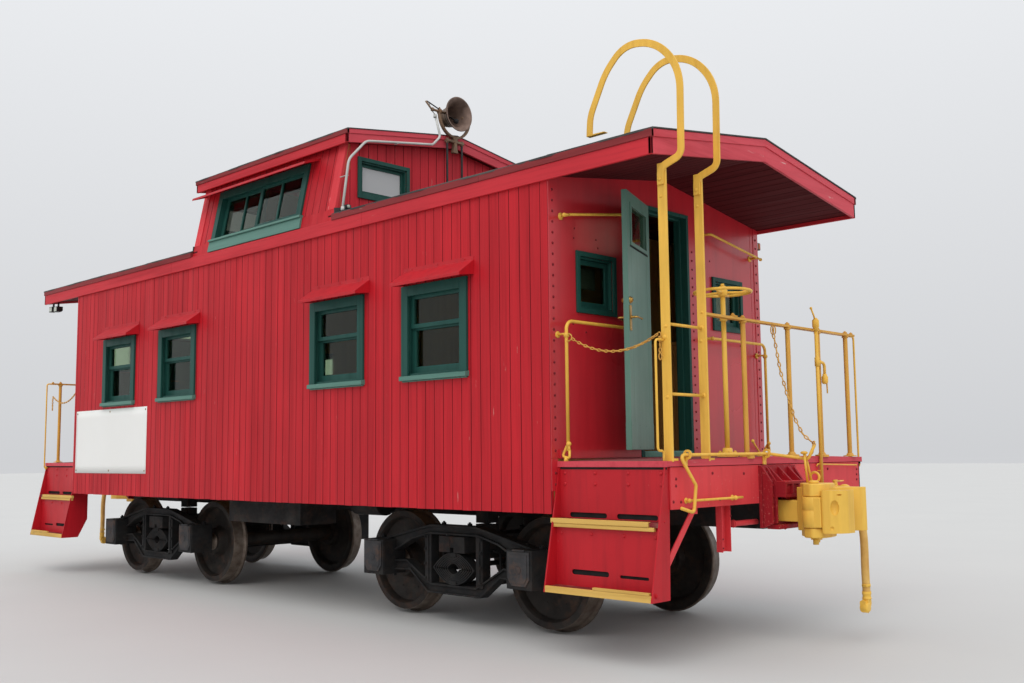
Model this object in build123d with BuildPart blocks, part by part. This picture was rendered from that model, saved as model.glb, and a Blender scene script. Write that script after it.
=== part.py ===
from build123d import *
import math
import os

os.makedirs("parts", exist_ok=True)

# Railway caboose, wooden body on a steel underframe, two four-wheel trucks.
# Frame: +X to the end with the open door, -Y to the side with the sign panel,
# +Z up, z = 0 where the wheel flanges stand, x = y = 0 at the middle of the car.
# All sizes in millimetres.

# ---------------------------------------------------------------- running gear
WHEEL_R = 419.0          # tread radius, 33 inch wheel
FLANGE_H = 26.0          # flange depth below the tread
AXLE_Z = WHEEL_R + FLANGE_H
BACK_TO_BACK = 1353.0    # between the inner wheel faces
RIM_W = 146.0
JOURNAL_Y = 978.0        # middle of the journal
JOURNAL_R = 63.5
TRUCK_X = 2390.0         # truck centre from the middle of the car
HALF_BASE = 838.0        # half the truck wheelbase

# ---------------------------------------------------------------- body
BODY_X = 3762.0          # half length over the end sheets
BODY_Y = 1372.0          # half width over the siding
WALL = 100.0             # wall thickness
SILL_Z = 920.0           # bottom edge of the siding
FLOOR_Z = 1290.0         # top of the cabin floor
END_X = 4675.0           # outer face of the end sill
DECK_Y = 1306.0          # half width of the platform
DECK_Z = 1295.0          # top of the platform planks
DECK_T = 44.0

# ---------------------------------------------------------------- roof
SLOPE = 0.1516           # rise per unit of width
ROOF_X = 4680.0          # half length over the end fascia
ROOF_Y = 1394.0          # half width over the side fascia
EAVE_Z = 3232.0          # bottom of the fascia at the eave
FASCIA_H = 112.0
TRIM_H = 52.0
FASCIA_T = 22.0
SLAB_LIFT = 25.0         # soffit above the fascia's bottom edge
ROOF_TOP = EAVE_Z + FASCIA_H + TRIM_H   # top of the slab at the eave
COVER_T = 9.0

# ---------------------------------------------------------------- cupola
CUP_X0, CUP_X1 = -1100.0, 1275.0
CUP_WALL = 80.0
CUP_FOOT_Y, CUP_FOOT_Z = 1376.0, EAVE_Z + FASCIA_H
CUP_TOP_Y, CUP_EAVE_Z = 1236.0, 4040.0
CUP_ROOF_Y = 1300.0
CUP_OVER = 85.0
CUP_FASCIA_H = 78.0
CUP_TRIM_H = 40.0

# ---------------------------------------------------------------- openings
WIN_W, WIN_Z0, WIN_Z1 = 750.0, 1900.0, 2655.0
SIDE_WINDOWS = (-2655.0, -1375.0, 1335.0, 2575.0)     # x of each window's middle
END_WIN_Y, END_WIN_W = 862.0, 448.0
END_WIN_Z0, END_WIN_Z1 = 2325.0, 2772.0
DOOR_W, DOOR_Z0, DOOR_Z1 = 614.0, 1340.0, 3200.0      # clear opening
DOOR_Y = -50.0                                        # middle of the opening in the +X end
DOOR_OPEN = 158.0                                     # open angle of the doors
HINGE_X, HINGE_Y = 3804.0, 356.0
LEAF_T = 40.0
HINGE_ZS = (1560.0, 2250.0, 2960.0)
CUP_WIN_X0, CUP_WIN_X1 = -763.0, 770.0
CUP_END_WIN = (525.0, 1120.0, 3590.0, 3962.0)         # |y| from, to, z from, to
RAIL_X = 4655.0                                       # line of the end railing
COUPLER_Z = 915.0


# ---------------------------------------------------------------- shape helpers
def block(x0, x1, y0, y1, z0, z1, mode=Mode.ADD):
    with Locations(((x0 + x1) / 2, (y0 + y1) / 2, (z0 + z1) / 2)):
        Box(x1 - x0, y1 - y0, z1 - z0, mode=mode)


def prism_x(points, x0, x1, mode=Mode.ADD):
    """Polygon of (y, z) points from x0 to x1."""
    with BuildSketch(Plane.YZ.offset(x0)) as face:
        with BuildLine():
            Polyline(*points, close=True)
        make_face()
    extrude(to_extrude=face.sketch, amount=x1 - x0, mode=mode)


def prism_y(points, y0, y1, mode=Mode.ADD):
    """Polygon of (x, z) points from y0 to y1."""
    with BuildSketch(Plane.XZ.offset(-y1)) as face:
        with BuildLine():
            Polyline(*points, close=True)
        make_face()
    extrude(to_extrude=face.sketch, amount=y1 - y0, mode=mode)


def prism_z(points, z0, z1, mode=Mode.ADD):
    """Polygon of (x, y) points from z0 to z1."""
    with BuildSketch(Plane.XY.offset(z0)) as face:
        with BuildLine():
            Polyline(*points, close=True)
        make_face()
    extrude(to_extrude=face.sketch, amount=z1 - z0, mode=mode)


def rod(start, end, radius, mode=Mode.ADD):
    """Round bar from start to end."""
    a, b = Vector(*start), Vector(*end)
    with BuildSketch(Plane(origin=a, z_dir=b - a)) as face:
        Circle(radius)
    extrude(to_extrude=face.sketch, amount=(b - a).length, mode=mode)


def bent_rod(points, radius, bend, mode=Mode.ADD):
    """Round bar along straight runs joined by arcs of radius bend."""
    with BuildLine() as path:
        FilletPolyline(*points, radius=bend)
    with BuildSketch(Plane(origin=path.line @ 0, z_dir=path.line % 0)) as face:
        Circle(radius)
    sweep(sections=face.sketch, path=path.line, mode=mode)


def flat_strip(points, width, y0, y1, bend, mode=Mode.ADD):
    """Flat bar bent edgewise: (x, z) centre line, width in that plane."""
    with BuildLine() as path:
        FilletPolyline(*[(x, y0, z) for x, z in points], radius=bend)
    start, along = path.line @ 0, path.line % 0
    with BuildSketch(Plane(origin=start, x_dir=(0, 1, 0), z_dir=along)) as face:
        with Locations(((y1 - y0) / 2, 0)):
            Rectangle(y1 - y0, width)
    sweep(sections=face.sketch, path=path.line, mode=mode)


def gable(y, eave, half):
    """Height at y of a gable surface that is eave high at half."""
    return eave + (half - abs(y)) * SLOPE


def gable_band(half, low, high, x0, x1, mode=Mode.ADD):
    """Gable slab between two heights, both given at y = half."""
    rise = half * SLOPE
    prism_x([(-half, low), (0, low + rise), (half, low), (half, high), (0, high + rise), (-half, high)], x0, x1, mode)


def eave_trim(side, half, low, top):
    """Section of the strip above a side fascia, under the roofing."""
    return [
        (side * (half - FASCIA_T), low),
        (side * (half + 8), low),
        (side * (half + 8), top - 8 * SLOPE),
        (side * (half - FASCIA_T), top + FASCIA_T * SLOPE),
    ]


def ship(builder, name):
    builder.part.label = name
    export_step(builder.part, f"parts/{name}.step")


# ================================================================ underframe
with BuildPart() as underframe:
    # centre sill: two webs under one cover plate
    block(-END_X + 12, END_X - 12, -170, -120, 790, 1220)
    block(-END_X + 12, END_X - 12, 120, 170, 790, 1220)
    block(-END_X + 12, END_X - 12, -230, 230, 1220, 1240)
    # side sills behind the siding, and platform sills
    for side in (-1, 1):
        y0, y1 = sorted((side * 1180, side * 1272))
        block(-BODY_X, BODY_X, y0, y1, 960, 1240)
        for end in (-1, 1):
            x0, x1 = sorted((end * (BODY_X - 10), end * (END_X - 12)))
            y0, y1 = sorted((side * 1040, side * 1090))
            block(x0, x1, y0, y1, 1120, 1240)
    # cross bearers
    for x in (-3700, -1300, -430, 430, 1300, 3700):
        block(x - 45, x + 45, -1200, 1200, 1060, 1240)
    # body bolsters, side bearings and centre plates over the trucks
    for x in (-TRUCK_X, TRUCK_X):
        prism_x([(-1200, 1060), (-400, 850), (400, 850), (1200, 1060), (1200, 1240), (-1200, 1240)], x - 140, x + 140)
        for y in (-640, 640):
            block(x - 70, x + 70, y - 60, y + 60, 775, 1000)
        with Locations((x, 0, 781)):
            Cylinder(150, 140)
        with Locations((x, 0, 660)):
            Cylinder(24, 140)
ship(underframe, "underframe")

# ================================================================ floor and decks
with BuildPart() as floor:
    block(-BODY_X, BODY_X, -1272, 1272, 1240, FLOOR_Z)
ship(floor, "floor")

with BuildPart() as platform_decks:
    for end in (-1, 1):
        x0, x1 = sorted((end * BODY_X, end * (END_X + 8)))
        block(x0, x1, -DECK_Y - 6, DECK_Y + 6, DECK_Z - DECK_T, DECK_Z)
ship(platform_decks, "platform_decks")

with BuildPart() as end_sills:
    for end in (-1, 1):
        x0, x1 = sorted((end * (END_X - 12), end * END_X))
        block(x0, x1, -DECK_Y, DECK_Y, 971, DECK_Z - DECK_T)
        for z0 in (971, DECK_Z - DECK_T - 11):
            xa, xb = sorted((end * (END_X - 90), end * (END_X - 12)))
            block(xa, xb, 170, 1130, z0, z0 + 11)
            block(xa, xb, -1130, -170, z0, z0 + 11)
        # opening for the coupler shank
        block(x0 - 5, x1 + 5, -85, 85, 960, 1000, Mode.SUBTRACT)
        # grab irons under the couplers' lever
        for ya, yb in ((-1111, -560), (470, 1010)):
            for y in (ya, yb):
                rod((end * END_X, end * y, 1022), (end * (END_X + 34), end * y, 1022), 11)
            rod((end * (END_X + 28), end * (ya - 12), 1022), (end * (END_X + 28), end * (yb + 70), 1022), 8)
        # channel that hangs from the sill, and the bar beside it
        xa, xb = sorted((end * 4600, end * 4652))
        ya, yb = sorted((end * -668, end * -562))
        block(xa, xb, ya, yb, 662, 971)
        rod((end * 4610, end * -480, 840), (end * 4610, end * -170.2, 840), 19)
        # brace down to the steps
        if end == 1:
            prism_x([(-955, 971), (-1012, 971), (-1285, 668), (-1285, 600)], 4643, 4654.8)
        else:
            prism_x([(955, 971), (1012, 971), (1285, 668), (1285, 600)], -4654.8, -4643)
ship(end_sills, "end_sills")

# ================================================================ walls
def side_wall(side):
    top = EAVE_Z + SLAB_LIFT
    outer, inner = side * BODY_Y, side * (BODY_Y - WALL)
    prism_x(
        [(outer, SILL_Z), (inner, SILL_Z + 40), (inner, gable(inner, top, ROOF_Y)), (outer, gable(outer, top, ROOF_Y))],
        -BODY_X,
        BODY_X,
    )
    # room for the sill and floor inside the siding
    y0, y1 = sorted((side * (BODY_Y - WALL), side * (BODY_Y - WALL - 10)))
    for x in SIDE_WINDOWS:
        y0, y1 = sorted((side * (BODY_Y + 10), side * (BODY_Y - WALL - 10)))
        block(x - WIN_W / 2 + 40, x + WIN_W / 2 - 40, y0, y1, WIN_Z0 + 40, WIN_Z1 - 40, Mode.SUBTRACT)


with BuildPart() as side_wall_left:
    side_wall(-1)
ship(side_wall_left, "side_wall_left")

with BuildPart() as side_wall_right:
    side_wall(1)
ship(side_wall_right, "side_wall_right")


def end_wall(end):
    top = EAVE_Z + SLAB_LIFT
    half = BODY_Y - WALL
    x0, x1 = sorted((end * (BODY_X - WALL), end * BODY_X))
    prism_x(
        [
            (-half, FLOOR_Z),
            (half, FLOOR_Z),
            (half, gable(half, top, ROOF_Y)),
            (0, gable(0, top, ROOF_Y)),
            (-half, gable(half, top, ROOF_Y)),
        ],
        x0,
        x1,
    )
    ya, yb = end * DOOR_Y - DOOR_W / 2, end * DOOR_Y + DOOR_W / 2
    block(x0 - 10, x1 + 10, ya - 30, yb + 30, FLOOR_Z - 10, DOOR_Z1 + 30, Mode.SUBTRACT)
    for side in (-1, 1):
        y = side * END_WIN_Y
        w = END_WIN_W / 2 - 35
        block(x0 - 10, x1 + 10, y - w, y + w, END_WIN_Z0 + 35, END_WIN_Z1 - 35, Mode.SUBTRACT)


with BuildPart() as end_wall_front:
    end_wall(1)
ship(end_wall_front, "end_wall_front")

with BuildPart() as end_wall_rear:
    end_wall(-1)
ship(end_wall_rear, "end_wall_rear")

# ================================================================ corner locker, seen through the doorway
with BuildPart() as corner_locker:
    # cupboard with a flat top, and the partition beside it
    block(3000, BODY_X - WALL, 450, BODY_Y - WALL, FLOOR_Z, 2235)
    block(2980, 3000, 450, BODY_Y - WALL, FLOOR_Z, 3230)
ship(corner_locker, "corner_locker")

# ================================================================ roof
with BuildPart() as main_roof:
    gable_band(ROOF_Y - FASCIA_T, EAVE_Z + SLAB_LIFT + FASCIA_T * SLOPE, ROOF_TOP + FASCIA_T * SLOPE, -ROOF_X + FASCIA_T, ROOF_X - FASCIA_T)
    # opening into the cupola, and its seat on the side walls
    block(CUP_X0 + CUP_WALL, CUP_X1 - CUP_WALL, -1272, 1272, 3000, 4000, Mode.SUBTRACT)
    block(CUP_X0, CUP_X1, -1400, -1272, CUP_FOOT_Z, 4000, Mode.SUBTRACT)
    block(CUP_X0, CUP_X1, 1272, 1400, CUP_FOOT_Z, 4000, Mode.SUBTRACT)
ship(main_roof, "main_roof")

with BuildPart() as roof_fascia:
    for side in (-1, 1):
        y0, y1 = sorted((side * (ROOF_Y - FASCIA_T), side * ROOF_Y))
        block(-ROOF_X, ROOF_X, y0, y1, EAVE_Z, EAVE_Z + FASCIA_H)
        trim = eave_trim(side, ROOF_Y, EAVE_Z + FASCIA_H, ROOF_TOP)
        prism_x(trim, -ROOF_X - 8, CUP_X0 - 2)
        prism_x(trim, CUP_X1 + 2, ROOF_X + 8)
    for end in (-1, 1):
        x0, x1 = sorted((end * (ROOF_X - FASCIA_T), end * ROOF_X))
        gable_band(ROOF_Y, EAVE_Z, EAVE_Z + FASCIA_H, x0, x1)
        x0, x1 = sorted((end * (ROOF_X - FASCIA_T), end * (ROOF_X + 8)))
        gable_band(ROOF_Y, EAVE_Z + FASCIA_H, ROOF_TOP, x0, x1)
    # fascia of the cupola's roof
    z0, z1, z2 = CUP_EAVE_Z, CUP_EAVE_Z + CUP_FASCIA_H, CUP_EAVE_Z + CUP_FASCIA_H + CUP_TRIM_H
    xa, xb = CUP_X0 - CUP_OVER, CUP_X1 + CUP_OVER
    for side in (-1, 1):
        y0, y1 = sorted((side * (CUP_ROOF_Y - FASCIA_T), side * CUP_ROOF_Y))
        block(xa, xb, y0, y1, z0, z1)
        prism_x(eave_trim(side, CUP_ROOF_Y, z1, z2), xa - 8, xb + 8)
    for x0, x1, x2 in ((xa, xa + FASCIA_T, xa - 8), (xb - FASCIA_T, xb, xb + 8)):
        gable_band(CUP_ROOF_Y, z0, z1, x0, x1)
        gable_band(CUP_ROOF_Y, z1, z2, min(x0, x2), max(x1, x2))
ship(roof_fascia, "roof_fascia")

with BuildPart() as roof_covering:
    gable_band(ROOF_Y + 14, ROOF_TOP - 14 * SLOPE + 0.01, ROOF_TOP - 14 * SLOPE + COVER_T, -ROOF_X - 16, ROOF_X + 16)
    block(CUP_X0 - 1, CUP_X1 + 1, -1500, 1500, 3000, 4000, Mode.SUBTRACT)
    cup_top = CUP_EAVE_Z + CUP_FASCIA_H + CUP_TRIM_H
    gable_band(
        CUP_ROOF_Y + 14,
        cup_top - 14 * SLOPE + 0.01,
        cup_top - 14 * SLOPE + COVER_T,
        CUP_X0 - CUP_OVER - 14,
        CUP_X1 + CUP_OVER + 14,
    )
ship(roof_covering, "roof_covering")

# ================================================================ cupola
CUP_LEAN = (CUP_FOOT_Y - CUP_TOP_Y) / (CUP_EAVE_Z - CUP_FOOT_Z)


def cup_y(z):
    """Outer half width of the cupola at height z."""
    return CUP_FOOT_Y - (z - CUP_FOOT_Z) * CUP_LEAN


def cupola_side(side):
    soffit = CUP_EAVE_Z + 12
    top_o = gable(CUP_TOP_Y, soffit, CUP_ROOF_Y)
    yo, yi = cup_y(top_o), cup_y(top_o) - CUP_WALL
    prism_x(
        [
            (side * CUP_FOOT_Y, CUP_FOOT_Z),
            (side * (CUP_FOOT_Y - CUP_WALL), CUP_FOOT_Z),
            (side * yi, gable(yi, soffit, CUP_ROOF_Y)),
            (side * yo, gable(yo, soffit, CUP_ROOF_Y)),
        ],
        CUP_X0,
        CUP_X1,
    )
    y0, y1 = sorted((side * 1500, side * 1000))
    block(CUP_WIN_X0 + 45, CUP_WIN_X1 - 45, y0, y1, 3460, 3925, Mode.SUBTRACT)


with BuildPart() as cupola_side_walls:
    cupola_side(-1)
    cupola_side(1)
ship(cupola_side_walls, "cupola_side_walls")

with BuildPart() as cupola_end_walls:
    soffit = CUP_EAVE_Z + 12
    for x0, x1 in ((CUP_X0, CUP_X0 + CUP_WALL), (CUP_X1 - CUP_WALL, CUP_X1)):
        yb = yt = CUP_TOP_Y
        for _ in range(20):
            yb = cup_y(gable(yb, ROOF_TOP, ROOF_Y)) - CUP_WALL - 0.05
            yt = cup_y(gable(yt, soffit, CUP_ROOF_Y)) - CUP_WALL - 0.05
        prism_x(
            [
                (-yb, gable(yb, ROOF_TOP, ROOF_Y) + 0.05),
                (0, gable(0, ROOF_TOP, ROOF_Y) + 0.05),
                (yb, gable(yb, ROOF_TOP, ROOF_Y) + 0.05),
                (yt, gable(yt, soffit, CUP_ROOF_Y)),
                (0, gable(0, soffit, CUP_ROOF_Y)),
                (-yt, gable(yt, soffit, CUP_ROOF_Y)),
            ],
            x0,
            x1,
        )
        for side in (-1, 1):
            y0, y1 = sorted((side * (CUP_END_WIN[0] + 35), side * (CUP_END_WIN[1] - 35)))
            block(x0 - 10, x1 + 10, y0, y1, CUP_END_WIN[2] + 35, CUP_END_WIN[3] - 35, Mode.SUBTRACT)
ship(cupola_end_walls, "cupola_end_walls")

with BuildPart() as cupola_roof:
    gable_band(
        CUP_ROOF_Y - FASCIA_T,
        CUP_EAVE_Z + 12 + FASCIA_T * SLOPE,
        CUP_EAVE_Z + CUP_FASCIA_H + CUP_TRIM_H + FASCIA_T * SLOPE,
        CUP_X0 - CUP_OVER + FASCIA_T,
        CUP_X1 + CUP_OVER - FASCIA_T,
    )
ship(cupola_roof, "cupola_roof")

# ================================================================ windows
def side_frame(x, side):
    """Double-hung window: deep frame, sill, two sashes."""
    y0, y1 = sorted((side * (BODY_Y - 70), side * (BODY_Y + 22)))
    block(x - WIN_W / 2 + 40, x + WIN_W / 2 - 40, y0, y1, WIN_Z0 + 40, WIN_Z1 - 40)
    y0, y1 = sorted((side * BODY_Y, side * (BODY_Y + 22)))
    block(x - WIN_W / 2, x + WIN_W / 2, y0, y1, WIN_Z0, WIN_Z1)
    y0, y1 = sorted((side * BODY_Y, side * (BODY_Y + 40)))
    block(x - WIN_W / 2 - 6, x + WIN_W / 2 + 6, y0, y1, WIN_Z0 - 4, WIN_Z0 + 45)
    y0, y1 = sorted((side * (BODY_Y - 80), side * (BODY_Y + 50)))
    block(x - 282, x + 282, y0, y1, WIN_Z0 + 85, 2300, Mode.SUBTRACT)
    block(x - 282, x + 282, y0, y1, 2345, WIN_Z1 - 90, Mode.SUBTRACT)


with BuildPart() as window_frames:
    for side in (-1, 1):
        for x in SIDE_WINDOWS:
            side_frame(x, side)
    for end in (-1, 1):
        for side in (-1, 1):
            y = side * END_WIN_Y
            x0, x1 = sorted((end * (BODY_X - 70), end * (BODY_X + 18)))
            w = END_WIN_W / 2
            block(x0, x1, y - w + 35, y + w - 35, END_WIN_Z0 + 35, END_WIN_Z1 - 35)
            x0, x1 = sorted((end * BODY_X, end * (BODY_X + 18)))
            block(x0, x1, y - w, y + w, END_WIN_Z0, END_WIN_Z1)
            x0, x1 = sorted((end * (BODY_X - 80), end * (BODY_X + 30)))
            block(x0, x1, y - w + 75, y + w - 75, END_WIN_Z0 + 75, END_WIN_Z1 - 75, Mode.SUBTRACT)
ship(window_frames, "window_frames")


def cupola_plane(side, z, depth):
    return side * (cup_y(z) + depth)


def lean_block(side, x0, x1, d0, d1, z0, z1, mode=Mode.ADD):
    """Block that lies in the leaning cupola side, d0 to d1 out from its face."""
    prism_x(
        [
            (cupola_plane(side, z0, d0), z0),
            (cupola_plane(side, z0, d1), z0),
            (cupola_plane(side, z1, d1), z1),
            (cupola_plane(side, z1, d0), z1),
        ],
        x0,
        x1,
        mode,
    )


with BuildPart() as cupola_window_frames:
    for side in (-1, 1):
        lean_block(side, CUP_WIN_X0 + 45, CUP_WIN_X1 - 45, -60, 20, 3460, 3925)
        lean_block(side, CUP_WIN_X0, CUP_WIN_X1, 0.2, 20, 3405, 3970)
        lean_block(side, CUP_WIN_X0 - 20, CUP_WIN_X1 + 20, 0.2, 42, 3400, 3440)
        mid = (CUP_WIN_X0 + CUP_WIN_X1) / 2
        for x0, x1 in (
            (CUP_WIN_X0 + 85, (CUP_WIN_X0 + mid) / 2 - 14),
            ((CUP_WIN_X0 + mid) / 2 + 14, mid - 35),
            (mid + 35, (CUP_WIN_X1 + mid) / 2 - 14),
            ((CUP_WIN_X1 + mid) / 2 + 14, CUP_WIN_X1 - 85),
        ):
            lean_block(side, x0, x1, -90, 60, 3495, 3890, Mode.SUBTRACT)
    for x0, x1, x2 in ((CUP_X0, CUP_X0 + 60, CUP_X0 - 18), (CUP_X1, CUP_X1 - 60, CUP_X1 + 18)):
        for side in (-1, 1):
            y0, y1 = sorted((side * CUP_END_WIN[0], side * CUP_END_WIN[1]))
            block(min(x1, x2), max(x1, x2), y0 + 35, y1 - 35, CUP_END_WIN[2] + 35, CUP_END_WIN[3] - 35)
            block(min(x0, x2), max(x0, x2), y0, y1, CUP_END_WIN[2], CUP_END_WIN[3])
            block(min(x1, x2) - 10, max(x1, x2) + 10, y0 + 65, y1 - 65, CUP_END_WIN[2] + 65, CUP_END_WIN[3] - 65, Mode.SUBTRACT)
ship(cupola_window_frames, "cupola_window_frames")

with BuildPart() as window_glass:
    for side in (-1, 1):
        for x in SIDE_WINDOWS:
            for z0, z1, back in ((WIN_Z0 + 85, 2300, 52), (2345, WIN_Z1 - 90, 30)):
                y0, y1 = sorted((side * (BODY_Y - back), side * (BODY_Y - back + 5)))
                block(x - 282, x + 282, y0, y1, z0, z1)
    for end in (-1, 1):
        for side in (-1, 1):
            y = side * END_WIN_Y
            x0, x1 = sorted((end * (BODY_X - 40), end * (BODY_X - 35)))
            w = END_WIN_W / 2 - 75
            block(x0, x1, y - w, y + w, END_WIN_Z0 + 75, END_WIN_Z1 - 75)
    for side in (-1, 1):
        mid = (CUP_WIN_X0 + CUP_WIN_X1) / 2
        for x0, x1 in (
            (CUP_WIN_X0 + 85, (CUP_WIN_X0 + mid) / 2 - 14),
            ((CUP_WIN_X0 + mid) / 2 + 14, mid - 35),
            (mid + 35, (CUP_WIN_X1 + mid) / 2 - 14),
            ((CUP_WIN_X1 + mid) / 2 + 14, CUP_WIN_X1 - 85),
        ):
            lean_block(side, x0, x1, -30, -25, 3495, 3890)
    for x0, x1 in ((CUP_X0 + 30, CUP_X0 + 35), (CUP_X1 - 35, CUP_X1 - 30)):
        for side in (-1, 1):
            y0, y1 = sorted((side * CUP_END_WIN[0], side * CUP_END_WIN[1]))
            block(x0, x1, y0 + 65, y1 - 65, CUP_END_WIN[2] + 65, CUP_END_WIN[3] - 65)
ship(window_glass, "window_glass")


def awning(side, face, out, x0, x1, z_low, z_high, z_wall):
    """Bent sheet hood with closed ends, 4 mm sheet."""
    yw, yo = side * face, side * (face + out)
    prism_x([(yw, z_high - 5), (yw, z_high), (yo, z_low + 4), (yo, z_low)], x0, x1)
    for xa, xb in ((x0, x0 + 4), (x1 - 4, x1)):
        prism_x([(yw, z_wall), (yw, z_high - 2), (yo, z_low + 2), (yo, z_low)], xa, xb)


with BuildPart() as awnings:
    for side in (-1, 1):
        for x in SIDE_WINDOWS:
            awning(side, BODY_Y + 0.3, 152, x - 360, x + 440, 2645, 2796, 2659)
        # the cupola's hood, its ends cut to the leaning side
        x0, x1, zl, zh = CUP_X0 + 45, 900, 3915, 4025
        yo = cup_y(zl) + 165
        prism_x(
            [(side * (cup_y(zh - 5) + 0.3), zh - 5), (side * (cup_y(zh) + 0.3), zh), (side * yo, zl + 4), (side * yo, zl)],
            x0,
            x1,
        )
        for xa, xb in ((x0, x0 + 4), (x1 - 4, x1)):
            prism_x(
                [(side * (cup_y(3975) + 0.3), 3975), (side * (cup_y(zh - 3) + 0.3), zh - 3), (side * yo, zl + 2), (side * (yo - 30), zl + 2)],
                xa,
                xb,
            )
ship(awnings, "awnings")

# ================================================================ doors
with BuildPart() as door_frames:
    for end in (-1, 1):
        ya, yb = end * DOOR_Y - DOOR_W / 2, end * DOOR_Y + DOOR_W / 2
        x0, x1 = sorted((end * (BODY_X - WALL), end * BODY_X))
        block(x0, x1, ya - 30, yb + 30, FLOOR_Z, DOOR_Z1 + 30)
        x0, x1 = sorted((end * BODY_X, end * (BODY_X + 28)))
        block(x0, x1, ya - 30, yb + 30, DECK_Z, DOOR_Z1 + 30)
        x0, x1 = sorted((end * (BODY_X - WALL), end * (BODY_X + 28)))
        block(x0 - 5, x1 + 5, ya, yb, DOOR_Z0, DOOR_Z1, Mode.SUBTRACT)
        # stop that the leaf closes against
        x0, x1 = sorted((end * (BODY_X - 80), end * (BODY_X - 30)))
        block(x0, x1, ya, ya + 14, DOOR_Z0, DOOR_Z1)
        block(x0, x1, yb - 14, yb, DOOR_Z0, DOOR_Z1)
        block(x0, x1, ya, yb, DOOR_Z1 - 14, DOOR_Z1)
    # hinge pins and their fixed knuckles
    for end in (-1, 1):
        for z in HINGE_ZS:
            x, y = end * HINGE_X, -end * HINGE_Y
            rod((x, y, z - 60), (x, y, z + 60), 6)
            for za in (z - 58, z + 23):
                rod((x, y, za), (x, y, za + 35), 11)
                x0, x1 = sorted((end * (BODY_X + 28), end * HINGE_X))
                y0, y1 = sorted((-end * 359, -end * 367))
                block(x0, x1, y0, y1, za, za + 35)
ship(door_frames, "door_frames")


def leaf(part_name):
    """Door closed in the +X end, hinge pin at (HINGE_X, -HINGE_Y)."""
    x1 = BODY_X + 22
    x0 = x1 - LEAF_T
    z0, z1 = DOOR_Z0 + 8, DOOR_Z1 - 6
    if part_name == "leaf":
        block(x0, x1, DOOR_Y - 301, DOOR_Y + 301, z0, z1)
        block(x0 - 5, x1 + 5, DOOR_Y - 205, DOOR_Y + 205, 2823, 3096, Mode.SUBTRACT)
    if part_name == "glass":
        block(x0 + 18, x0 + 23, DOOR_Y - 205, DOOR_Y + 205, 2823, 3096)
    if part_name == "hardware":
        for z in HINGE_ZS:
            rod((HINGE_X, -HINGE_Y, z - 22), (HINGE_X, -HINGE_Y, z + 22), 11)
            prism_z(
                [(x1, -350), (HINGE_X, -350), (HINGE_X, -347), (x1 + 4, -340), (x1 + 4, -260), (x1, -260)],
                z - 20,
                z + 20,
            )
            rod((HINGE_X, -HINGE_Y, z - 30), (HINGE_X, -HINGE_Y, z + 30), 6.06, Mode.SUBTRACT)
        # lock plates, handles and deadbolt rose
        for xa, xb in ((x1, x1 + 5), (x0 - 5, x0)):
            block(xa, xb, 190, 235, 2185, 2365)
            rod((xa, 212, 2402), (xb, 212, 2402), 26)
        for s, xa in ((1, x1 + 5), (-1, x0 - 5)):
            rod((xa, 212, 2280), (xa + s * 46, 212, 2280), 7)
            block(min(xa + s * 38, xa + s * 52), max(xa + s * 38, xa + s * 52), 100, 224, 2270, 2290)
            rod((xa, 212, 2402), (xa + s * 14, 212, 2402), 16)


with BuildPart() as door_front:
    leaf("leaf")
with BuildPart() as door_front_glass:
    leaf("glass")
with BuildPart() as door_front_hardware:
    leaf("hardware")
pin = Axis((HINGE_X, -HINGE_Y, 0), (0, 0, 1))
for builder, name in (
    (door_front, "door_front"),
    (door_front_glass, "door_front_glass"),
    (door_front_hardware, "door_front_hardware"),
):
    opened = builder.part.rotate(pin, -DOOR_OPEN)
    opened.label = name
    export_step(opened, f"parts/{name}.step")
for builder, name in (
    (door_front, "door_rear"),
    (door_front_glass, "door_rear_glass"),
    (door_front_hardware, "door_rear_hardware"),
):
    turned = builder.part.rotate(Axis.Z, 180)
    turned.label = name
    export_step(turned, f"parts/{name}.step")

# ================================================================ steps
def step_well(end, side):
    """Two treads between two plates below the platform's edge."""
    outer_t, outer_b, inner = DECK_Y, 1480.0, 1140.0
    xa, xb = 3774.0, END_X - 12
    for x0 in (xa, xb - 8):
        x0, x1 = sorted((end * x0, end * (x0 + 8)))
        prism_x(
            [
                (side * outer_t, DECK_Z - DECK_T - 1),
                (side * outer_b, 415),
                (side * 1180, 415),
                (side * inner, 600),
                (side * inner, DECK_Z - DECK_T - 1),
            ],
            x0,
            x1,
        )
    x0, x1 = sorted((end * (xa + 8), end * (xb - 8)))
    # sheet y0, y1 and z0, z1, then treads
    for ya, yb, za, zb in (
        (1298, 1304, 925, DECK_Z - DECK_T - 1),
        (1150, 1384, 862, 897),
        (1346, 1352, 490, 862),
        (1250, 1470, 420, 455),
    ):
        y0, y1 = sorted((side * ya, side * yb))
        block(x0, x1, y0, y1, za, zb)
    # lower sheet meets the bottom tread between its two slots
    y0, y1 = sorted((side * 1346, side * 1352))
    mid = (x0 + x1) / 2
    for ca, cb in ((x0, x0 + 60), (mid - 40, mid + 40), (x1 - 60, x1)):
        block(ca, cb, y0, y1, 455, 490)
    y0, y1 = sorted((side * 1298, side * 1304))
    for ca, cb in ((x0, x0 + 60), (mid - 40, mid + 40), (x1 - 60, x1)):
        block(ca, cb, y0, y1, 897, 925)


# three wells, the one on the front right is missing
with BuildPart() as step_wells:
    for end, side in ((-1, -1), (-1, 1), (1, -1)):
        step_well(end, side)
ship(step_wells, "step_wells")


# ================================================================ ladders
# Flat-bar goosenecks: (x, z) of the centre line, outward from the post.
GOOSE = (
    (4655, 3055),
    (4655, 3168),
    (4820, 3222),
    (4828, 3800),
    (4640, 4020),
    (4380, 4068),
    (4215, 3915),
    (4075, 3640),
    (4066, 3502),
)


def turned(shape_builder):
    return shape_builder.part.rotate(Axis.Z, 180)


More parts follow.
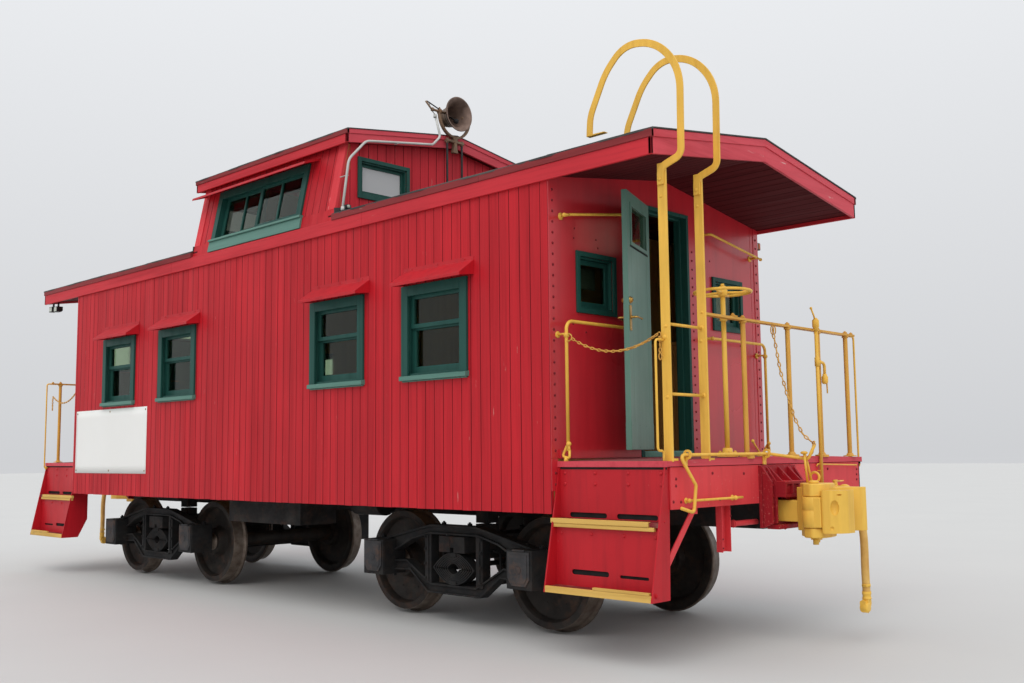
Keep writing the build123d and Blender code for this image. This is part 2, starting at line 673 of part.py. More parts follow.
with BuildPart() as ladder_front:
    for y, top in ((-1250.0, 3200.0), (-840.0, 3200.0)):
        block(RAIL_X - 32, RAIL_X + 32, y - 9, y + 9, DECK_Z, top)
        points = list(GOOSE)
        ground = gable(y, ROOF_TOP, ROOF_Y) + COVER_T
        if y < -1000:
            # outer foot has sprung up off the roof
            block(4041, 4200, y - 22, y + 18, 3502, 3512)
        else:
            # foot plate on the roof slope
            points[-1] = (4066, ground + 8)
            low, high = gable(y - 22, ROOF_TOP, ROOF_Y) + COVER_T + 0.05, gable(y + 170, ROOF_TOP, ROOF_Y) + COVER_T + 0.05
            prism_x([(y - 22, low), (y + 170, high), (y + 170, high + 11), (y - 22, low + 11)], 4035, 4090)
        flat_strip(points, 50, y - 22, y - 9, (60, 60, 380, 380, 240, 450, 260))
    for z in (1700.0, 2150.0):
        rod((RAIL_X, -1250, z), (RAIL_X, -840, z), 10)
ship(ladder_front, "ladder_front")
ladder_rear = turned(ladder_front)
ladder_rear.label = "ladder_rear"
export_step(ladder_rear, "parts/ladder_rear.step")

# ================================================================ end railings
TOP_RAIL_Z = 2240.0
# post y, radius, top height
POSTS = ((-338.0, 18.0, TOP_RAIL_Z), (271.0, 18.0, TOP_RAIL_Z), (721.0, 18.0, TOP_RAIL_Z), (1173.0, 18.0, TOP_RAIL_Z))

with BuildPart() as end_railings:
    for end in (-1, 1):
        for y, r, top in POSTS:
            rod((end * RAIL_X, end * y, DECK_Z), (end * RAIL_X, end * y, top), r)
            rod((end * RAIL_X, end * y, top + 17), (end * RAIL_X, end * y, top + 32), 15)
        x0, x1 = sorted((end * (RAIL_X - 25), end * (RAIL_X + 25)))
        y0, y1 = sorted((end * -800, end * 1290))
        block(x0, x1, y0, y1, TOP_RAIL_Z, TOP_RAIL_Z + 17)
        bent_rod(
            [
                (end * (RAIL_X - 15), end * 1270, TOP_RAIL_Z + 6),
                (end * (RAIL_X - 15), end * 1345, TOP_RAIL_Z + 6),
                (end * (RAIL_X - 15), end * 1345, 1215),
                (end * (RAIL_X - 15), end * 1304.2, 1215),
            ],
            8,
            24,
        )
        bent_rod(
            [
                (end * (RAIL_X - 15), end * -1259.2, 2045),
                (end * (RAIL_X - 15), end * -1345, 2045),
                (end * (RAIL_X - 15), end * -1345, 1340),
                (end * (RAIL_X - 15), end * -1284, 1340),
                (end * (RAIL_X - 15), end * -1284, DECK_Z),
            ],
            8,
            24,
        )
ship(end_railings, "end_railings")

# ================================================================ handrails on the end walls
with BuildPart() as handrails:
    for end in (-1, 1):
        for side in (-1, 1):
            x = end * (BODY_X + 88)
            bent_rod(
                [(x, side * 1295, DECK_Z), (x, side * 1295, 2240), (x, side * 480, 2240), (end * BODY_X, side * 480, 2240)],
                12,
                60,
            )
            rod((end * BODY_X, side * 1295, 2150), (x, side * 1295, 2150), 8)
            # grab iron that follows the roof slope
            a, b = (side * 1240, 2995), (side * 520, 3104)
            bent_rod(
                [
                    (end * BODY_X, a[0], a[1]),
                    (end * (BODY_X + 80), a[0], a[1]),
                    (end * (BODY_X + 80), b[0], b[1]),
                    (end * BODY_X, b[0], b[1]),
                ],
                10,
                30,
            )
ship(handrails, "handrails")

# ================================================================ hand brakes
with BuildPart() as hand_brakes:
    for end in (-1, 1):
        x, y = end * 4610, end * -511
        rod((x, y, DECK_Z), (x, y, DECK_Z + 28), 72)
        rod((x, y, DECK_Z + 28), (x, y, DECK_Z + 60), 34)
        rod((x, y, DECK_Z + 20), (x, y, 2475), 16)
        rod((x, y, 2405), (x, y, 2453), 34)
        with Locations((x, y, 2431)):
            Torus(190, 11)
        for k in range(4):
            a = math.radians(20 + 90 * k)
            rod((x, y, 2425), (x + 190 * math.cos(a), y + 190 * math.sin(a), 2431), 9)
        rod((x, y, TOP_RAIL_Z - 8), (x, y, TOP_RAIL_Z + 20), 19.5)
ship(hand_brakes, "hand_brakes")

# ================================================================ caboose valve pipes
with BuildPart() as valve_pipes:
    for end in (-1, 1):
        x, y = end * (RAIL_X + 44), end * 620
        rod((x, y, 1050), (x, y, 2260), 13)
        rod((x, y, 2258.2), (x, y, 2330), 26)
        rod((x, y, 2300), (x, y - end * 60, 2420), 7)
        bent_rod([(x, y, 2000), (x, y + end * 110, 2000), (x, y + end * 110, 1900)], 11, 35)
        rod((x, y + end * 110, 1905), (x, y + end * 110, 1840), 24)
        rod((x, y + end * 130, 1860), (x, y + end * 140, 1770), 6)
ship(valve_pipes, "valve_pipes")

# ================================================================ couplers
with BuildPart() as draft_castings:
    for end in (-1, 1):
        x0, x1 = sorted((end * END_X, end * (END_X + 24)))
        block(x0, x1, -235, 235, 800, 1230)
        x0, x1 = sorted((end * (END_X + 24), end * (END_X + 160)))
        block(x0, x1, -150, 150, 1010, 1120)
        x0, x1 = sorted((end * (END_X + 24), end * (END_X + 120)))
        block(x0, x1, -180, 180, 790, 822)
        for y in (-225, -165, 145, 205):
            prism_y(
                [
                    (end * (END_X + 24), 800),
                    (end * (END_X + 95), 830),
                    (end * (END_X + 95), 1120),
                    (end * (END_X + 24), 1225),
                ],
                y,
                y + 20,
            )
        x0, x1 = sorted((end * (END_X - 5), end * (END_X + 30)))
        block(x0, x1, -85, 85, 835, 1000, Mode.SUBTRACT)
ship(draft_castings, "draft_castings")

with BuildPart() as couplers:
    for end in (-1, 1):
        def mir(points):
            return [(end * x, end * y) for x, y in points]
        x0, x1 = sorted((end * 4300, end * 4900))
        block(x0, x1, -64, 64, COUPLER_Z - 74, COUPLER_Z + 74)
        # head with its guard arm, and the lugs over and under the knuckle
        prism_z(
            mir([(4870, 66), (4960, 140), (5090, 196), (5238, 205), (5262, 182), (5250, 138), (5190, 104), (5122, 40),
                 (5098, -40), (5010, -92), (4940, -112), (4870, -66)]),
            COUPLER_Z - 130,
            COUPLER_Z + 165,
        )
        for za, zb in ((COUPLER_Z - 170, COUPLER_Z - 102), (COUPLER_Z + 106, COUPLER_Z + 195)):
            prism_z(mir([(4900, 60), (5100, 60), (5124, -60), (5118, -180), (5062, -222), (4992, -196), (4940, -112), (4900, -70)]), za, zb)
        # knuckle: hub about its pin, and the nose in front of the lugs
        with Locations((end * 5046, end * -142, COUPLER_Z + 2)):
            Cylinder(84, 206)
        prism_z(
            mir([(5122, -214), (5190, -202), (5242, -158), (5266, -96), (5268, -20), (5248, 24), (5222, 20), (5204, -40),
                 (5168, -84), (5122, -100)]),
            COUPLER_Z - 134,
            COUPLER_Z + 150,
        )
        prism_z(mir([(5050, -214), (5124, -214), (5124, -90), (5050, -80)]), COUPLER_Z - 100, COUPLER_Z + 104)
ship(couplers, "couplers")

with BuildPart() as uncoupling_levers:
    for end in (-1, 1):
        x = END_X + 24
        bent_rod(
            [
                (end * (x + 38), end * -1243, 980),
                (end * (x + 38), end * -1112, 948),
                (end * (x + 36), end * -1080, 1120),
                (end * x, end * -1200, 1312),
                (end * x, end * -135, 1312),
                (end * (x + 235), end * 0, 1272),
                (end * (x + 285), end * 4, 1370),
            ],
            11,
            24,
        )
        for y in (-1120, -165):
            x0, x1 = sorted((end * (END_X + 8.2), end * (END_X + 38)))
            block(x0, x1, end * y - 8, end * y + 8, 1236, 1332)
        # lock lifter down to the coupler's top
        rod((end * (x + 190), end * 12, 1350), (end * (x + 240), end * 24, 1113), 9)
ship(uncoupling_levers, "uncoupling_levers")

# ================================================================ air hoses
# Route of the front hose: down out of the angle cock to the coupling.
HOSE_R = 27.0
HOSE = (
    (5078.0, 340.0, 985.0),
    (5110.0, 343.0, 922.0),
    (5133.0, 347.0, 846.0),
    (5144.0, 350.0, 756.0),
    (5147.0, 352.0, 650.0),
    (5144.0, 351.0, 500.0),
    (5148.0, 352.0, 350.0),
)


def bend_radii(points, share=0.45):
    radii = []
    for a, b, c in zip(points, points[1:], points[2:]):
        u, v = Vector(*b) - Vector(*a), Vector(*c) - Vector(*b)
        turn = math.radians(u.get_angle(v))
        radii.append(share * min(u.length, v.length) / math.tan(turn / 2))
    return radii


radii = bend_radii(HOSE)
print("hose bend radii", [round(r) for r in radii])

with BuildPart() as angle_cocks:
    for end in (-1, 1):
        e = end
        bent_rod([(e * 4300, e * 340, 935), (e * 4760, e * 340, 935), (e * 4930, e * 340, 1040)], 22, 120)
        rod((e * 4900, e * 340, 1021), (e * 5002, e * 340, 1060), 33)
        rod((e * 4985, e * 340, 1060), (e * 5037, e * 340, 1045), 33)
        # outlet that points down, where the hose starts
        rod((e * 5020, e * 340, 1100 - 0.2), (e * 5078, e * 340, 985), 27)
        rod((e * 4960, e * 340, 1060), (e * 4950, e * 340, 1120), 14)
        rod((e * 4951, e * 330, 1112), (e * 4951, e * 450, 1112), 9)
ship(angle_cocks, "angle_cocks")

for e, name in ((1, "front"), (-1, "rear")):
    route = [(e * x, e * y, z) for x, y, z in HOSE]
    with BuildPart() as air_hose:
        bent_rod(route, HOSE_R, bend_radii(route))
    ship(air_hose, f"air_hose_{name}")
    with BuildPart() as hose_coupling:
        x, y = e * 5148, e * 352
        rod((x, y, 350), (x, y, 300), 32)
        block(x - 24, x + 24, y - 55, y + 30, 205, 300)
        rod((x - 30, y - 40, 235), (x + 30, y - 40, 235), 42)
    ship(hose_coupling, f"hose_coupling_{name}")

# ================================================================ bell
BELL_X, BELL_Y, BELL_Z = 1470.0, -65.0, 4537.0     # middle of the mouth
PIVOT = 70.0                                       # trunnions behind the mouth
with BuildPart() as bell:
    # mouth faces +X, held tipped up on its trunnions
    with BuildSketch(Plane.XZ) as profile:
        with BuildLine():
            Polyline(
                (0, 166), (-30, 140), (-90, 108), (-160, 92), (-215, 70), (-235, 0),
                (-222, 0), (-204, 58), (-154, 80), (-86, 96), (-24, 128), (0, 154),
                close=True,
            )
        make_face()
    revolve(axis=Axis.X)
    rod((-228, 0, 0), (-275, 0, 0), 26)
    rod((-PIVOT, 105, 0), (-PIVOT, 205, 0), 12)
    rod((-PIVOT, -105, 0), (-PIVOT, -290, 0), 12)
    rod((-PIVOT, -280, 0), (-PIVOT, -360, 60), 9)
bell_at = bell.part.moved(Location((BELL_X, BELL_Y, BELL_Z)))
bell_at.label = "bell"
export_step(bell_at, "parts/bell.step")

with BuildPart() as bell_stand:
    x, y = BELL_X - PIVOT, BELL_Y
    with BuildLine() as bow:
        ThreePointArc((x, y - 190, BELL_Z), (x, y, BELL_Z - 215), (x, y + 190, BELL_Z))
    with BuildSketch(Plane(origin=bow.line @ 0, z_dir=bow.line % 0)):
        Rectangle(34, 22)
    sweep(path=bow.line)
    for s in (-1, 1):
        rod((x, y + s * 179, BELL_Z), (x, y + s * 201, BELL_Z), 30)
        rod((x, y + s * 170, BELL_Z), (x, y + s * 210, BELL_Z), 12.05, Mode.SUBTRACT)
    block(x - 22, x + 22, y - 32, y + 32, 4170, BELL_Z - 205)
    block(x - 22, x + 22, y - 108, y + 108, 4262, 4290)
    for yy in (y - 94, y + 94):
        block(x - 10, x + 10, yy - 12, yy + 12, gable(yy + 12 * (1 if yy > 0 else -1) * -1, ROOF_TOP, ROOF_Y) + COVER_T + 2, 4262)
ship(bell_stand, "bell_stand")

# ================================================================ conduit, lamps, sign
with BuildPart() as conduit:
    # pipe over the end of the cupola up to the bell's arm
    x = CUP_X1 + 113
    bent_rod(
        [
            (x, -1365, 3415),
            (x, -1300, 3880),
            (x, -1110, 4080),
            (x, -330, 4205),
            (x, -235, 4300),
            (x, -300, 4500),
        ],
        11,
        (160, 120, 60, 50),
    )
ship(conduit, "conduit")

with BuildPart() as floodlights:
    for x, y, z in ((-4560, -1330, 3190), (-4420, -1330, 3180), (BODY_X - 60, 1420, 3160)):
        rod((x, y, z - 40), (x, y, z + 60), 12)
        block(x - 45, x + 45, y - 40, y + 40, z - 60, z + 10)
    # small lamp on the roof beside the cupola
    z = gable(1255, ROOF_TOP, ROOF_Y) + COVER_T
    block(1325, 1372, -1318, -1255, z + 6, z + 60)
ship(floodlights, "floodlights")

with BuildPart() as sign_panel:
    block(-3700, -1965, -BODY_Y - 6, -BODY_Y - 0.2, 1150, 1872)
ship(sign_panel, "sign_panel")

# ================================================================ brake gear under the floor
with BuildPart() as brake_gear:
    # air reservoir and brake cylinder, each on two straps
    rod((-900, 520, 880), (300, 520, 880), 165)
    for x in (-700, 100):
        block(x - 20, x + 20, 480, 560, 1000, 1240)
    rod((500, -480, 900), (900, -480, 900), 125)
    rod((900, -480, 900), (1150, -480, 900), 22)
    for x in (560, 840):
        block(x - 18, x + 18, -520, -440, 980, 1240)
ship(brake_gear, "brake_gear")

with BuildPart() as tool_box:
    block(-780, 430, -1100, -700, 700, 1060)
ship(tool_box, "tool_box")


# ================================================================ trucks
ARCH = (
    (-965, 612), (-500, 722), (-260, 774), (260, 774), (500, 722), (965, 612),
    (940, 530), (700, 545), (500, 640), (280, 696), (-280, 696), (-500, 640), (-700, 545), (-940, 530),
)
CHORD = (
    (-955, 372), (-520, 396), (-300, 232), (300, 232), (520, 396), (955, 372),
    (950, 455), (560, 480), (260, 312), (-260, 312), (-560, 480), (-950, 455),
)


def truck(xc, suffix):
    with BuildPart() as side_frames:
        for side in (-1, 1):
            y0, y1 = sorted((side * 925, side * 1031))
            prism_y([(xc + x, z) for x, z in ARCH], y0, y1)
            prism_y([(xc + x, z) for x, z in CHORD], y0, y1)
            for x in (-295, 295):
                block(xc + x - 40, xc + x + 40, y0, y1, 300, 712)
            for x in (-HALF_BASE, HALF_BASE):
                a, b = sorted((side * 905, side * 1165))
                block(xc + x - 130, xc + x + 130, a, b, 350, 638)
                # cavity, then the bearing that rides on the journal
                a, b = sorted((side * 895, side * 1140))
                block(xc + x - 92, xc + x + 92, a, b, 362, 604, Mode.SUBTRACT)
                a, b = sorted((side * 925, side * 1030))
                block(xc + x - 60, xc + x + 60, a, b, AXLE_Z + 15, 604)
                rod((xc + x, a - 1, AXLE_Z), (xc + x, b + 1, AXLE_Z), JOURNAL_R + 0.06, Mode.SUBTRACT)
    ship(side_frames, f"truck_side_frames_{suffix}")

    with BuildPart() as bolster:
        prism_x([(-1040, 560), (-900, 560), (-600, 530), (600, 530), (900, 560), (1040, 560), (1040, 690), (-1040, 690)], xc - 150, xc + 150)
        with Locations((xc, 0, 700)):
            Cylinder(185, 40)
        with Locations((xc, 0, 712)):
            Cylinder(153, 18, mode=Mode.SUBTRACT)
        with Locations((xc, 0, 640)):
            Cylinder(26, 260, mode=Mode.SUBTRACT)
        for y in (-640, 640):
            block(xc - 80, xc + 80, y - 60, y + 60, 690, 768)
        block(xc - 150, xc + 150, -925, 925, 288, 308)
    ship(bolster, f"truck_bolster_{suffix}")

    with BuildPart() as springs:
        for side in (-1, 1):
            y0, y1 = sorted((side * 935, side * 1021))
            prism_y(
                [(xc - 230, 436), (xc - 120, 520), (xc, 560), (xc + 120, 520), (xc + 230, 436), (xc + 120, 352), (xc, 312), (xc - 120, 352)],
                y0,
                y1,
            )
            prism_y(
                [(xc - 150, 436), (xc, 500), (xc + 150, 436), (xc, 372)],
                y0 - 5,
                y1 + 5,
                Mode.SUBTRACT,
            )
    ship(springs, f"truck_springs_{suffix}")

    with BuildPart() as brake_beams:
        for s in (-1, 1):
            xb = xc + s * 340
            rod((xb, -860, 400), (xb, 860, 400), 22)
            rod((xb, -700, 400), (xb - s * 70, 0, 400), 16)
            rod((xb, 700, 400), (xb - s * 70, 0, 400), 16)
            for y in (-749, 749):
                x0, x1 = sorted((xb - s * 30, xb + s * 70))
                block(x0, x1, y - 40, y + 40, 360, 520)
                rod((xc + s * HALF_BASE, y - 50, AXLE_Z), (xc + s * HALF_BASE, y + 50, AXLE_Z), 455, Mode.SUBTRACT)
    ship(brake_beams, f"brake_beams_{suffix}")


truck(TRUCK_X, "front")
truck(-TRUCK_X, "rear")

# ================================================================ wheelsets
BACK = BACK_TO_BACK / 2
# wheel section: distance from the middle of the car, radius
WHEEL = (
    (BACK - 25, 90), (BACK - 25, 135), (BACK + 30, 150), (BACK + 52, 330), (BACK, 362), (BACK, 433),
    (BACK + 6, WHEEL_R + FLANGE_H), (BACK + 24, WHEEL_R + FLANGE_H), (BACK + 38, WHEEL_R + 2),
    (BACK + RIM_W, WHEEL_R - 5), (BACK + RIM_W, 362), (BACK + 78, 340), (BACK + 70, 150), (BACK + 150, 135), (BACK + 150, 90),
)
AXLE = ((0, 70), (300, 74), (BACK - 40, 84), (BACK - 25, 90), (BACK + 150, 90), (BACK + 170, 72), (900, 66),
        (918, JOURNAL_R), (1045, JOURNAL_R), (1050, 72), (1066, 72), (1068, 0))

for number, xw in ((1, TRUCK_X + HALF_BASE), (2, TRUCK_X - HALF_BASE), (3, -TRUCK_X + HALF_BASE), (4, -TRUCK_X - HALF_BASE)):
    with BuildPart() as wheelset:
        for section_points in ([*AXLE, (0, 0)], WHEEL):
            with BuildSketch(Plane.YZ):
                with BuildLine():
                    Polyline(*section_points, close=True)
                make_face()
            revolve(axis=Axis.Y)
        mirror(about=Plane.XZ)
    placed = wheelset.part.moved(Location((xw, 0, AXLE_Z)))
    placed.label = f"wheelset_{number}"
    export_step(placed, f"parts/wheelset_{number}.step")
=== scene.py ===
import math
import random

import bmesh
import bpy
from mathutils import Matrix, Vector


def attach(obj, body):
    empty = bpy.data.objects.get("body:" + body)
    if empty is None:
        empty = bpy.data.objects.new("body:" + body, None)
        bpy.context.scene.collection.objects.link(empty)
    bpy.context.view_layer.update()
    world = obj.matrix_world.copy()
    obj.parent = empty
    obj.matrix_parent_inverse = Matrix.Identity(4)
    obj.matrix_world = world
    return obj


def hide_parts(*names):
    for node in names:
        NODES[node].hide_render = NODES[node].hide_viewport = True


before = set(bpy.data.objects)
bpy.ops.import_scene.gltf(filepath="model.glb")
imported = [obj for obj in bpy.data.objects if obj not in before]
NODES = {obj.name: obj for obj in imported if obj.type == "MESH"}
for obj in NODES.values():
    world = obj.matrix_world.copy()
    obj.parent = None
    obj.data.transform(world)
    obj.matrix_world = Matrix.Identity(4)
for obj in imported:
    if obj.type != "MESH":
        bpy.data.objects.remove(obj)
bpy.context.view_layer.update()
dice = random.Random(20)

# ------------------------------------------------------------------ sizes, metres
TRUCK_X, HALF_BASE, AXLE_Z = 2.390, 0.838, 0.445
BODY_X, BODY_Y, WALL = 3.762, 1.372, 0.100
SILL_Z, FLOOR_Z, DECK_Z, DECK_Y, END_X = 0.920, 1.290, 1.295, 1.306, 4.675
SLOPE, ROOF_X, ROOF_Y, EAVE_Z = 0.1516, 4.680, 1.394, 3.232
FASCIA_H, TRIM_H, FASCIA_T, SLAB_LIFT, COVER_T = 0.112, 0.052, 0.022, 0.025, 0.009
ROOF_TOP = EAVE_Z + FASCIA_H + TRIM_H
CUP_X0, CUP_X1, CUP_WALL = -1.100, 1.275, 0.080
CUP_FOOT_Y, CUP_FOOT_Z, CUP_TOP_Y, CUP_EAVE_Z = 1.376, 3.344, 1.236, 4.040
CUP_ROOF_Y, CUP_OVER, CUP_FASCIA_H, CUP_TRIM_H = 1.300, 0.085, 0.078, 0.040
CUP_LEAN = (CUP_FOOT_Y - CUP_TOP_Y) / (CUP_EAVE_Z - CUP_FOOT_Z)
SIDE_WINDOWS = (-2.655, -1.375, 1.335, 2.575)
WIN_W, WIN_Z0, WIN_Z1 = 0.750, 1.900, 2.655
END_WIN_Y, END_WIN_W, END_WIN_Z0, END_WIN_Z1 = 0.862, 0.448, 2.325, 2.772
DOOR_W, DOOR_Y, DOOR_Z0, DOOR_Z1 = 0.614, -0.050, 1.340, 3.200
HINGE_X, HINGE_Y = 3.804, 0.306      # before the doorway's own offset DOOR_Y
RAIL_X, TOP_RAIL_Z = 4.655, 2.240
BOARD = 0.1016


def gable(y, eave, half):
    return eave + (half - abs(y)) * SLOPE


def cup_y(z):
    return CUP_FOOT_Y - (z - CUP_FOOT_Z) * CUP_LEAN


def srgb(r, g, b):
    return tuple((c / 255 / 12.92 if c <= 10 else ((c / 255 + 0.055) / 1.055) ** 2.4) for c in (r, g, b))


# ------------------------------------------------------------------ materials
class Mat:
    """Node material of one finish, built step by step."""

    def __init__(self, name, rough=0.5, metal=0.0):
        self.mat = bpy.data.materials.new(name)
        self.mat.use_nodes = True
        self.tree = self.mat.node_tree
        self.shader = self.tree.nodes["Principled BSDF"]
        self.shader.inputs["Roughness"].default_value = rough
        self.shader.inputs["Metallic"].default_value = metal
        self.place = self.tree.nodes.new("ShaderNodeTexCoord").outputs["Object"]

    def link(self, source, target):
        self.tree.links.new(source, target)

    def value(self, node, name, given):
        socket = node.inputs[name]
        if isinstance(given, bpy.types.NodeSocket):
            self.link(given, socket)
        elif isinstance(given, (tuple, list)) and len(given) == 3 and socket.type == "RGBA":
            socket.default_value = (*given, 1)
        else:
            socket.default_value = given

    def scaled(self, scale, turn=(0, 0, 0), move=(0, 0, 0)):
        node = self.tree.nodes.new("ShaderNodeMapping")
        self.link(self.place, node.inputs["Vector"])
        node.inputs["Scale"].default_value = scale if hasattr(scale, "__len__") else (scale,) * 3
        node.inputs["Rotation"].default_value = turn
        node.inputs["Location"].default_value = move
        return node.outputs["Vector"]

    def noise(self, scale, detail=4.0, rough=0.55, distort=0.0, move=(0, 0, 0)):
        node = self.tree.nodes.new("ShaderNodeTexNoise")
        self.link(self.scaled(scale, move=move), node.inputs["Vector"])
        node.inputs["Scale"].default_value = 1.0
        node.inputs["Detail"].default_value = detail
        node.inputs["Roughness"].default_value = rough
        node.inputs["Distortion"].default_value = distort
        return node.outputs["Fac"]

    def cells(self, scale, out="Distance"):
        node = self.tree.nodes.new("ShaderNodeTexVoronoi")
        self.link(self.scaled(scale), node.inputs["Vector"])
        node.inputs["Scale"].default_value = 1.0
        return node.outputs[out]

    def ramp(self, fac, *stops):
        """Stops are (position, value or colour)."""
        node = self.tree.nodes.new("ShaderNodeValToRGB")
        self.link(fac, node.inputs["Fac"])
        elements = node.color_ramp.elements
        for k, (position, colour) in enumerate(stops):
            element = elements[k] if k < 2 else elements.new(position)
            element.position = position
            element.color = (colour, colour, colour, 1) if not hasattr(colour, "__len__") else (*colour, 1)
        return node.outputs["Color"]

    def math(self, what, a, b=0.0, clamp=False):
        node = self.tree.nodes.new("ShaderNodeMath")
        node.operation, node.use_clamp = what, clamp
        for k, given in enumerate((a, b)):
            if isinstance(given, bpy.types.NodeSocket):
                self.link(given, node.inputs[k])
            else:
                node.inputs[k].default_value = given
        return node.outputs[0]

    def mix(self, fac, a, b, how="MIX"):
        node = self.tree.nodes.new("ShaderNodeMix")
        node.data_type, node.blend_type = "RGBA", how
        for name, given in (("Factor", fac), ("A", a), ("B", b)):
            sockets = [s for s in node.inputs if s.name == name and s.enabled]
            socket = sockets[0]
            if isinstance(given, bpy.types.NodeSocket):
                self.link(given, socket)
            elif hasattr(given, "__len__"):
                socket.default_value = (*given, 1)
            else:
                socket.default_value = given
        return [s for s in node.outputs if s.enabled][0]

    def axis(self, name):
        node = self.tree.nodes.new("ShaderNodeSeparateXYZ")
        self.link(self.place, node.inputs[0])
        return node.outputs[name]

    def bump(self, height, strength=0.3, distance=0.002, before=None):
        node = self.tree.nodes.new("ShaderNodeBump")
        node.inputs["Strength"].default_value = strength
        node.inputs["Distance"].default_value = distance
        self.link(height, node.inputs["Height"])
        if before is not None:
            self.link(before, node.inputs["Normal"])
        return node.outputs["Normal"]

    def done(self, colour=None, rough=None, normal=None, **constants):
        if colour is not None:
            self.value(self.shader, "Base Color", colour)
        if rough is not None:
            self.value(self.shader, "Roughness", rough)
        if normal is not None:
            self.link(normal, self.shader.inputs["Normal"])
        for name, given in constants.items():
            self.value(self.shader, name.replace("_", " "), given)
        return self.mat


def painted_wood(name, base, dark, worn, along, rough=0.5, wear=0.66, board_axis=None, groove=False):
    """Brush-painted boards: grain along one axis, tint by board, dirt streaks and paint worn to the wood."""
    m = Mat(name, rough)
    fine = {"X": (1.6, 46, 46), "Y": (46, 1.6, 46), "Z": (46, 46, 1.6)}[along]
    grain = m.noise(fine, 5, 0.6)
    cloud = m.noise(0.9, 3)
    streak = m.noise({"X": (0.7, 14, 9), "Y": (14, 0.7, 9), "Z": (11, 11, 0.45)}[along], 5, 0.62)
    colour = m.mix(m.ramp(cloud, (0.32, 0.0), (0.70, 1.0)), base, tuple(c * 0.86 for c in base))
    if board_axis:
        step = m.math("FLOOR", m.math("DIVIDE", m.axis(board_axis), BOARD))
        white = m.tree.nodes.new("ShaderNodeTexWhiteNoise")
        white.noise_dimensions = "1D"
        m.link(step, white.inputs["W"])
        colour = m.mix(m.math("MULTIPLY", white.outputs["Value"], 0.30), colour, dark)
    colour = m.mix(m.math("MULTIPLY", m.ramp(streak, (0.50, 0.0), (0.75, 1.0)), 0.40), colour, dark)
    colour = m.mix(m.math("MULTIPLY", m.ramp(grain, (0.50, 0.0), (0.80, 1.0)), 0.35), colour, dark)
    chips = m.noise({"X": (2.5, 26, 26), "Y": (26, 2.5, 26), "Z": (26, 26, 3.2)}[along], 6, 0.68)
    where = m.math("MULTIPLY", m.ramp(chips, (wear, 0.0), (wear + 0.03, 1.0)), m.ramp(m.noise(0.75, 2, move=(3, 1, 7)), (0.45, 0.0), (0.62, 1.0)))
    colour = m.mix(where, colour, worn)
    # the groove option darkens colour nearly to black: painted shade in grooves, with dirt
    if groove:
        colour = m.mix(0.62, colour, tuple(c * 0.25 for c in dark))
    normal = m.bump(grain, 0.35, 0.0012)
    normal = m.bump(chips, 0.25, 0.0015, normal)
    roughness = m.ramp(streak, (0.3, rough - 0.08), (0.75, rough + 0.16))
    return m.done(colour, roughness, normal, Specular_IOR_Level=0.22)


def painted_steel(name, base, dark, chip, rough=0.38, wear=0.70, scale=1.0, rust=None, coat=0.0):
    """Brushed enamel on steel: slow tint change, run-down streaks, chips to primer or rust."""
    m = Mat(name, rough)
    cloud = m.noise(1.3 * scale, 4)
    streak = m.noise((9 * scale, 9 * scale, 0.8 * scale), 5, 0.6)
    spots = m.noise(34 * scale, 6, 0.66)
    patch = m.noise(1.7 * scale, 3, move=(5, 2, 9))
    colour = m.mix(m.ramp(cloud, (0.30, 0.0), (0.72, 1.0)), base, tuple(c * 0.84 for c in base))
    colour = m.mix(m.math("MULTIPLY", m.ramp(streak, (0.48, 0.0), (0.78, 1.0)), 0.38), colour, dark)
    where = m.math("MULTIPLY", m.ramp(spots, (wear, 0.0), (wear + 0.02, 1.0)), m.ramp(patch, (0.42, 0.0), (0.60, 1.0)))
    colour = m.mix(where, colour, chip)
    if rust:
        bloom = m.ramp(m.noise(6.5 * scale, 6, 0.7, move=(1, 8, 2)), (0.56, 0.0), (0.72, 1.0))
        colour = m.mix(m.math("MULTIPLY", bloom, 0.75), colour, rust)
    normal = m.bump(m.noise(95 * scale, 2), 0.10, 0.0006)
    normal = m.bump(where, 0.35, 0.0007, normal)
    roughness = m.ramp(cloud, (0.3, rough - 0.05), (0.7, rough + 0.12))
    return m.done(colour, roughness, normal, Specular_IOR_Level=0.30, Coat_Weight=coat, Coat_Roughness=0.3)


RED = srgb(202, 30, 42)
RED_DARK = srgb(124, 12, 22)
RED_WORN = srgb(196, 128, 120)
YELLOW = srgb(242, 190, 78)
YELLOW_DARK = srgb(176, 118, 30)
GREEN = srgb(33, 80, 72)
GREEN_DARK = srgb(14, 42, 38)

SIDING = painted_wood("siding_paint", RED, RED_DARK, RED_WORN, "Z", 0.50, 0.68, "X")
# groove faces of the boards in a much darker red: dirt in the joints and painted shade in the V-grooves
SIDING_GROOVE_DIRT_AND_SHADE = painted_wood("siding_groove_dirt_and_shade", srgb(96, 10, 20), srgb(46, 4, 10), RED_DARK, "Z", 0.7, 0.8)
CUP_END = painted_wood("cupola_end_paint", srgb(216, 42, 56), RED_DARK, RED_WORN, "Z", 0.5, 0.66, "Y")
CUP_CORNER = painted_wood("corner_board_paint", srgb(222, 60, 68), srgb(168, 30, 42), srgb(222, 190, 180), "Z", 0.55, 0.62)
FASCIA = painted_wood("fascia_paint", srgb(204, 46, 56), srgb(136, 22, 32), RED_WORN, "X", 0.5, 0.68)
FASCIA_END = painted_wood("end_fascia_paint", srgb(214, 76, 88), srgb(150, 34, 46), srgb(214, 160, 156), "Y", 0.5, 0.66)
TRIM = painted_wood("trim_paint", srgb(140, 50, 52), srgb(76, 22, 26), srgb(150, 110, 100), "X", 0.6, 0.62)
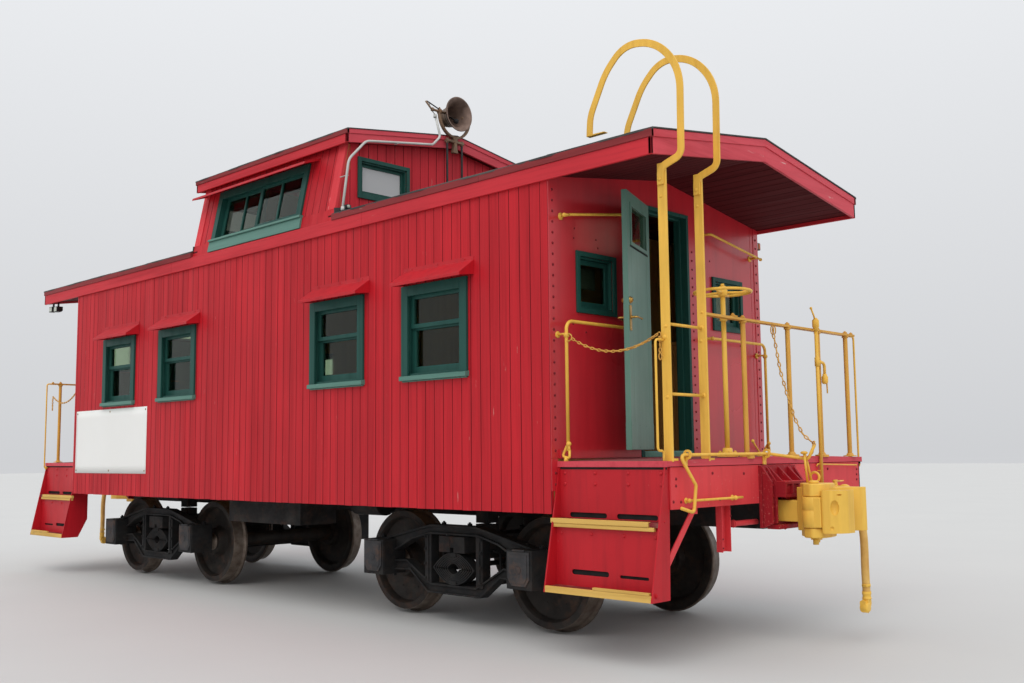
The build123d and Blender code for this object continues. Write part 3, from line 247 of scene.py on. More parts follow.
# soffit boards in a red darkened nearly to black: painted shade under the roof's overhang; their groove faces are
# darker still, also painted shade
SOFFIT_PAINTED_SHADE = painted_wood("soffit_paint_with_painted_shade", srgb(84, 4, 12), srgb(40, 2, 6), srgb(80, 30, 28), "X", 0.8, 0.84)
SOFFIT_GROOVE_PAINTED_SHADE = painted_wood("soffit_groove_painted_shade", srgb(48, 4, 9), srgb(24, 2, 5), srgb(40, 6, 8), "X", 0.8, 0.9)
END_SHEET = painted_steel("end_sheet_paint", srgb(204, 38, 50), srgb(144, 18, 28), srgb(196, 120, 112), 0.30, 0.78, 1.0, None, 0.85)
RED_STEEL = painted_steel("red_steel_paint", srgb(194, 26, 38), srgb(106, 12, 24), srgb(206, 134, 126), 0.42, 0.71, 1.4)
# rivet heads in a darker red than the sheets they hold: painted shade round their domes
RIVET_RED_SHADED = painted_steel("rivet_paint_painted_shade", srgb(126, 18, 30), srgb(70, 8, 16), srgb(150, 90, 84), 0.4, 0.8, 1.4)
SILL_PAINT = painted_steel("sill_paint", srgb(226, 66, 72), srgb(166, 34, 44), srgb(214, 150, 140), 0.45, 0.66, 1.4)
CAST_RED = painted_steel("casting_paint", srgb(162, 24, 36), srgb(84, 10, 20), srgb(206, 120, 110), 0.5, 0.60, 2.2)
YELLOW_STEEL = painted_steel("yellow_paint", YELLOW, YELLOW_DARK, srgb(120, 82, 44), 0.40, 0.74, 2.6)
YELLOW_RAIL = painted_steel("yellow_worn_paint", srgb(222, 166, 72), srgb(160, 104, 38), srgb(120, 74, 40), 0.50, 0.68, 3.0)
YELLOW_CAST = painted_steel("coupler_paint", srgb(244, 196, 84), srgb(190, 138, 44), srgb(150, 96, 40), 0.42, 0.76, 1.8)
NOSING = painted_wood("nosing_paint", srgb(226, 184, 98), srgb(150, 104, 44), srgb(156, 122, 82), "X", 0.6, 0.60)
GREEN_WOOD = painted_wood("green_paint", GREEN, GREEN_DARK, srgb(120, 140, 124), "Z", 0.42, 0.74)
GREEN_SILL = painted_wood("green_sill_paint", srgb(92, 134, 122), srgb(52, 86, 78), srgb(140, 150, 130), "X", 0.45, 0.68)
DOOR_PAINT = painted_steel("door_paint", srgb(96, 134, 120), srgb(60, 98, 86), srgb(150, 160, 146), 0.40, 0.78, 1.1, None, 0.15)


def plain(name, base, second, rough, metal=0.0, scale=8.0, bumpy=0.25, fine=90.0):
    m = Mat(name, rough, metal)
    cloud = m.noise(scale, 5, 0.6)
    colour = m.mix(m.ramp(cloud, (0.35, 0.0), (0.68, 1.0)), base, second)
    normal = m.bump(m.noise(fine, 4), bumpy, 0.001)
    return m.done(colour, m.ramp(cloud, (0.3, rough - 0.06), (0.7, rough + 0.14)), normal)


def roofing_felt():
    m = Mat("roofing_felt", 0.85)
    grit = m.cells(380)
    cloud = m.noise(1.1, 5)
    colour = m.mix(m.ramp(cloud, (0.35, 0.0), (0.7, 1.0)), srgb(52, 54, 56), srgb(84, 84, 80))
    colour = m.mix(m.math("MULTIPLY", m.ramp(grit, (0.1, 1.0), (0.5, 0.0)), 0.35), colour, srgb(30, 31, 33))
    return m.done(colour, 0.88, m.bump(grit, 0.5, 0.0012))


def deck_planks():
    m = Mat("deck_plank_paint", 0.75)
    grain = m.noise((60, 2.2, 60), 6, 0.65)
    wear = m.ramp(m.noise((5, 2.2, 5), 6, 0.7), (0.46, 0.0), (0.62, 1.0))
    colour = m.mix(m.ramp(grain, (0.35, 0.0), (0.75, 1.0)), srgb(150, 52, 60), srgb(96, 30, 38))
    colour = m.mix(m.math("MULTIPLY", wear, 0.75), colour, srgb(128, 96, 84))
    return m.done(colour, 0.78, m.bump(grain, 0.6, 0.002))


def tread_wood():
    m = Mat("tread_paint", 0.7)
    grain = m.noise((2.2, 55, 55), 6, 0.65)
    wear = m.ramp(m.noise((7, 9, 9), 6, 0.72), (0.52, 0.0), (0.66, 1.0))
    colour = m.mix(m.ramp(grain, (0.35, 0.0), (0.75, 1.0)), srgb(132, 16, 26), srgb(84, 8, 16))
    colour = m.mix(m.math("MULTIPLY", wear, 0.55), colour, srgb(150, 116, 94))
    return m.done(colour, 0.72, m.bump(grain, 0.6, 0.0018))


def window_pane(name, tint, clear, ior):
    m = Mat(name, 0.03)
    m.shader.inputs["Base Color"].default_value = tint
    m.shader.inputs["Transmission Weight"].default_value = clear
    m.shader.inputs["IOR"].default_value = ior
    dirt = m.noise(3.5, 5, 0.7)
    return m.done(None, m.ramp(dirt, (0.45, 0.02), (0.85, 0.16)), None)


def bell_metal():
    m = Mat("bell_bronze", 0.42, 0.85)
    ring = m.noise((3, 22, 22), 4)
    cloud = m.noise(9, 6, 0.65)
    colour = m.mix(m.ramp(cloud, (0.35, 0.0), (0.68, 1.0)), srgb(112, 88, 68), srgb(74, 58, 46))
    colour = m.mix(m.math("MULTIPLY", m.ramp(ring, (0.55, 0.0), (0.8, 1.0)), 0.5), colour, srgb(150, 118, 84))
    return m.done(colour, m.ramp(cloud, (0.3, 0.34), (0.7, 0.62)), m.bump(cloud, 0.2, 0.001))


def dusty_iron(name, base, second, rusty, rough=0.72):
    m = Mat(name, rough, 0.15)
    cloud = m.noise(4.5, 6, 0.65)
    rust = m.ramp(m.noise(7.5, 7, 0.72, move=(4, 4, 1)), (0.50, 0.0), (0.68, 1.0))
    dust = m.ramp(m.noise((5, 5, 9), 5, move=(2, 0, 3)), (0.5, 0.0), (0.8, 1.0))
    colour = m.mix(m.ramp(cloud, (0.3, 0.0), (0.7, 1.0)), base, second)
    colour = m.mix(m.math("MULTIPLY", rust, 0.55), colour, rusty)
    colour = m.mix(m.math("MULTIPLY", dust, 0.14), colour, srgb(110, 104, 94))
    return m.done(colour, m.ramp(cloud, (0.3, rough - 0.1), (0.7, rough + 0.12)), m.bump(m.noise(60, 6), 0.4, 0.0015), Specular_IOR_Level=0.3)


FELT = roofing_felt()
DECK = deck_planks()
TREAD = tread_wood()
PANE = window_pane("window_pane", (0.52, 0.62, 0.48, 1), 1.0, 1.29)
# the end panes of the cupola take a pale grey diffuse colour over most of their clearness: a painted sky reflection
PANE_PAINTED_SKY = window_pane("pane_with_painted_sky_reflection", (0.70, 0.70, 0.71, 1), 0.36, 1.5)
BRONZE = bell_metal()
TRUCK = dusty_iron("truck_iron", srgb(36, 36, 37), srgb(22, 22, 23), srgb(58, 44, 36))
UNDER = dusty_iron("frame_iron", srgb(46, 44, 44), srgb(28, 27, 28), srgb(80, 54, 42), 0.8)
WHEEL = dusty_iron("wheel_iron", srgb(48, 42, 38), srgb(32, 28, 26), srgb(84, 56, 40), 0.66)
TREAD_STEEL = plain("wheel_tread_steel", srgb(120, 108, 98), srgb(92, 78, 68), 0.45, 0.7, 14)
# near-black for gaps, slots and shadow lines: painted shade
SHADE_BLACK = plain("painted_shade_black", srgb(20, 18, 18), srgb(12, 11, 11), 0.85)
BLACK_IRON = plain("black_iron", srgb(40, 40, 42), srgb(26, 26, 28), 0.55, 0.3)
LAMP_BLACK = plain("lamp_black", srgb(30, 30, 32), srgb(20, 20, 22), 0.40)
LAMP_LENS = plain("lamp_lens", srgb(196, 200, 188), srgb(176, 180, 166), 0.18, 0.0, 20, 0.4, 140)
LAMP_AMBER = plain("lamp_amber", srgb(196, 104, 40), srgb(170, 84, 30), 0.3)
CONDUIT = plain("conduit_paint", srgb(206, 206, 202), srgb(182, 182, 178), 0.42, 0.1, 5, 0.12)
STAND = dusty_iron("stand_rust", srgb(150, 124, 102), srgb(104, 84, 68), srgb(150, 100, 62), 0.66)
PALM = plain("bleached_wood", srgb(190, 174, 150), srgb(146, 118, 98), 0.75, 0.0, 16, 0.5)
STRAP = plain("steel_strap", srgb(72, 74, 78), srgb(52, 54, 58), 0.5, 0.5)
SIGN = plain("blank_sign", srgb(240, 240, 237), srgb(236, 236, 232), 0.42, 0.0, 0.6, 0.03, 30)
GROMMET = plain("grommet_brass", srgb(176, 148, 92), srgb(142, 116, 70), 0.35, 0.8)
BRASS = plain("lock_brass", srgb(200, 160, 84), srgb(164, 122, 58), 0.28, 0.9, 20, 0.1)
INNER = painted_wood("inner_panel", srgb(190, 136, 74), srgb(134, 92, 48), srgb(200, 156, 100), "Z", 0.55, 0.8, "X")
INNER_END = painted_wood("inner_end_panel", srgb(112, 80, 44), srgb(72, 50, 26), srgb(130, 100, 64), "Z", 0.55, 0.8, "Y")
CLOTH = plain("white_cloth", srgb(226, 226, 220), srgb(198, 198, 192), 0.85, 0.0, 14, 0.5)
BLIND = plain("window_blind", srgb(232, 232, 226), srgb(210, 210, 204), 0.8, 0.0, 6, 0.2)
BLIND_DIM = plain("dim_board", srgb(84, 88, 86), srgb(66, 68, 68), 0.8, 0.0, 6, 0.2)
CHAIN = plain("chain_yellow", srgb(226, 176, 80), srgb(184, 130, 54), 0.45, 0.2, 40)
HOSE_MAT = plain("hose_paint", srgb(228, 186, 104), srgb(204, 154, 78), 0.62, 0.0, 9, 0.5, 60)
BRONZE_IN = plain("bell_inside", srgb(142, 118, 106), srgb(100, 80, 70), 0.60, 0.35, 10, 0.3)
BOX_LID = dusty_iron("box_lid_iron", srgb(66, 66, 68), srgb(46, 46, 48), srgb(104, 74, 56), 0.66)
CORD_STRIP = plain("sash_strip", srgb(196, 108, 44), srgb(160, 82, 34), 0.6)


# ------------------------------------------------------------------ mesh building
def unit(v):
    return Vector(v).normalized()


def rounded(points, radius, steps=6):
    """Line of a bent steel bar: straight runs with an arc at each bend."""
    points = [Vector(p) for p in points]
    radii = radius if hasattr(radius, "__len__") else [radius] * (len(points) - 2)
    line = [points[0]]
    for a, b, c, r in zip(points, points[1:], points[2:], radii):
        u, v = (a - b).normalized(), (c - b).normalized()
        angle = u.angle(v)
        if angle > 3.1 or r <= 0:
            line.append(b)
            continue
        cut = min(r / math.tan(angle / 2), 0.499 * (a - b).length, 0.499 * (c - b).length)
        r = cut * math.tan(angle / 2)
        centre = b + (u + v).normalized() * (r / math.sin(angle / 2))
        start, end = b + u * cut - centre, b + v * cut - centre
        sweep = start.angle(end)
        axis = start.cross(end).normalized()
        for k in range(steps + 1):
            line.append(centre + Matrix.Rotation(sweep * k / steps, 3, axis) @ start)
    line.append(points[-1])
    return line


class Solid:
    """The joined solids of one piece. Each face has a finish number and is flat or smooth."""

    def __init__(self):
        self.v, self.f, self.m, self.s = [], [], [], []

    def add(self, verts, faces, mat=0, smooth=False):
        base = len(self.v)
        self.v += [tuple(p) for p in verts]
        for k, face in enumerate(faces):
            self.f.append([base + i for i in face])
            self.m.append(mat[k] if isinstance(mat, list) else mat)
            self.s.append(smooth[k] if isinstance(smooth, list) else smooth)
        return self

    def box(self, x0, x1, y0, y1, z0, z1, mat=0):
        x0, x1 = sorted((x0, x1))
        y0, y1 = sorted((y0, y1))
        z0, z1 = sorted((z0, z1))
        return self.prism([(x0, y0), (x1, y0), (x1, y1), (x0, y1)], "Z", z0, z1, mat)

    def prism(self, points, axis, a, b, mat=0, top=None, bottom=None):
        """Polygon extruded along an axis: X takes (y, z), Y takes (x, z), Z takes (x, y). mat may be a list, one finish for each edge and then one for the ends."""
        area = sum(p[0] * q[1] - q[0] * p[1] for p, q in zip(points, points[1:] + points[:1]))
        edge_mats = mat if isinstance(mat, list) else [mat] * (len(points) + 1)
        if area < 0:
            points = points[::-1]
            edge_mats = edge_mats[:-1][::-1][1:] + edge_mats[:-1][::-1][:1] + edge_mats[-1:]
        n = len(points)
        place = {"X": lambda p, t: (t, p[0], p[1]), "Y": lambda p, t: (p[0], t, p[1]), "Z": lambda p, t: (p[0], p[1], t)}[axis]
        low = [place(p, bottom(p) if bottom else a) for p in points]
        high = [place(p, top(p) if top else b) for p in points]
        faces = [[k, (k + 1) % n, n + (k + 1) % n, n + k] for k in range(n)] + [list(range(n))[::-1], list(range(n, 2 * n))]
        if axis == "Y":
            faces = [f[::-1] for f in faces]
        return self.add(low + high, faces, edge_mats[:-1] + [edge_mats[-1]] * 2)

    def sweep(self, path, section, up=(0, 0, 1), mat=0, smooth=True, closed=False, caps=True, taper=None):
        """Section of (across, up) points carried along a path."""
        path = [Vector(p) for p in path]
        n, k = len(path), len(section)
        ref = Vector(up)
        rings = []
        side = None
        for i, p in enumerate(path):
            a = path[(i - 1) % n] if closed or i else path[0]
            b = path[(i + 1) % n] if closed or i < n - 1 else path[-1]
            t = (b - a).normalized()
            if side is None:
                side = t.cross(ref)
                if side.length < 1e-4:
                    side = t.cross(Vector((1, 0, 0)))
                side.normalize()
            else:
                side = side - t * side.dot(t)
                side.normalize()
            lift = side.cross(t).normalized()
            size = taper(i / (n - 1)) if taper else 1.0
            rings.append([p + side * (s[0] * size) + lift * (s[1] * size) for s in section])
        verts = [q for ring in rings for q in ring]
        faces = []
        for i in range(n if closed else n - 1):
            j = (i + 1) % n
            faces += [[i * k + q, i * k + (q + 1) % k, j * k + (q + 1) % k, j * k + q] for q in range(k)]
        flags = [smooth] * len(faces)
        if caps and not closed:
            faces += [list(range(k))[::-1], [(n - 1) * k + q for q in range(k)]]
            flags += [False, False]
        return self.add(verts, faces, mat, flags)

    def tube(self, path, r, sides=12, mat=0, closed=False, up=(0, 0, 1), taper=None):
        ring = [(r * math.cos(2 * math.pi * q / sides), r * math.sin(2 * math.pi * q / sides)) for q in range(sides)]
        return self.sweep(path, ring, up, mat, True, closed, True, taper)

    def rod(self, a, b, r, sides=14, mat=0, r2=None):
        a, b = Vector(a), Vector(b)
        return self.tube([a, b], r, sides, mat, taper=(lambda t: 1 + (r2 / r - 1) * t) if r2 else None)

    def bar(self, path, wide, thick, wide_along, mat=0, soft=0.0015):
        """Flat bar with eased edges; wide_along is the direction of its wide face at the start."""
        w, t, s = wide / 2, thick / 2, soft
        section = [(w - s, -t), (w, -t + s), (w, t - s), (w - s, t), (-w + s, t), (-w, t - s), (-w, -t + s), (-w + s, -t)]
        first = (Vector(path[1]) - Vector(path[0])).normalized()
        up = Vector(wide_along).cross(first)
        return self.sweep(path, section, up, mat, False)

    def lathe(self, profile, origin, axis, sides=32, mat=0, smooth=True):
        """Profile of (along, radius) points about an axis."""
        z = unit(axis)
        x = z.cross(Vector((0, 0, 1))) if abs(z.z) < 0.9 else z.cross(Vector((1, 0, 0)))
        x.normalize()
        y = z.cross(x)
        origin = Vector(origin)
        verts, n = [], len(profile)
        for q in range(sides):
            a = 2 * math.pi * q / sides
            d = x * math.cos(a) + y * math.sin(a)
            verts += [origin + z * p[0] + d * p[1] for p in profile]
        faces, mats = [], []
        for q in range(sides):
            r = (q + 1) % sides
            for k in range(n - 1):
                corner = [q * n + k, r * n + k, r * n + k + 1, q * n + k + 1]
                faces.append(corner)
                mats.append(mat[k] if isinstance(mat, list) else mat)
        return self.add(verts, faces, mats, smooth)

    def ball(self, c, r, mat=0, sides=12):
        profile = [(-r * math.cos(math.pi * k / 8), max(r * math.sin(math.pi * k / 8), 1e-5)) for k in range(9)]
        return self.lathe(profile, c, (0, 0, 1), sides, mat)

    def rivet(self, c, normal, r=0.009, mat=0, sides=8, flat=0.62):
        profile = [(-0.002, r), (0.0, r), (r * flat * 0.6, r * 0.8), (r * flat, r * 0.35), (r * flat * 1.04, 1e-5)]
        return self.lathe(profile, c, normal, sides, mat)

    def hexhead(self, c, normal, r=0.012, h=0.008, mat=0, washer=True, stud=True):
        c, n = Vector(c), unit(normal)
        if washer:
            self.rod(c - n * 0.001, c + n * 0.003, r * 1.5, 14, mat)
        self.rod(c + n * 0.002, c + n * (0.003 + h), r * 1.12, 6, mat)
        if stud:
            self.rod(c + n * h, c + n * (h * 1.9), r * 0.55, 8, mat)
        return self

    def moved(self, matrix):
        flip = matrix.to_3x3().determinant() < 0
        new = Solid()
        new.v = [tuple(matrix @ Vector(p)) for p in self.v]
        new.f = [f[::-1] if flip else list(f) for f in self.f]
        new.m, new.s = list(self.m), list(self.s)
        return new

    def join(self, other):
        base = len(self.v)
        self.v += other.v
        self.f += [[base + i for i in f] for f in other.f]
        self.m += other.m
        self.s += other.s
        return self

    def turned(self):
        return self.moved(Matrix.Rotation(math.pi, 4, "Z"))

    def both_ends(self):
        return self.join(self.turned())

    def both_sides(self):
        return self.join(self.moved(Matrix.Scale(-1, 4, (0, 1, 0))))

    def make(self, name, body, mats, slot=None, replaces=(), bevel=0.0, angle=40, segments=2):
        mesh = bpy.data.meshes.new(name)
        mesh.from_pydata(self.v, [], self.f)
        mesh.polygons.foreach_set("material_index", self.m)
        mesh.polygons.foreach_set("use_smooth", self.s)
        for mat in mats if isinstance(mats, (list, tuple)) else [mats]:
            mesh.materials.append(mat)
        mesh.validate()
        mesh.update()
        obj = bpy.data.objects.new(name, mesh)
        bpy.context.scene.collection.objects.link(obj)
        if bevel:
            mod = obj.modifiers.new("edges", "BEVEL")
            mod.width, mod.segments, mod.limit_method = bevel, segments, "ANGLE"
            mod.angle_limit = math.radians(angle)
            mod.use_clamp_overlap = True
        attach(obj, body)
        if replaces:
            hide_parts(*replaces)
        return obj


def chain_links(solid, points, wire, length, mat=0, sides=6, twist=0.0):
    """Oval links along a line, each turned a quarter against the last."""
    points = [Vector(p) for p in points]
    runs = [(b - a).length for a, b in zip(points, points[1:])]
    total = sum(runs)
    pitch = length - 2 * wire * 1.05
    count = max(1, int(total / pitch))
    half, wide = length / 2 - wire, length * 0.30

    def at(d):
        for a, b, r in zip(points, points[1:], runs):
            if d <= r or b is points[-1]:
                return a + (b - a) * (d / r), (b - a).normalized()
            d -= r

    for k in range(count):
        centre, along = at((k + 0.5) * total / count)
        across = along.cross(Vector((0, 0, 1)) if abs(along.z) < 0.95 else Vector((1, 0, 0))).normalized()
        lift = across.cross(along)
        angle = twist + (0.35 if k % 2 else 0.35 + math.pi / 2) + dice.uniform(-0.2, 0.2)
        out = across * math.cos(angle) + lift * math.sin(angle)
        ring = []
        for q in range(12):
            a = 2 * math.pi * q / 12
            ring.append(centre + along * (half * math.copysign(abs(math.cos(a)) ** 0.75, math.cos(a))) + out * ((wide - wire) * math.sin(a)))
        solid.tube(ring, wire, sides, mat, closed=True, up=along.cross(out))
    return solid


def sag(a, b, drop, count=24, power=2):
    a, b = Vector(a), Vector(b)
    return [a.lerp(b, k / count) - Vector((0, 0, drop * (1 - (2 * k / count - 1) ** 2))) for k in range(count + 1)]


# ------------------------------------------------------------------ board walls
def boards(solid, u0, u1, bottom, top, holes, place, thick, gap=0.006, deep=0.0045, pitch=BOARD, mats=(0, 1), phase=0.0):
    """Upright V-jointed boards from u0 to u1. holes are (u0, u1, v0, v1), and place(u, v, d) gives the point d out of the wall's face."""
    edges = [u0]
    u = math.floor((u0 - phase) / pitch) * pitch + pitch + phase
    while u < u1 - 0.01:
        if u - edges[-1] > 0.012:
            edges.append(u)
        u += pitch
    edges.append(u1)
    for a, b in zip(edges, edges[1:]):
        lift = dice.uniform(-0.0007, 0.0007)
        drop = dice.uniform(-0.0015, 0.0015)
        marks = [(a, -deep), (a + gap / 2, lift), (b - gap / 2, lift), (b, -deep)]
        cuts = sorted({h for hole in holes for h in hole[:2] if a + gap / 2 < h < b - gap / 2})
        full = marks[:2] + [(c, lift) for c in cuts] + marks[2:]
        # runs between window edges
        groups, current = [], [full[0]]
        for mark in full[1:]:
            current.append(mark)
            if mark[0] in cuts:
                groups.append(current)
                current = [mark]
        groups.append(current)
        for group in groups:
            mid = (group[0][0] + group[-1][0]) / 2
            if len(groups) > 1 and group is groups[0] and len(cuts):
                mid = (group[0][0] + cuts[0]) / 2
            spans = [(None, None)]
            for h in holes:
                if h[0] - 1e-6 <= mid <= h[1] + 1e-6:
                    spans = [(None, h[2]), (h[3], None)]
            for low, high in spans:
                n = len(group)
                outline = [(p[0], p[1]) for p in group] + [(group[-1][0], -thick), (group[0][0], -thick)]
                lows = [place(p[0], (bottom(p[0]) + drop) if low is None else low, p[1]) for p in outline]
                highs = [place(p[0], top(p[0]) if high is None else high, p[1]) for p in outline]
                k = len(outline)
                faces, fm = [], []
                for q in range(k):
                    r = (q + 1) % k
                    faces.append([q, r, k + r, k + q])
                    # groove faces take the second finish, darkened for dirt and painted shade
                    fm.append(mats[1] if q < n - 1 and abs(outline[q][1] - outline[r][1]) > 0.001 else mats[0])
                faces += [list(range(k))[::-1], list(range(k, 2 * k))]
                fm += [mats[0], mats[0]]
                centre = sum((Vector(p) for p in lows + highs), Vector()) / (2 * k)
                p0, p1, p2 = Vector(lows[1]), Vector(lows[2]), Vector(highs[2])
                if (p1 - p0).cross(p2 - p1).dot((p0 + p2) / 2 - centre) < 0:
                    faces = [f[::-1] for f in faces]
                solid.add(lows + highs, faces, fm)
    return solid


def panel(solid, u0, u1, v0, v1, holes, place, d0, d1, mat=0):
    """Plain wall core with window openings, from cells between the opening edges."""
    us = sorted({u0, u1, *[h for hole in holes for h in hole[:2]]})
    for a, b in zip(us, us[1:]):
        mid = (a + b) / 2
        spans = [(v0, v1)]
        for h in holes:
            if h[0] < mid < h[1]:
                spans = [(v0, h[2]), (h[3], v1)]
        for low, high in spans:
            pts = [place(u, v, d) for v in (low, high) for u, d in ((a, d0), (b, d0), (b, d1), (a, d1))]
            faces = [[0, 1, 5, 4], [1, 2, 6, 5], [2, 3, 7, 6], [3, 0, 4, 7], [3, 2, 1, 0], [4, 5, 6, 7]]
            centre = sum((Vector(p) for p in pts), Vector()) / 8
            p = [Vector(pts[i]) for i in faces[0]]
            if (p[1] - p[0]).cross(p[2] - p[1]).dot(sum(p, Vector()) / 4 - centre) < 0:
                faces = [f[::-1] for f in faces]
            solid.add(pts, faces, mat)
    return solid


WALL_TOP = gable(BODY_Y, EAVE_Z + SLAB_LIFT, ROOF_Y)
WALL_TOP_IN = gable(BODY_Y - WALL, EAVE_Z + SLAB_LIFT, ROOF_Y)
side_holes = [(x - WIN_W / 2 + 0.04, x + WIN_W / 2 - 0.04, WIN_Z0 + 0.04, WIN_Z1 - 0.04) for x in SIDE_WINDOWS]
for side, label in ((-1, "left"), (1, "right")):
    wall = Solid()
    place = lambda u, v, d, s=side: (u, s * (BODY_Y + d), v)
    boards(wall, -BODY_X, BODY_X, lambda u: SILL_Z + 0.002, lambda u: WALL_TOP, side_holes, place, 0.022, phase=0.03)
    panel(wall, -BODY_X + 0.001, BODY_X - 0.001, 0.965, WALL_TOP, side_holes, place, -WALL, -0.023, 2)
    wall.make(f"siding_{label}", "carbody", [SIDING, SIDING_GROOVE_DIRT_AND_SHADE, INNER], "red_paint_wood", [f"side_wall_{label}"])

# ------------------------------------------------------------------ cupola walls
cup = Solid()
soffit_z = CUP_EAVE_Z + 0.012
for side in (-1, 1):
    place = lambda u, v, d, s=side: (u, s * (cup_y(v) + d), v)
    hole = [(-0.763 + 0.045, 0.770 - 0.045, 3.460, 3.925)]
    top_v = gable(CUP_TOP_Y, soffit_z, CUP_ROOF_Y)
    boards(cup, CUP_X0 + 0.105, CUP_X1 - 0.105, lambda u: 3.455, lambda u: top_v, hole, place, 0.020, phase=0.01)
    panel(cup, CUP_X0 + 0.002, CUP_X1 - 0.002, CUP_FOOT_Z + 0.001, top_v - 0.004, hole, place, -CUP_WALL, -0.021, 2)
    # base board and the wide corner boards
    for a, b, v0, v1, d0, d1, mat in (
        (CUP_X0, CUP_X1, CUP_FOOT_Z, 3.455, -0.02, 0.004, 0),
        (CUP_X0, CUP_X0 + 0.105, 3.455, top_v, -0.02, 0.006, 3),
        (CUP_X1 - 0.105, CUP_X1, 3.455, top_v, -0.02, 0.006, 3),
    ):
        panel(cup, a, b, v0, v1, [], place, d0, d1, mat)
cup.make("cupola_side_boards", "carbody", [SIDING, SIDING_GROOVE_DIRT_AND_SHADE, INNER, CUP_CORNER], "red_paint_wood", ["cupola_side_walls"], 0.0015)

cup = Solid()
for end, xf in ((1, CUP_X1), (-1, CUP_X0)):
    place = lambda u, v, d, e=end, x=xf: (x + e * d, u, v)
    holes = [tuple(sorted((s * 0.560, s * 1.085))) + (3.625, 3.927) for s in (-1, 1)]
    reach = cup_y(3.45) - 0.022

    def low(u):
        return gable(u, ROOF_TOP, ROOF_Y) + 0.004

    def high(u):
        return min(gable(u, soffit_z, CUP_ROOF_Y), CUP_FOOT_Z + (CUP_FOOT_Y - 0.02 - abs(u)) / CUP_LEAN)

    boards(cup, -reach, reach, low, high, holes, place, 0.020, phase=0.02)
    for a, b in ((-1.17, 1.17),):
        for y0, y1 in ((-1.17, -1.085), (-1.085, -0.56), (-0.56, 0.0), (0.0, 0.56), (0.56, 1.085), (1.085, 1.17)):
            mid = (y0 + y1) / 2
            spans = [(None, None)]
            if 0.56 < abs(mid) < 1.085:
                spans = [(None, 3.625), (3.927, None)]
            for v0, v1 in spans:
                pts = [place(u, v, d) for v, fn in ((v0, low), (v1, high)) for u, d in ((y0, -CUP_WALL), (y1, -CUP_WALL), (y1, -0.021), (y0, -0.021)) for v in (fn(u) if v is None else v,)]
                faces = [[0, 1, 5, 4], [1, 2, 6, 5], [2, 3, 7, 6], [3, 0, 4, 7], [3, 2, 1, 0], [4, 5, 6, 7]]
                if end == 1:
                    faces = [f[::-1] for f in faces]
                cup.add(pts, faces, 2)
cup.make("cupola_end_boards", "carbody", [CUP_END, SIDING_GROOVE_DIRT_AND_SHADE, INNER_END], "red_paint_wood", ["cupola_end_walls"])

# ------------------------------------------------------------------ roof
roof = Solid()
half = ROOF_Y - FASCIA_T


def roof_section(y_from, y_to, low_fn, high_fn, pitch=0.098, gap=0.007, deep=0.004):
    """Closed (y, z) outline of one slope: boards below, plain above."""
    ys, outline, finish = [], [], []
    y = y_from
    while y < y_to - 0.02:
        ys.append(y)
        y += pitch
    ys.append(y_to)
    for a, b in zip(ys, ys[1:]):
        for yy, dz in ((a, deep), (a + gap / 2, 0.0), (b - gap / 2, 0.0)):
            outline.append((yy, low_fn(yy) + dz))
        # groove faces take finish 1, the darker painted shade
        finish += [1, 0, 1]
    outline.append((y_to, low_fn(y_to) + deep))
    finish.append(0)
    outline += [(y_to, high_fn(y_to)), (y_from, high_fn(y_from))]
    finish += [0, 0]
    return outline, finish + [0]


low_roof = lambda y: gable(y, EAVE_Z + SLAB_LIFT, ROOF_Y)
high_roof = lambda y: gable(y, ROOF_TOP, ROOF_Y)
for x0, x1, y0 in ((-ROOF_X + FASCIA_T, CUP_X0 + CUP_WALL, 0.0), (CUP_X1 - CUP_WALL, ROOF_X - FASCIA_T, 0.0), (CUP_X0 + CUP_WALL, CUP_X1 - CUP_WALL, 1.272)):
    for side in (-1, 1):
        outline, finish = roof_section(y0, half, low_roof, high_roof if y0 == 0 else lambda y: CUP_FOOT_Z)
        outline = [(side * y, z) for y, z in outline]
        roof.prism(outline, "X", x0, x1, finish)
roof.make("roof_boards", "carbody", [SOFFIT_PAINTED_SHADE, SOFFIT_GROOVE_PAINTED_SHADE], "red_paint_wood", ["main_roof"])

# the cupola roof's underside takes the same darkened soffit paint: painted shade
NODES["cupola_roof"].data.materials.clear()
NODES["cupola_roof"].data.materials.append(SOFFIT_PAINTED_SHADE)

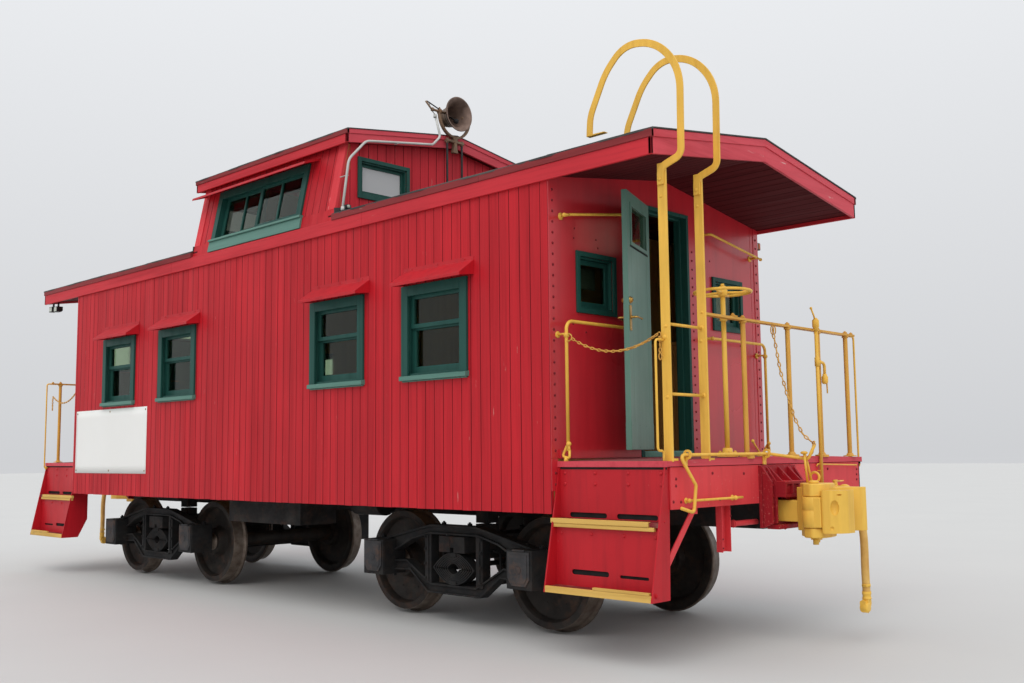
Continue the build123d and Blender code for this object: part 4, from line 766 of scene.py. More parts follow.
trim = Solid()
for side in (-1, 1):
    s = side
    # long fascia in three boards with butt joints
    for x0, x1 in ((-ROOF_X, -1.502), (-1.500, 1.688), (1.690, ROOF_X)):
        trim.box(x0, x1, s * (ROOF_Y - FASCIA_T), s * ROOF_Y, EAVE_Z, EAVE_Z + FASCIA_H, 0)
    section = [(s * (ROOF_Y - FASCIA_T), EAVE_Z + FASCIA_H), (s * (ROOF_Y + 0.008), EAVE_Z + FASCIA_H), (s * (ROOF_Y + 0.008), ROOF_TOP - 0.008 * SLOPE), (s * (ROOF_Y - FASCIA_T), ROOF_TOP + FASCIA_T * SLOPE)]
    for x0, x1 in ((-ROOF_X - 0.008, -2.702), (-2.700, CUP_X0 - 0.002), (CUP_X1 + 0.002, 3.098), (3.100, ROOF_X + 0.008)):
        trim.prism(section, "X", x0, x1, 1)
for end in (-1, 1):
    for side in (-1, 1):
        x0, x1 = end * (ROOF_X - FASCIA_T), end * ROOF_X
        y1 = side * ROOF_Y
        trim.prism([(0, EAVE_Z + ROOF_Y * SLOPE), (y1, EAVE_Z), (y1, EAVE_Z + FASCIA_H), (0, EAVE_Z + FASCIA_H + ROOF_Y * SLOPE)], "X", min(x0, x1), max(x0, x1), 2)
        x1 = end * (ROOF_X + 0.008)
        trim.prism([(0, EAVE_Z + FASCIA_H + ROOF_Y * SLOPE), (y1, EAVE_Z + FASCIA_H), (y1, ROOF_TOP), (0, ROOF_TOP + ROOF_Y * SLOPE)], "X", min(x0, x1), max(x0, x1), 3)
z0, z1, z2 = CUP_EAVE_Z, CUP_EAVE_Z + CUP_FASCIA_H, CUP_EAVE_Z + CUP_FASCIA_H + CUP_TRIM_H
xa, xb = CUP_X0 - CUP_OVER, CUP_X1 + CUP_OVER
for side in (-1, 1):
    s = side
    trim.box(xa, xb, s * (CUP_ROOF_Y - FASCIA_T), s * CUP_ROOF_Y, z0, z1, 0)
    section = [(s * (CUP_ROOF_Y - FASCIA_T), z1), (s * (CUP_ROOF_Y + 0.008), z1), (s * (CUP_ROOF_Y + 0.008), z2 - 0.008 * SLOPE), (s * (CUP_ROOF_Y - FASCIA_T), z2 + FASCIA_T * SLOPE)]
    trim.prism(section, "X", xa - 0.008, xb + 0.008, 1)
    y1 = s * CUP_ROOF_Y
    rise = CUP_ROOF_Y * SLOPE
    for x0, x1, x2 in ((xa, xa + FASCIA_T, xa - 0.008), (xb - FASCIA_T, xb, xb + 0.008)):
        trim.prism([(0, z0 + rise), (y1, z0), (y1, z1), (0, z1 + rise)], "X", x0, x1, 2)
        trim.prism([(0, z1 + rise), (y1, z1), (y1, z2), (0, z2 + rise)], "X", min(x0, x2), max(x1, x2), 3)
trim.make("fascia_boards", "carbody", [FASCIA, TRIM, FASCIA_END, FASCIA_END], "red_paint_wood", ["roof_fascia"], 0.002)

# roofing laid in overlapping strips, with its wavy lower edge
felt = Solid()


def felt_strip(x0, x1, half_w, top, lift):
    for side in (-1, 1):
        rows = 10
        verts = []
        n = max(3, int((x1 - x0) / 0.06))
        for i in range(n + 1):
            x = x0 + (x1 - x0) * i / n
            wave = 0.003 * math.sin(x * 9.1 + side) + 0.002 * math.sin(x * 23.7) + dice.uniform(-0.0012, 0.0012)
            edge = half_w - 0.004 + wave
            for y, dz in ((0.0, COVER_T), (edge - 0.05, COVER_T), (edge - 0.006, COVER_T - 0.001), (edge, 0.004), (edge, -0.007), (edge - 0.012, -0.008), (edge - 0.02, 0.0005), (0.0, 0.0005)):
                verts.append((x, side * y, gable(y, top, half_w) + dz + lift))
        k = 8
        faces = []
        for i in range(n):
            faces += [[i * k + q, i * k + (q + 1) % k, (i + 1) * k + (q + 1) % k, (i + 1) * k + q] for q in range(k)]
        faces += [list(range(k))[::-1], [n * k + q for q in range(k)]]
        if side == 1:
            faces = [f[::-1] for f in faces]
        felt.add(verts, faces, 0, False)


top_main = ROOF_TOP - 0.014 * SLOPE
for a, b in ((-ROOF_X - 0.014, CUP_X0 - 0.001), (CUP_X1 + 0.001, ROOF_X + 0.014)):
    count = round((b - a) / 0.9)
    for k in range(count):
        w = (b - a) / count
        felt_strip(a + k * w - (0.0 if k == 0 else 0.05), a + (k + 1) * w, ROOF_Y + 0.012, top_main, 0.0 if k % 2 == 0 else 0.0025)
top_cup = z2 - 0.014 * SLOPE
a, b = xa - 0.012, xb + 0.012
for k in range(3):
    w = (b - a) / 3
    felt_strip(a + k * w - (0.0 if k == 0 else 0.05), a + (k + 1) * w, CUP_ROOF_Y + 0.012, top_cup, 0.0 if k % 2 == 0 else 0.0025)
# flashing where the cupola's ends meet the roof
for xf, e in ((CUP_X1, 1), (CUP_X0, -1)):
    for side in (-1, 1):
        y1 = 1.372
        pts = []
        for y in (0.0, y1):
            base = gable(y, ROOF_TOP, ROOF_Y) + COVER_T
            for dx, dz in ((0.003, 0.05), (0.006, 0.05), (0.012, 0.008), (0.07, 0.005), (0.07, 0.001), (0.003, 0.001)):
                pts.append((xf + e * dx, side * y, base + dz))
        faces = [[q, (q + 1) % 6, 6 + (q + 1) % 6, 6 + q] for q in range(6)] + [list(range(6))[::-1], list(range(6, 12))]
        if side * e == 1:
            faces = [f[::-1] for f in faces]
        felt.add(pts, faces, 0)
felt.make("roofing", "carbody", [FELT], "roofing", ["roof_covering"])


# ------------------------------------------------------------------ windows
def hung_window(solid, pane, x, side, number):
    """Casing, sill, upper and lower sash with meeting rails, and panes."""
    s = side

    def box(x0, x1, d0, d1, z0, z1, mat=0):
        solid.box(x0, x1, s * (BODY_Y + d0), s * (BODY_Y + d1), z0, z1, mat)

    w = WIN_W / 2
    # deep jambs and head
    box(x - w + 0.04, x - w + 0.062, -0.088, 0.0, WIN_Z0 + 0.04, WIN_Z1 - 0.04)
    box(x + w - 0.062, x + w - 0.04, -0.088, 0.0, WIN_Z0 + 0.04, WIN_Z1 - 0.04)
    box(x - w + 0.062, x + w - 0.062, -0.088, 0.0, WIN_Z1 - 0.062, WIN_Z1 - 0.04)
    box(x - w + 0.062, x + w - 0.062, -0.088, 0.0, WIN_Z0 + 0.04, WIN_Z0 + 0.062)
    # casing boards on the siding
    box(x - w, x - w + 0.078, 0.0003, 0.022, WIN_Z0 + 0.043, WIN_Z1)
    box(x + w - 0.078, x + w, 0.0003, 0.022, WIN_Z0 + 0.043, WIN_Z1)
    box(x - w + 0.079, x + w - 0.079, 0.0003, 0.0215, WIN_Z1 - 0.082, WIN_Z1)
    # sill with a sloped top and its apron
    solid.prism([(s * (BODY_Y - 0.08), WIN_Z0 + 0.062), (s * (BODY_Y + 0.040), WIN_Z0 + 0.040), (s * (BODY_Y + 0.040), WIN_Z0 + 0.006), (s * (BODY_Y - 0.08), WIN_Z0 + 0.006)], "X", x - w - 0.006, x + w + 0.006, 1)
    solid.box(x - w + 0.006, x + w - 0.006, s * (BODY_Y + 0.0004), s * (BODY_Y + 0.016), WIN_Z0 - 0.004, WIN_Z0 + 0.0055, 1)
    # sashes: lower one inside, upper one outside
    xi = w - 0.062
    for z0, z1, d, rail_low, rail_high in ((WIN_Z0 + 0.062, 2.335, -0.062, 0.055, 0.034), (2.318, WIN_Z1 - 0.062, -0.040, 0.034, 0.044)):
        t = 0.034
        box(x - xi, x - xi + 0.044, d - t / 2, d + t / 2, z0, z1)
        box(x + xi - 0.044, x + xi, d - t / 2, d + t / 2, z0, z1)
        box(x - xi + 0.044, x + xi - 0.044, d - t / 2, d + t / 2 - 0.0006, z0, z0 + rail_low)
        box(x - xi + 0.044, x + xi - 0.044, d - t / 2, d + t / 2 - 0.0006, z1 - rail_high, z1)
        pane.box(x - xi + 0.040, x + xi - 0.040, s * (BODY_Y + d - 0.002), s * (BODY_Y + d + 0.002), z0 + rail_low - 0.004, z1 - rail_high + 0.004)
    # parting beads
    for bx in (x - xi, x + xi - 0.010):
        box(bx, bx + 0.010, -0.020, -0.008, WIN_Z0 + 0.062, WIN_Z1 - 0.062)
    if number == 3 and s == -1:
        box(x + xi - 0.052, x + xi - 0.045, -0.026, -0.022, 2.36, 2.56, 2)


frames, panes = Solid(), Solid()
for side in (-1, 1):
    for k, x in enumerate(SIDE_WINDOWS):
        hung_window(frames, panes, x, side, k)

for end in (-1, 1):
    e = end
    for side in (-1, 1):
        y, w = side * END_WIN_Y, END_WIN_W / 2

        def box(y0, y1, d0, d1, z0, z1, mat=0):
            frames.box(e * (BODY_X + d0), e * (BODY_X + d1), y0, y1, z0, z1, mat)

        box(y - w, y - w + 0.036, 0.0003, 0.018, END_WIN_Z0, END_WIN_Z1)
        box(y + w - 0.036, y + w, 0.0003, 0.018, END_WIN_Z0, END_WIN_Z1)
        box(y - w + 0.036, y + w - 0.036, 0.0003, 0.0175, END_WIN_Z0, END_WIN_Z0 + 0.036)
        box(y - w + 0.036, y + w - 0.036, 0.0003, 0.0175, END_WIN_Z1 - 0.036, END_WIN_Z1)
        for a, b, c, d in ((y - w + 0.035, y - w + 0.052, END_WIN_Z0 + 0.036, END_WIN_Z1 - 0.036), (y + w - 0.052, y + w - 0.035, END_WIN_Z0 + 0.036, END_WIN_Z1 - 0.036)):
            box(a, b, -0.088, 0.0, c, d)
        box(y - w + 0.052, y + w - 0.052, -0.088, 0.0, END_WIN_Z0 + 0.036, END_WIN_Z0 + 0.052)
        box(y - w + 0.052, y + w - 0.052, -0.088, 0.0, END_WIN_Z1 - 0.052, END_WIN_Z1 - 0.036)
        a = w - 0.052
        box(y - a, y - a + 0.036, -0.056, -0.026, END_WIN_Z0 + 0.052, END_WIN_Z1 - 0.052)
        box(y + a - 0.036, y + a, -0.056, -0.026, END_WIN_Z0 + 0.052, END_WIN_Z1 - 0.052)
        box(y - a + 0.036, y + a - 0.036, -0.056, -0.0265, END_WIN_Z0 + 0.052, END_WIN_Z0 + 0.090)
        box(y - a + 0.036, y + a - 0.036, -0.056, -0.0265, END_WIN_Z1 - 0.088, END_WIN_Z1 - 0.052)
        panes.box(e * (BODY_X - 0.043), e * (BODY_X - 0.039), y - a + 0.03, y + a - 0.03, END_WIN_Z0 + 0.085, END_WIN_Z1 - 0.083)
frames.make("window_joinery", "carbody", [GREEN_WOOD, GREEN_SILL, CORD_STRIP], "green_paint", ["window_frames"], 0.002)


def lean_solid(solid, side, x0, x1, d0, d1, z0a, z1a, mat=0):
    pts = [(side * (cup_y(z0a) + d0), z0a), (side * (cup_y(z0a) + d1), z0a), (side * (cup_y(z1a) + d1), z1a), (side * (cup_y(z1a) + d0), z1a)]
    solid.prism(pts, "X", x0, x1, mat)


lookout = Solid()
wx0, wx1 = -0.763, 0.770
mid = (wx0 + wx1) / 2
for side in (-1, 1):
    # casing
    lean_solid(lookout, side, wx0, wx0 + 0.070, 0.0003, 0.022, 3.470, 3.972)
    lean_solid(lookout, side, wx1 - 0.070, wx1, 0.0003, 0.022, 3.470, 3.972)
    lean_solid(lookout, side, wx0 + 0.070, wx1 - 0.070, 0.0003, 0.0215, 3.895, 3.972)
    lean_solid(lookout, side, wx0 - 0.02, wx1 + 0.02, 0.0003, 0.024, 3.352, 3.455, 1)
    lean_solid(lookout, side, wx0 - 0.02, wx1 + 0.02, -0.070, 0.042, 3.455, 3.476, 1)
    # jambs and head
    lean_solid(lookout, side, wx0 + 0.045, wx0 + 0.070, -0.078, 0.0, 3.476, 3.925)
    lean_solid(lookout, side, wx1 - 0.070, wx1 - 0.045, -0.078, 0.0, 3.476, 3.925)
    lean_solid(lookout, side, wx0 + 0.070, wx1 - 0.070, -0.078, 0.0, 3.900, 3.925)
    # two sliding sashes, each with a middle bar
    for x0, x1, d in ((wx0 + 0.07, mid + 0.03, -0.052), (mid - 0.03, wx1 - 0.07, -0.018)):
        t = 0.028
        for a, b in ((x0, x0 + 0.045), (x1 - 0.045, x1), ((x0 + x1) / 2 - 0.012, (x0 + x1) / 2 + 0.012)):
            lean_solid(lookout, side, a, b, d - t / 2, d + t / 2, 3.476, 3.900)
        lean_solid(lookout, side, x0 + 0.045, x1 - 0.045, d - t / 2, d + t / 2 - 0.0006, 3.476, 3.515)
        lean_solid(lookout, side, x0 + 0.045, x1 - 0.045, d - t / 2, d + t / 2 - 0.0006, 3.868, 3.900)
        lean_solid(panes, side, x0 + 0.04, x1 - 0.04, d - 0.002, d + 0.002, 3.510, 3.872)
for xf, e in ((CUP_X1, 1), (CUP_X0, -1)):
    for side in (-1, 1):
        y0, y1 = sorted((side * 0.525, side * 1.120))

        def box(a, b, d0, d1, c, d, mat=0):
            lookout.box(xf + e * d0, xf + e * d1, a, b, c, d, mat)

        box(y0, y0 + 0.036, 0.0003, 0.018, 3.590, 3.962)
        box(y1 - 0.036, y1, 0.0003, 0.018, 3.590, 3.962)
        box(y0 + 0.036, y1 - 0.036, 0.0003, 0.0175, 3.590, 3.626)
        box(y0 + 0.036, y1 - 0.036, 0.0003, 0.0175, 3.926, 3.962)
        box(y0 + 0.035, y0 + 0.050, -0.075, 0.0, 3.625, 3.927)
        box(y1 - 0.050, y1 - 0.035, -0.075, 0.0, 3.625, 3.927)
        box(y0 + 0.050, y1 - 0.050, -0.075, 0.0, 3.625, 3.640)
        box(y0 + 0.050, y1 - 0.050, -0.075, 0.0, 3.912, 3.927)
        box(y0 + 0.050, y0 + 0.078, -0.052, -0.026, 3.640, 3.912)
        box(y1 - 0.078, y1 - 0.050, -0.052, -0.026, 3.640, 3.912)
        box(y0 + 0.078, y1 - 0.078, -0.052, -0.0265, 3.640, 3.668)
        box(y0 + 0.078, y1 - 0.078, -0.052, -0.0265, 3.886, 3.912)
        # cupola end panes take the painted sky reflection finish
        panes.box(xf - e * 0.041, xf - e * 0.037, y0 + 0.072, y1 - 0.072, 3.664, 3.890, 1)
lookout.make("lookout_joinery", "carbody", [GREEN_WOOD, GREEN_SILL], "green_paint", ["cupola_window_frames"], 0.0018)
panes.make("window_panes", "carbody", [PANE, PANE_PAINTED_SKY], "glass", ["window_glass"])

# ------------------------------------------------------------------ awnings
hood = Solid()


def awning(side, x0, x1, face_z, z_wall_top, z_low, out, face):
    """Bent sheet: top flange on the wall, sloped top, turned-down lip and closed ends."""
    s, t = side, 0.003
    y = lambda z, d: s * (face(z) + d)
    zf = z_wall_top
    line = [
        (0.0004, zf), (0.0004 + t, zf), (0.0004 + t, zf - 0.030), (out - 0.002, z_low + 0.012), (out, z_low + 0.010), (out, z_low - 0.012),
        (out - t, z_low - 0.012), (out - t, z_low + 0.006), (0.0004, zf - 0.034),
    ]
    hood.prism([(y(z, d), z) for d, z in line], "X", x0, x1, 0)
    for xa in (x0, x1 - t):
        tri = [(0.0004, zf - 0.034), (out - t, z_low + 0.004), (out - t, z_low - 0.010), (0.0004, face_z)]
        hood.prism([(y(z, d), z) for d, z in tri], "X", xa, xa + t, 0)
    for k in range(3):
        x = x0 + (x1 - x0) * (0.12 + 0.38 * k)
        hood.rivet((x, y(zf - 0.014, 0.0035), zf - 0.014), (0, s, 0), 0.008, 1)


for side in (-1, 1):
    for x in SIDE_WINDOWS:
        awning(side, x - 0.360, x + 0.440, 2.662, 2.800, 2.652, 0.152, lambda z: BODY_Y)
    awning(side, CUP_X0 + 0.045, 0.900, 3.975, 4.026, 3.927, 0.160, cup_y)
hood.make("window_awnings", "carbody", [RED_STEEL, RED_STEEL], "red_paint_steel", ["awnings"], 0.0008, 30, 1)

# ------------------------------------------------------------------ end walls: rivets, angles, lining
for label in ("front", "rear"):
    node = NODES[f"end_wall_{label}"]
    node.data.materials.clear()
    node.data.materials.append(END_SHEET)

ends = Solid()
x = BODY_X
for side in (-1, 1):
    s = side
    # corner angle with its rivets, down past the platform's edge
    top = gable(1.30, EAVE_Z + SLAB_LIFT, ROOF_Y)
    ends.box(x, x + 0.006, s * 1.372, s * 1.300, DECK_Z + 0.002, top, 0)
    ends.box(x, x + 0.0016, s * 1.2998, s * 1.252, DECK_Z + 0.002, top, 0)
    # kick board at the foot of the sheet
    ends.box(x + 0.0017, x + 0.023, s * 1.298, s * 0.340 + (-0.055 if s < 0 else -0.045), 1.2960, 1.3560, 0)
    ends.box(x, x + 0.006, s * 1.372, s * 1.309, 1.075, DECK_Z, 0)
    z = 1.12
    while z < top - 0.05:
        if not 1.235 < z < 1.31:
            ends.rivet((x + 0.006, s * 1.333, z), (1, 0, 0), 0.0105, 1)
        z += 0.076
    # second column of rivets beside the door frame
    if s == 1:
        z = 1.36
        while z < 3.0:
            ends.rivet((x + 0.0005, 0.365, z), (1, 0, 0), 0.0095, 1)
            z += 0.072
    else:
        z = 1.36
        while z < 3.0:
            ends.rivet((x + 0.0005, -0.430, z), (1, 0, 0), 0.0095, 1)
            z += 0.072
for y, z in ((-1.09, 2.93), (-0.85, 2.88), (-1.10, 2.86), (-0.83, 2.82), (-1.12, 2.24), (-0.98, 2.19), (0.62, 2.9), (1.05, 2.22)):
    ends.rivet((x + 0.0005, y, z), (1, 0, 0), 0.008, 1)
ends.both_ends()
ends.make("end_rivets", "carbody", [END_SHEET, RIVET_RED_SHADED], "red_paint_steel", (), 0.0)

lining = Solid()
for end in (-1, 1):
    xi = end * (BODY_X - WALL - 0.012)
    for side in (-1, 1):
        y0, y1 = side * (0.390 if side * end < 0 else 0.290), side * 1.270
        k = 0
        ya = min(abs(y0), abs(y1))
        while ya < 1.265:
            yb = min(ya + 0.092, 1.268)
            if not (0.64 < (ya + yb) / 2 < 1.09):
                spans = ((FLOOR_Z, 3.255),)
            else:
                spans = ((FLOOR_Z, END_WIN_Z0 + 0.03), (END_WIN_Z1 - 0.03, 3.255))
            for c, d in spans:
                lining.box(xi - 0.010 * end, xi + 0.011 * end, side * (ya + 0.002), side * (yb - 0.002), c, d, 0)
            ya = yb
lining.make("inner_end_boards", "carbody", [INNER_END], "floor_wood", (), 0.001)

for name, mat in (("floor", INNER), ("underframe", UNDER), ("brake_gear", UNDER), ("tool_box", UNDER)):
    NODES[name].data.materials.clear()
    NODES[name].data.materials.append(mat)

# cupboard seen through the doorway, with panelled side
locker = Solid()
lx0, lx1, ly0, ly1 = 3.000, 3.660, 0.450, 1.270
ya = lx0
while ya < lx1 - 0.01:
    yb = min(ya + 0.082, lx1)
    locker.box(ya + 0.0015, yb - 0.0015, ly0, ly0 + 0.02, FLOOR_Z, 2.205, 0)
    ya = yb
locker.box(lx0, lx1, ly0 + 0.02, ly1, FLOOR_Z, 2.205, 0)
locker.box(lx0 - 0.012, lx1 + 0.001, ly0 - 0.018, ly1, 2.205, 2.235, 0)
ya = ly0
while ya < ly1 - 0.01:
    yb = min(ya + 0.09, ly1)
    locker.box(2.980, 3.000, ya + 0.001, yb - 0.001, FLOOR_Z, 3.230, 0)
    ya = yb
locker.make("corner_cupboard", "carbody", [INNER], "floor_wood", ["corner_locker"], 0.0015)

# ------------------------------------------------------------------ platforms and end sills
planks, nails = Solid(), Solid()


def crown(y):
    """Fall of the platform's boards from the middle towards the sides."""
    return 0.020 * (y / 1.308) ** 2


x = 3.7645
for k in range(7):
    top = DECK_Z - (0.0002, 0.0013, 0.0005, 0.0017, 0.0009, 0.0014, 0.0004)[k]
    planks.prism([(-1.308, 1.2575), (1.308, 1.2575)] + [(y, top - crown(y)) for y in (1.308, 0.980, 0.650, 0.330, 0.0, -0.330, -0.650, -0.980, -1.308)], "X", x, x + 0.1227, 0)
    for y in (-1.270, -0.860, -0.430, 0.0, 0.430, 0.860, 1.270):
        for dx in (0.026, 0.096):
            nails.rivet((x + dx + dice.uniform(-0.004, 0.004), y + dice.uniform(-0.008, 0.008), top - crown(y) - 0.0008), (0, 0, 1), 0.0042, 0, 6)
    x += 0.1277
planks.prism([(-1.3084, 1.2400), (1.3084, 1.2400)] + [(y, 1.2935 - crown(y)) for y in (1.3084, 0.980, 0.650, 0.330, 0.0, -0.330, -0.650, -0.980, -1.3084)], "X", 4.6560, 4.6830, 1)
for side in (-1, 1):
    planks.box(3.7645, 4.6830, side * 1.3086, side * 1.3160, 1.2370, 1.2765, 1)
    # black strip under the deck's side edge: painted shade in the gap below the planks
    planks.box(3.785, 4.6745, side * 1.300, side * 1.3070, 1.222, 1.2570, 3)
planks.both_ends().make("platform_planks", "carbody", [DECK, FASCIA_END, SILL_PAINT, SHADE_BLACK], "deck_wood", ["platform_decks"], 0.0022)
nails.both_ends().make("platform_nails", "carbody", [BLACK_IRON], "truck_steel")

sill = Solid()
sill.prism([(-1.268, 0.971), (-0.086, 0.971), (-0.086, 1.001), (0.086, 1.001), (0.086, 0.971), (1.268, 0.971), (1.268, 1.2365), (-1.268, 1.2365)], "X", 4.6632, 4.675, 0)
for side in (-1, 1):
    # black plates beyond the sill's ends: painted shade in the gaps at its corners
    sill.box(4.6560, 4.6625, side * 1.268, side * 1.3055, 0.980, 1.2360, 1)
for a, b in ((-1.130, -0.170), (0.170, 1.130)):
    for z in (0.971, 1.2260):
        sill.box(4.586, 4.663, a, b, z, z + 0.0105, 0)
# channel hung from the sill, with ears, and the bar beside it
sill.box(4.602, 4.609, -0.661, -0.569, 0.662, 0.970, 0)
sill.box(4.602, 4.651, -0.668, -0.661, 0.662, 0.970, 0)
sill.box(4.602, 4.651, -0.569, -0.562, 0.662, 0.970, 0)
sill.box(4.609, 4.616, -0.640, -0.590, 0.690, 0.720, 0)
sill.rod((4.610, -0.480, 0.840), (4.610, -0.1705, 0.840), 0.019, 16)
sill.rod((4.610, -0.474, 0.840), (4.610, -0.462, 0.840), 0.027, 16)
sill.prism([(-0.955, 0.9705), (-1.012, 0.9705), (-1.285, 0.668), (-1.285, 0.600)], "X", 4.643, 4.6548, 0)
sill.box(4.636, 4.6425, -1.035, -0.935, 0.930, 0.9705, 0)
heads = Solid()
for y, z in ((-1.210, 1.162), (-1.212, 1.118), (-1.243, 1.019), (-1.163, 1.016), (1.233, 1.180), (1.228, 1.140), (1.226, 1.100), (1.220, 1.020), (-0.72, 1.016), (-0.42, 1.18), (0.42, 1.19), (0.76, 1.19), (-0.80, 1.19)):
    heads.rivet((4.675, y, z), (1, 0, 0), 0.0105, 0)
for z in (0.69, 0.75, 0.90, 0.945):
    heads.rivet((4.6545, -0.664 if z < 0.8 else -0.566, z), (1, 0, 0), 0.006, 0)
sill.both_ends().make("sill_plates", "carbody", [SILL_PAINT, SHADE_BLACK], "red_paint_steel", ["end_sills"], 0.002)
heads.both_ends().make("sill_rivets", "carbody", [RIVET_RED_SHADED], "red_paint_steel")

irons = Solid()
for ya, yb, knobs, tip in ((-1.110, -0.575, (-1.110, -0.575), -0.490), (0.470, 0.980, (0.980,), 1.090)):
    for y in (ya, yb):
        irons.rod((4.675, y, 1.022), (4.703, y, 1.022), 0.010, 12)
        irons.lathe([(0, 1e-5), (0, 0.019), (0.004, 0.019), (0.006, 0.014), (0.006, 1e-5)], (4.675, y, 1.022), (1, 0, 0), 16)
    irons.tube(rounded([(4.703, ya - 0.012, 1.022), (4.703, yb, 1.022), (4.703, tip, 1.023)], 0.02, 3), 0.0082, 12)
    for y in knobs:
        irons.ball((4.703, y, 1.022), 0.0155, 0, 14)
irons.tube(rounded([(4.684, 0.575, 1.212), (4.688, 0.586, 1.229), (4.700, 0.760, 1.224), (4.700, 1.185, 1.214), (4.686, 1.200, 1.205)], 0.01, 3), 0.005, 8)
irons.both_ends().make("sill_grab_irons", "carbody", [YELLOW_STEEL], "yellow_paint")


# ------------------------------------------------------------------ steps
def slot_corners(solid, holes, r, d0, d1, mat=0):
    """Rounds the ends of the slots in a riser that stands in the plane of X and Z."""
    for x0, x1, z0, z1 in holes:
        for cx, sx in ((x0, 1), (x1, -1)):
            for cz, sz in ((z0, 1), (z1, -1)):
                arc = [(cx + sx * (r - r * math.sin(a)), cz + sz * (r - r * math.cos(a))) for a in [math.pi / 2 * k / 4 for k in range(5)]]
                solid.prism([(cx - sx * 0.0004, cz - sz * 0.0004)] + arc, "Y", d0, d1, mat)


well = Solid()
treads = Solid()
xa, xb = 3.782, 4.655
for x0, x1 in ((3.774, 3.7818), (4.6552, 4.663)):
    well.prism([(-1.306, 1.2565), (-1.478, 0.415), (-1.285, 0.415), (-1.180, 0.62), (-1.180, 1.2565)] if x0 < 4 else [(-1.306, 1.2565), (-1.478, 0.415), (-1.285, 0.415), (-1.262, 1.2565)], "X", x0, x1, 0)
upper = [(3.864, 4.185, 0.902, 0.936), (4.268, 4.597, 0.902, 0.936)]
lower = [(3.916, 4.232, 0.531, 0.565), (4.321, 4.552, 0.532, 0.552)]
panel(well, xa, xb, 0.8972, 1.2565, upper, lambda u, v, d: (u, -1.298 - d, v), 0.0, 0.006, 0)
panel(well, xa, xb, 0.4552, 0.8618, lower, lambda u, v, d: (u, -1.346 - d, v), 0.0, 0.006, 0)
slot_corners(well, upper, 0.0165, -1.304, -1.298)
slot_corners(well, lower[:1], 0.0165, -1.352, -1.346)
slot_corners(well, lower[1:], 0.0098, -1.352, -1.346)
# rims folded outward round the plates
for x0 in (3.7705, 4.6632):
    well.prism([(-1.3065, 1.2565), (-1.4785, 0.4155), (-1.4700, 0.4155), (-1.2985, 1.2565)], "X", x0, x0 + 0.0033, 0)
studs = Solid()
for x in (3.825, 4.090, 4.367, 4.628):
    for z in (1.197, 1.125):
        studs.rivet((x, -1.304, z), (0, -1, 0), 0.0130, 0, 12)
for x in (3.83, 4.09, 4.36, 4.61):
    studs.rivet((x, -1.352, 0.80), (0, -1, 0), 0.0125, 0, 12)
studs.hexhead((4.663, -1.430, 0.455), (1, 0, 0), 0.011, 0.008, 0)
studs.rivet((4.663, -1.325, 0.90), (1, 0, 0), 0.009, 0)
studs.rivet((4.663, -1.300, 1.20), (1, 0, 0), 0.009, 0)
# upper tread: a board and a doubled yellow nosing, with black boards behind the slots as painted shade in the slots
treads.box(3.800, 4.640, -1.2920, -1.2860, 0.8800, 0.9500, 2)
treads.box(3.880, 4.600, -1.3400, -1.3340, 0.5200, 0.5800, 2)
treads.box(3.7825, 4.6545, -1.350, -1.274, 0.8625, 0.8955, 0)
treads.box(3.757, 4.577, -1.3845, -1.3535, 0.8650, 0.8970, 1)
treads.box(3.772, 4.618, -1.3790, -1.3535, 0.8385, 0.8640, 1)
treads.box(4.580, 4.654, -1.3770, -1.3535, 0.8630, 0.8930, 0)
# lower tread, worn, with its nosing and the piece let in on the right
treads.box(3.7825, 4.6545, -1.345, -1.290, 0.4210, 0.4540, 0)
treads.box(3.7825, 4.6545, -1.4540, -1.3490, 0.4210, 0.4550, 0)
treads.box(3.7825, 4.6545, -1.4780, -1.4550, 0.4155, 0.4580, 1)
treads.box(4.192, 4.640, -1.4775, -1.4500, 0.4590, 0.4755, 1)
mirrored = Matrix.Scale(-1, 4, (1, 0, 0))
for piece, name, mats, slot, swap, bevel in (
    (well, "step_plates", [RED_STEEL], "red_paint_steel", ["step_wells"], 0.0),
    (treads, "step_treads", [TREAD, NOSING, SHADE_BLACK], "deck_wood", (), 0.0028),
    (studs, "step_rivets", [RED_STEEL, STAND], "red_paint_steel", (), 0.0),
):
    whole = Solid().join(piece).join(piece.moved(mirrored)).join(piece.turned())
    whole.make(name, "carbody", mats, slot, swap, bevel)

# ------------------------------------------------------------------ door frames and doors
jamb = Solid()
for side in (-1, 1):
    jamb.box(BODY_X - WALL, BODY_X + 0.028, side * 0.3072, side * 0.337, DECK_Z + 0.0005, 3.230, 0)
    jamb.box(BODY_X - 0.080, BODY_X - 0.030, side * 0.293, side * 0.3070, 1.341, 3.1995, 0)
jamb.box(BODY_X - WALL, BODY_X + 0.0275, -0.3070, 0.3070, 3.2000, 3.2295, 0)
jamb.box(BODY_X - 0.080, BODY_X - 0.030, -0.2925, 0.2925, 3.186, 3.1995, 0)
jamb.prism([(BODY_X - WALL, DECK_Z), (BODY_X + 0.033, DECK_Z), (BODY_X + 0.033, 1.331), (BODY_X + 0.022, 1.3400), (BODY_X - WALL, 1.3400)], "Y", -0.3068, 0.3068, 1)
shift = Matrix.Translation((0, DOOR_Y, 0))
jamb.moved(shift).both_ends().make("door_jambs", "carbody", [GREEN_WOOD, GREEN_SILL], "green_paint", ["door_frames"], 0.002)
pins = Solid()
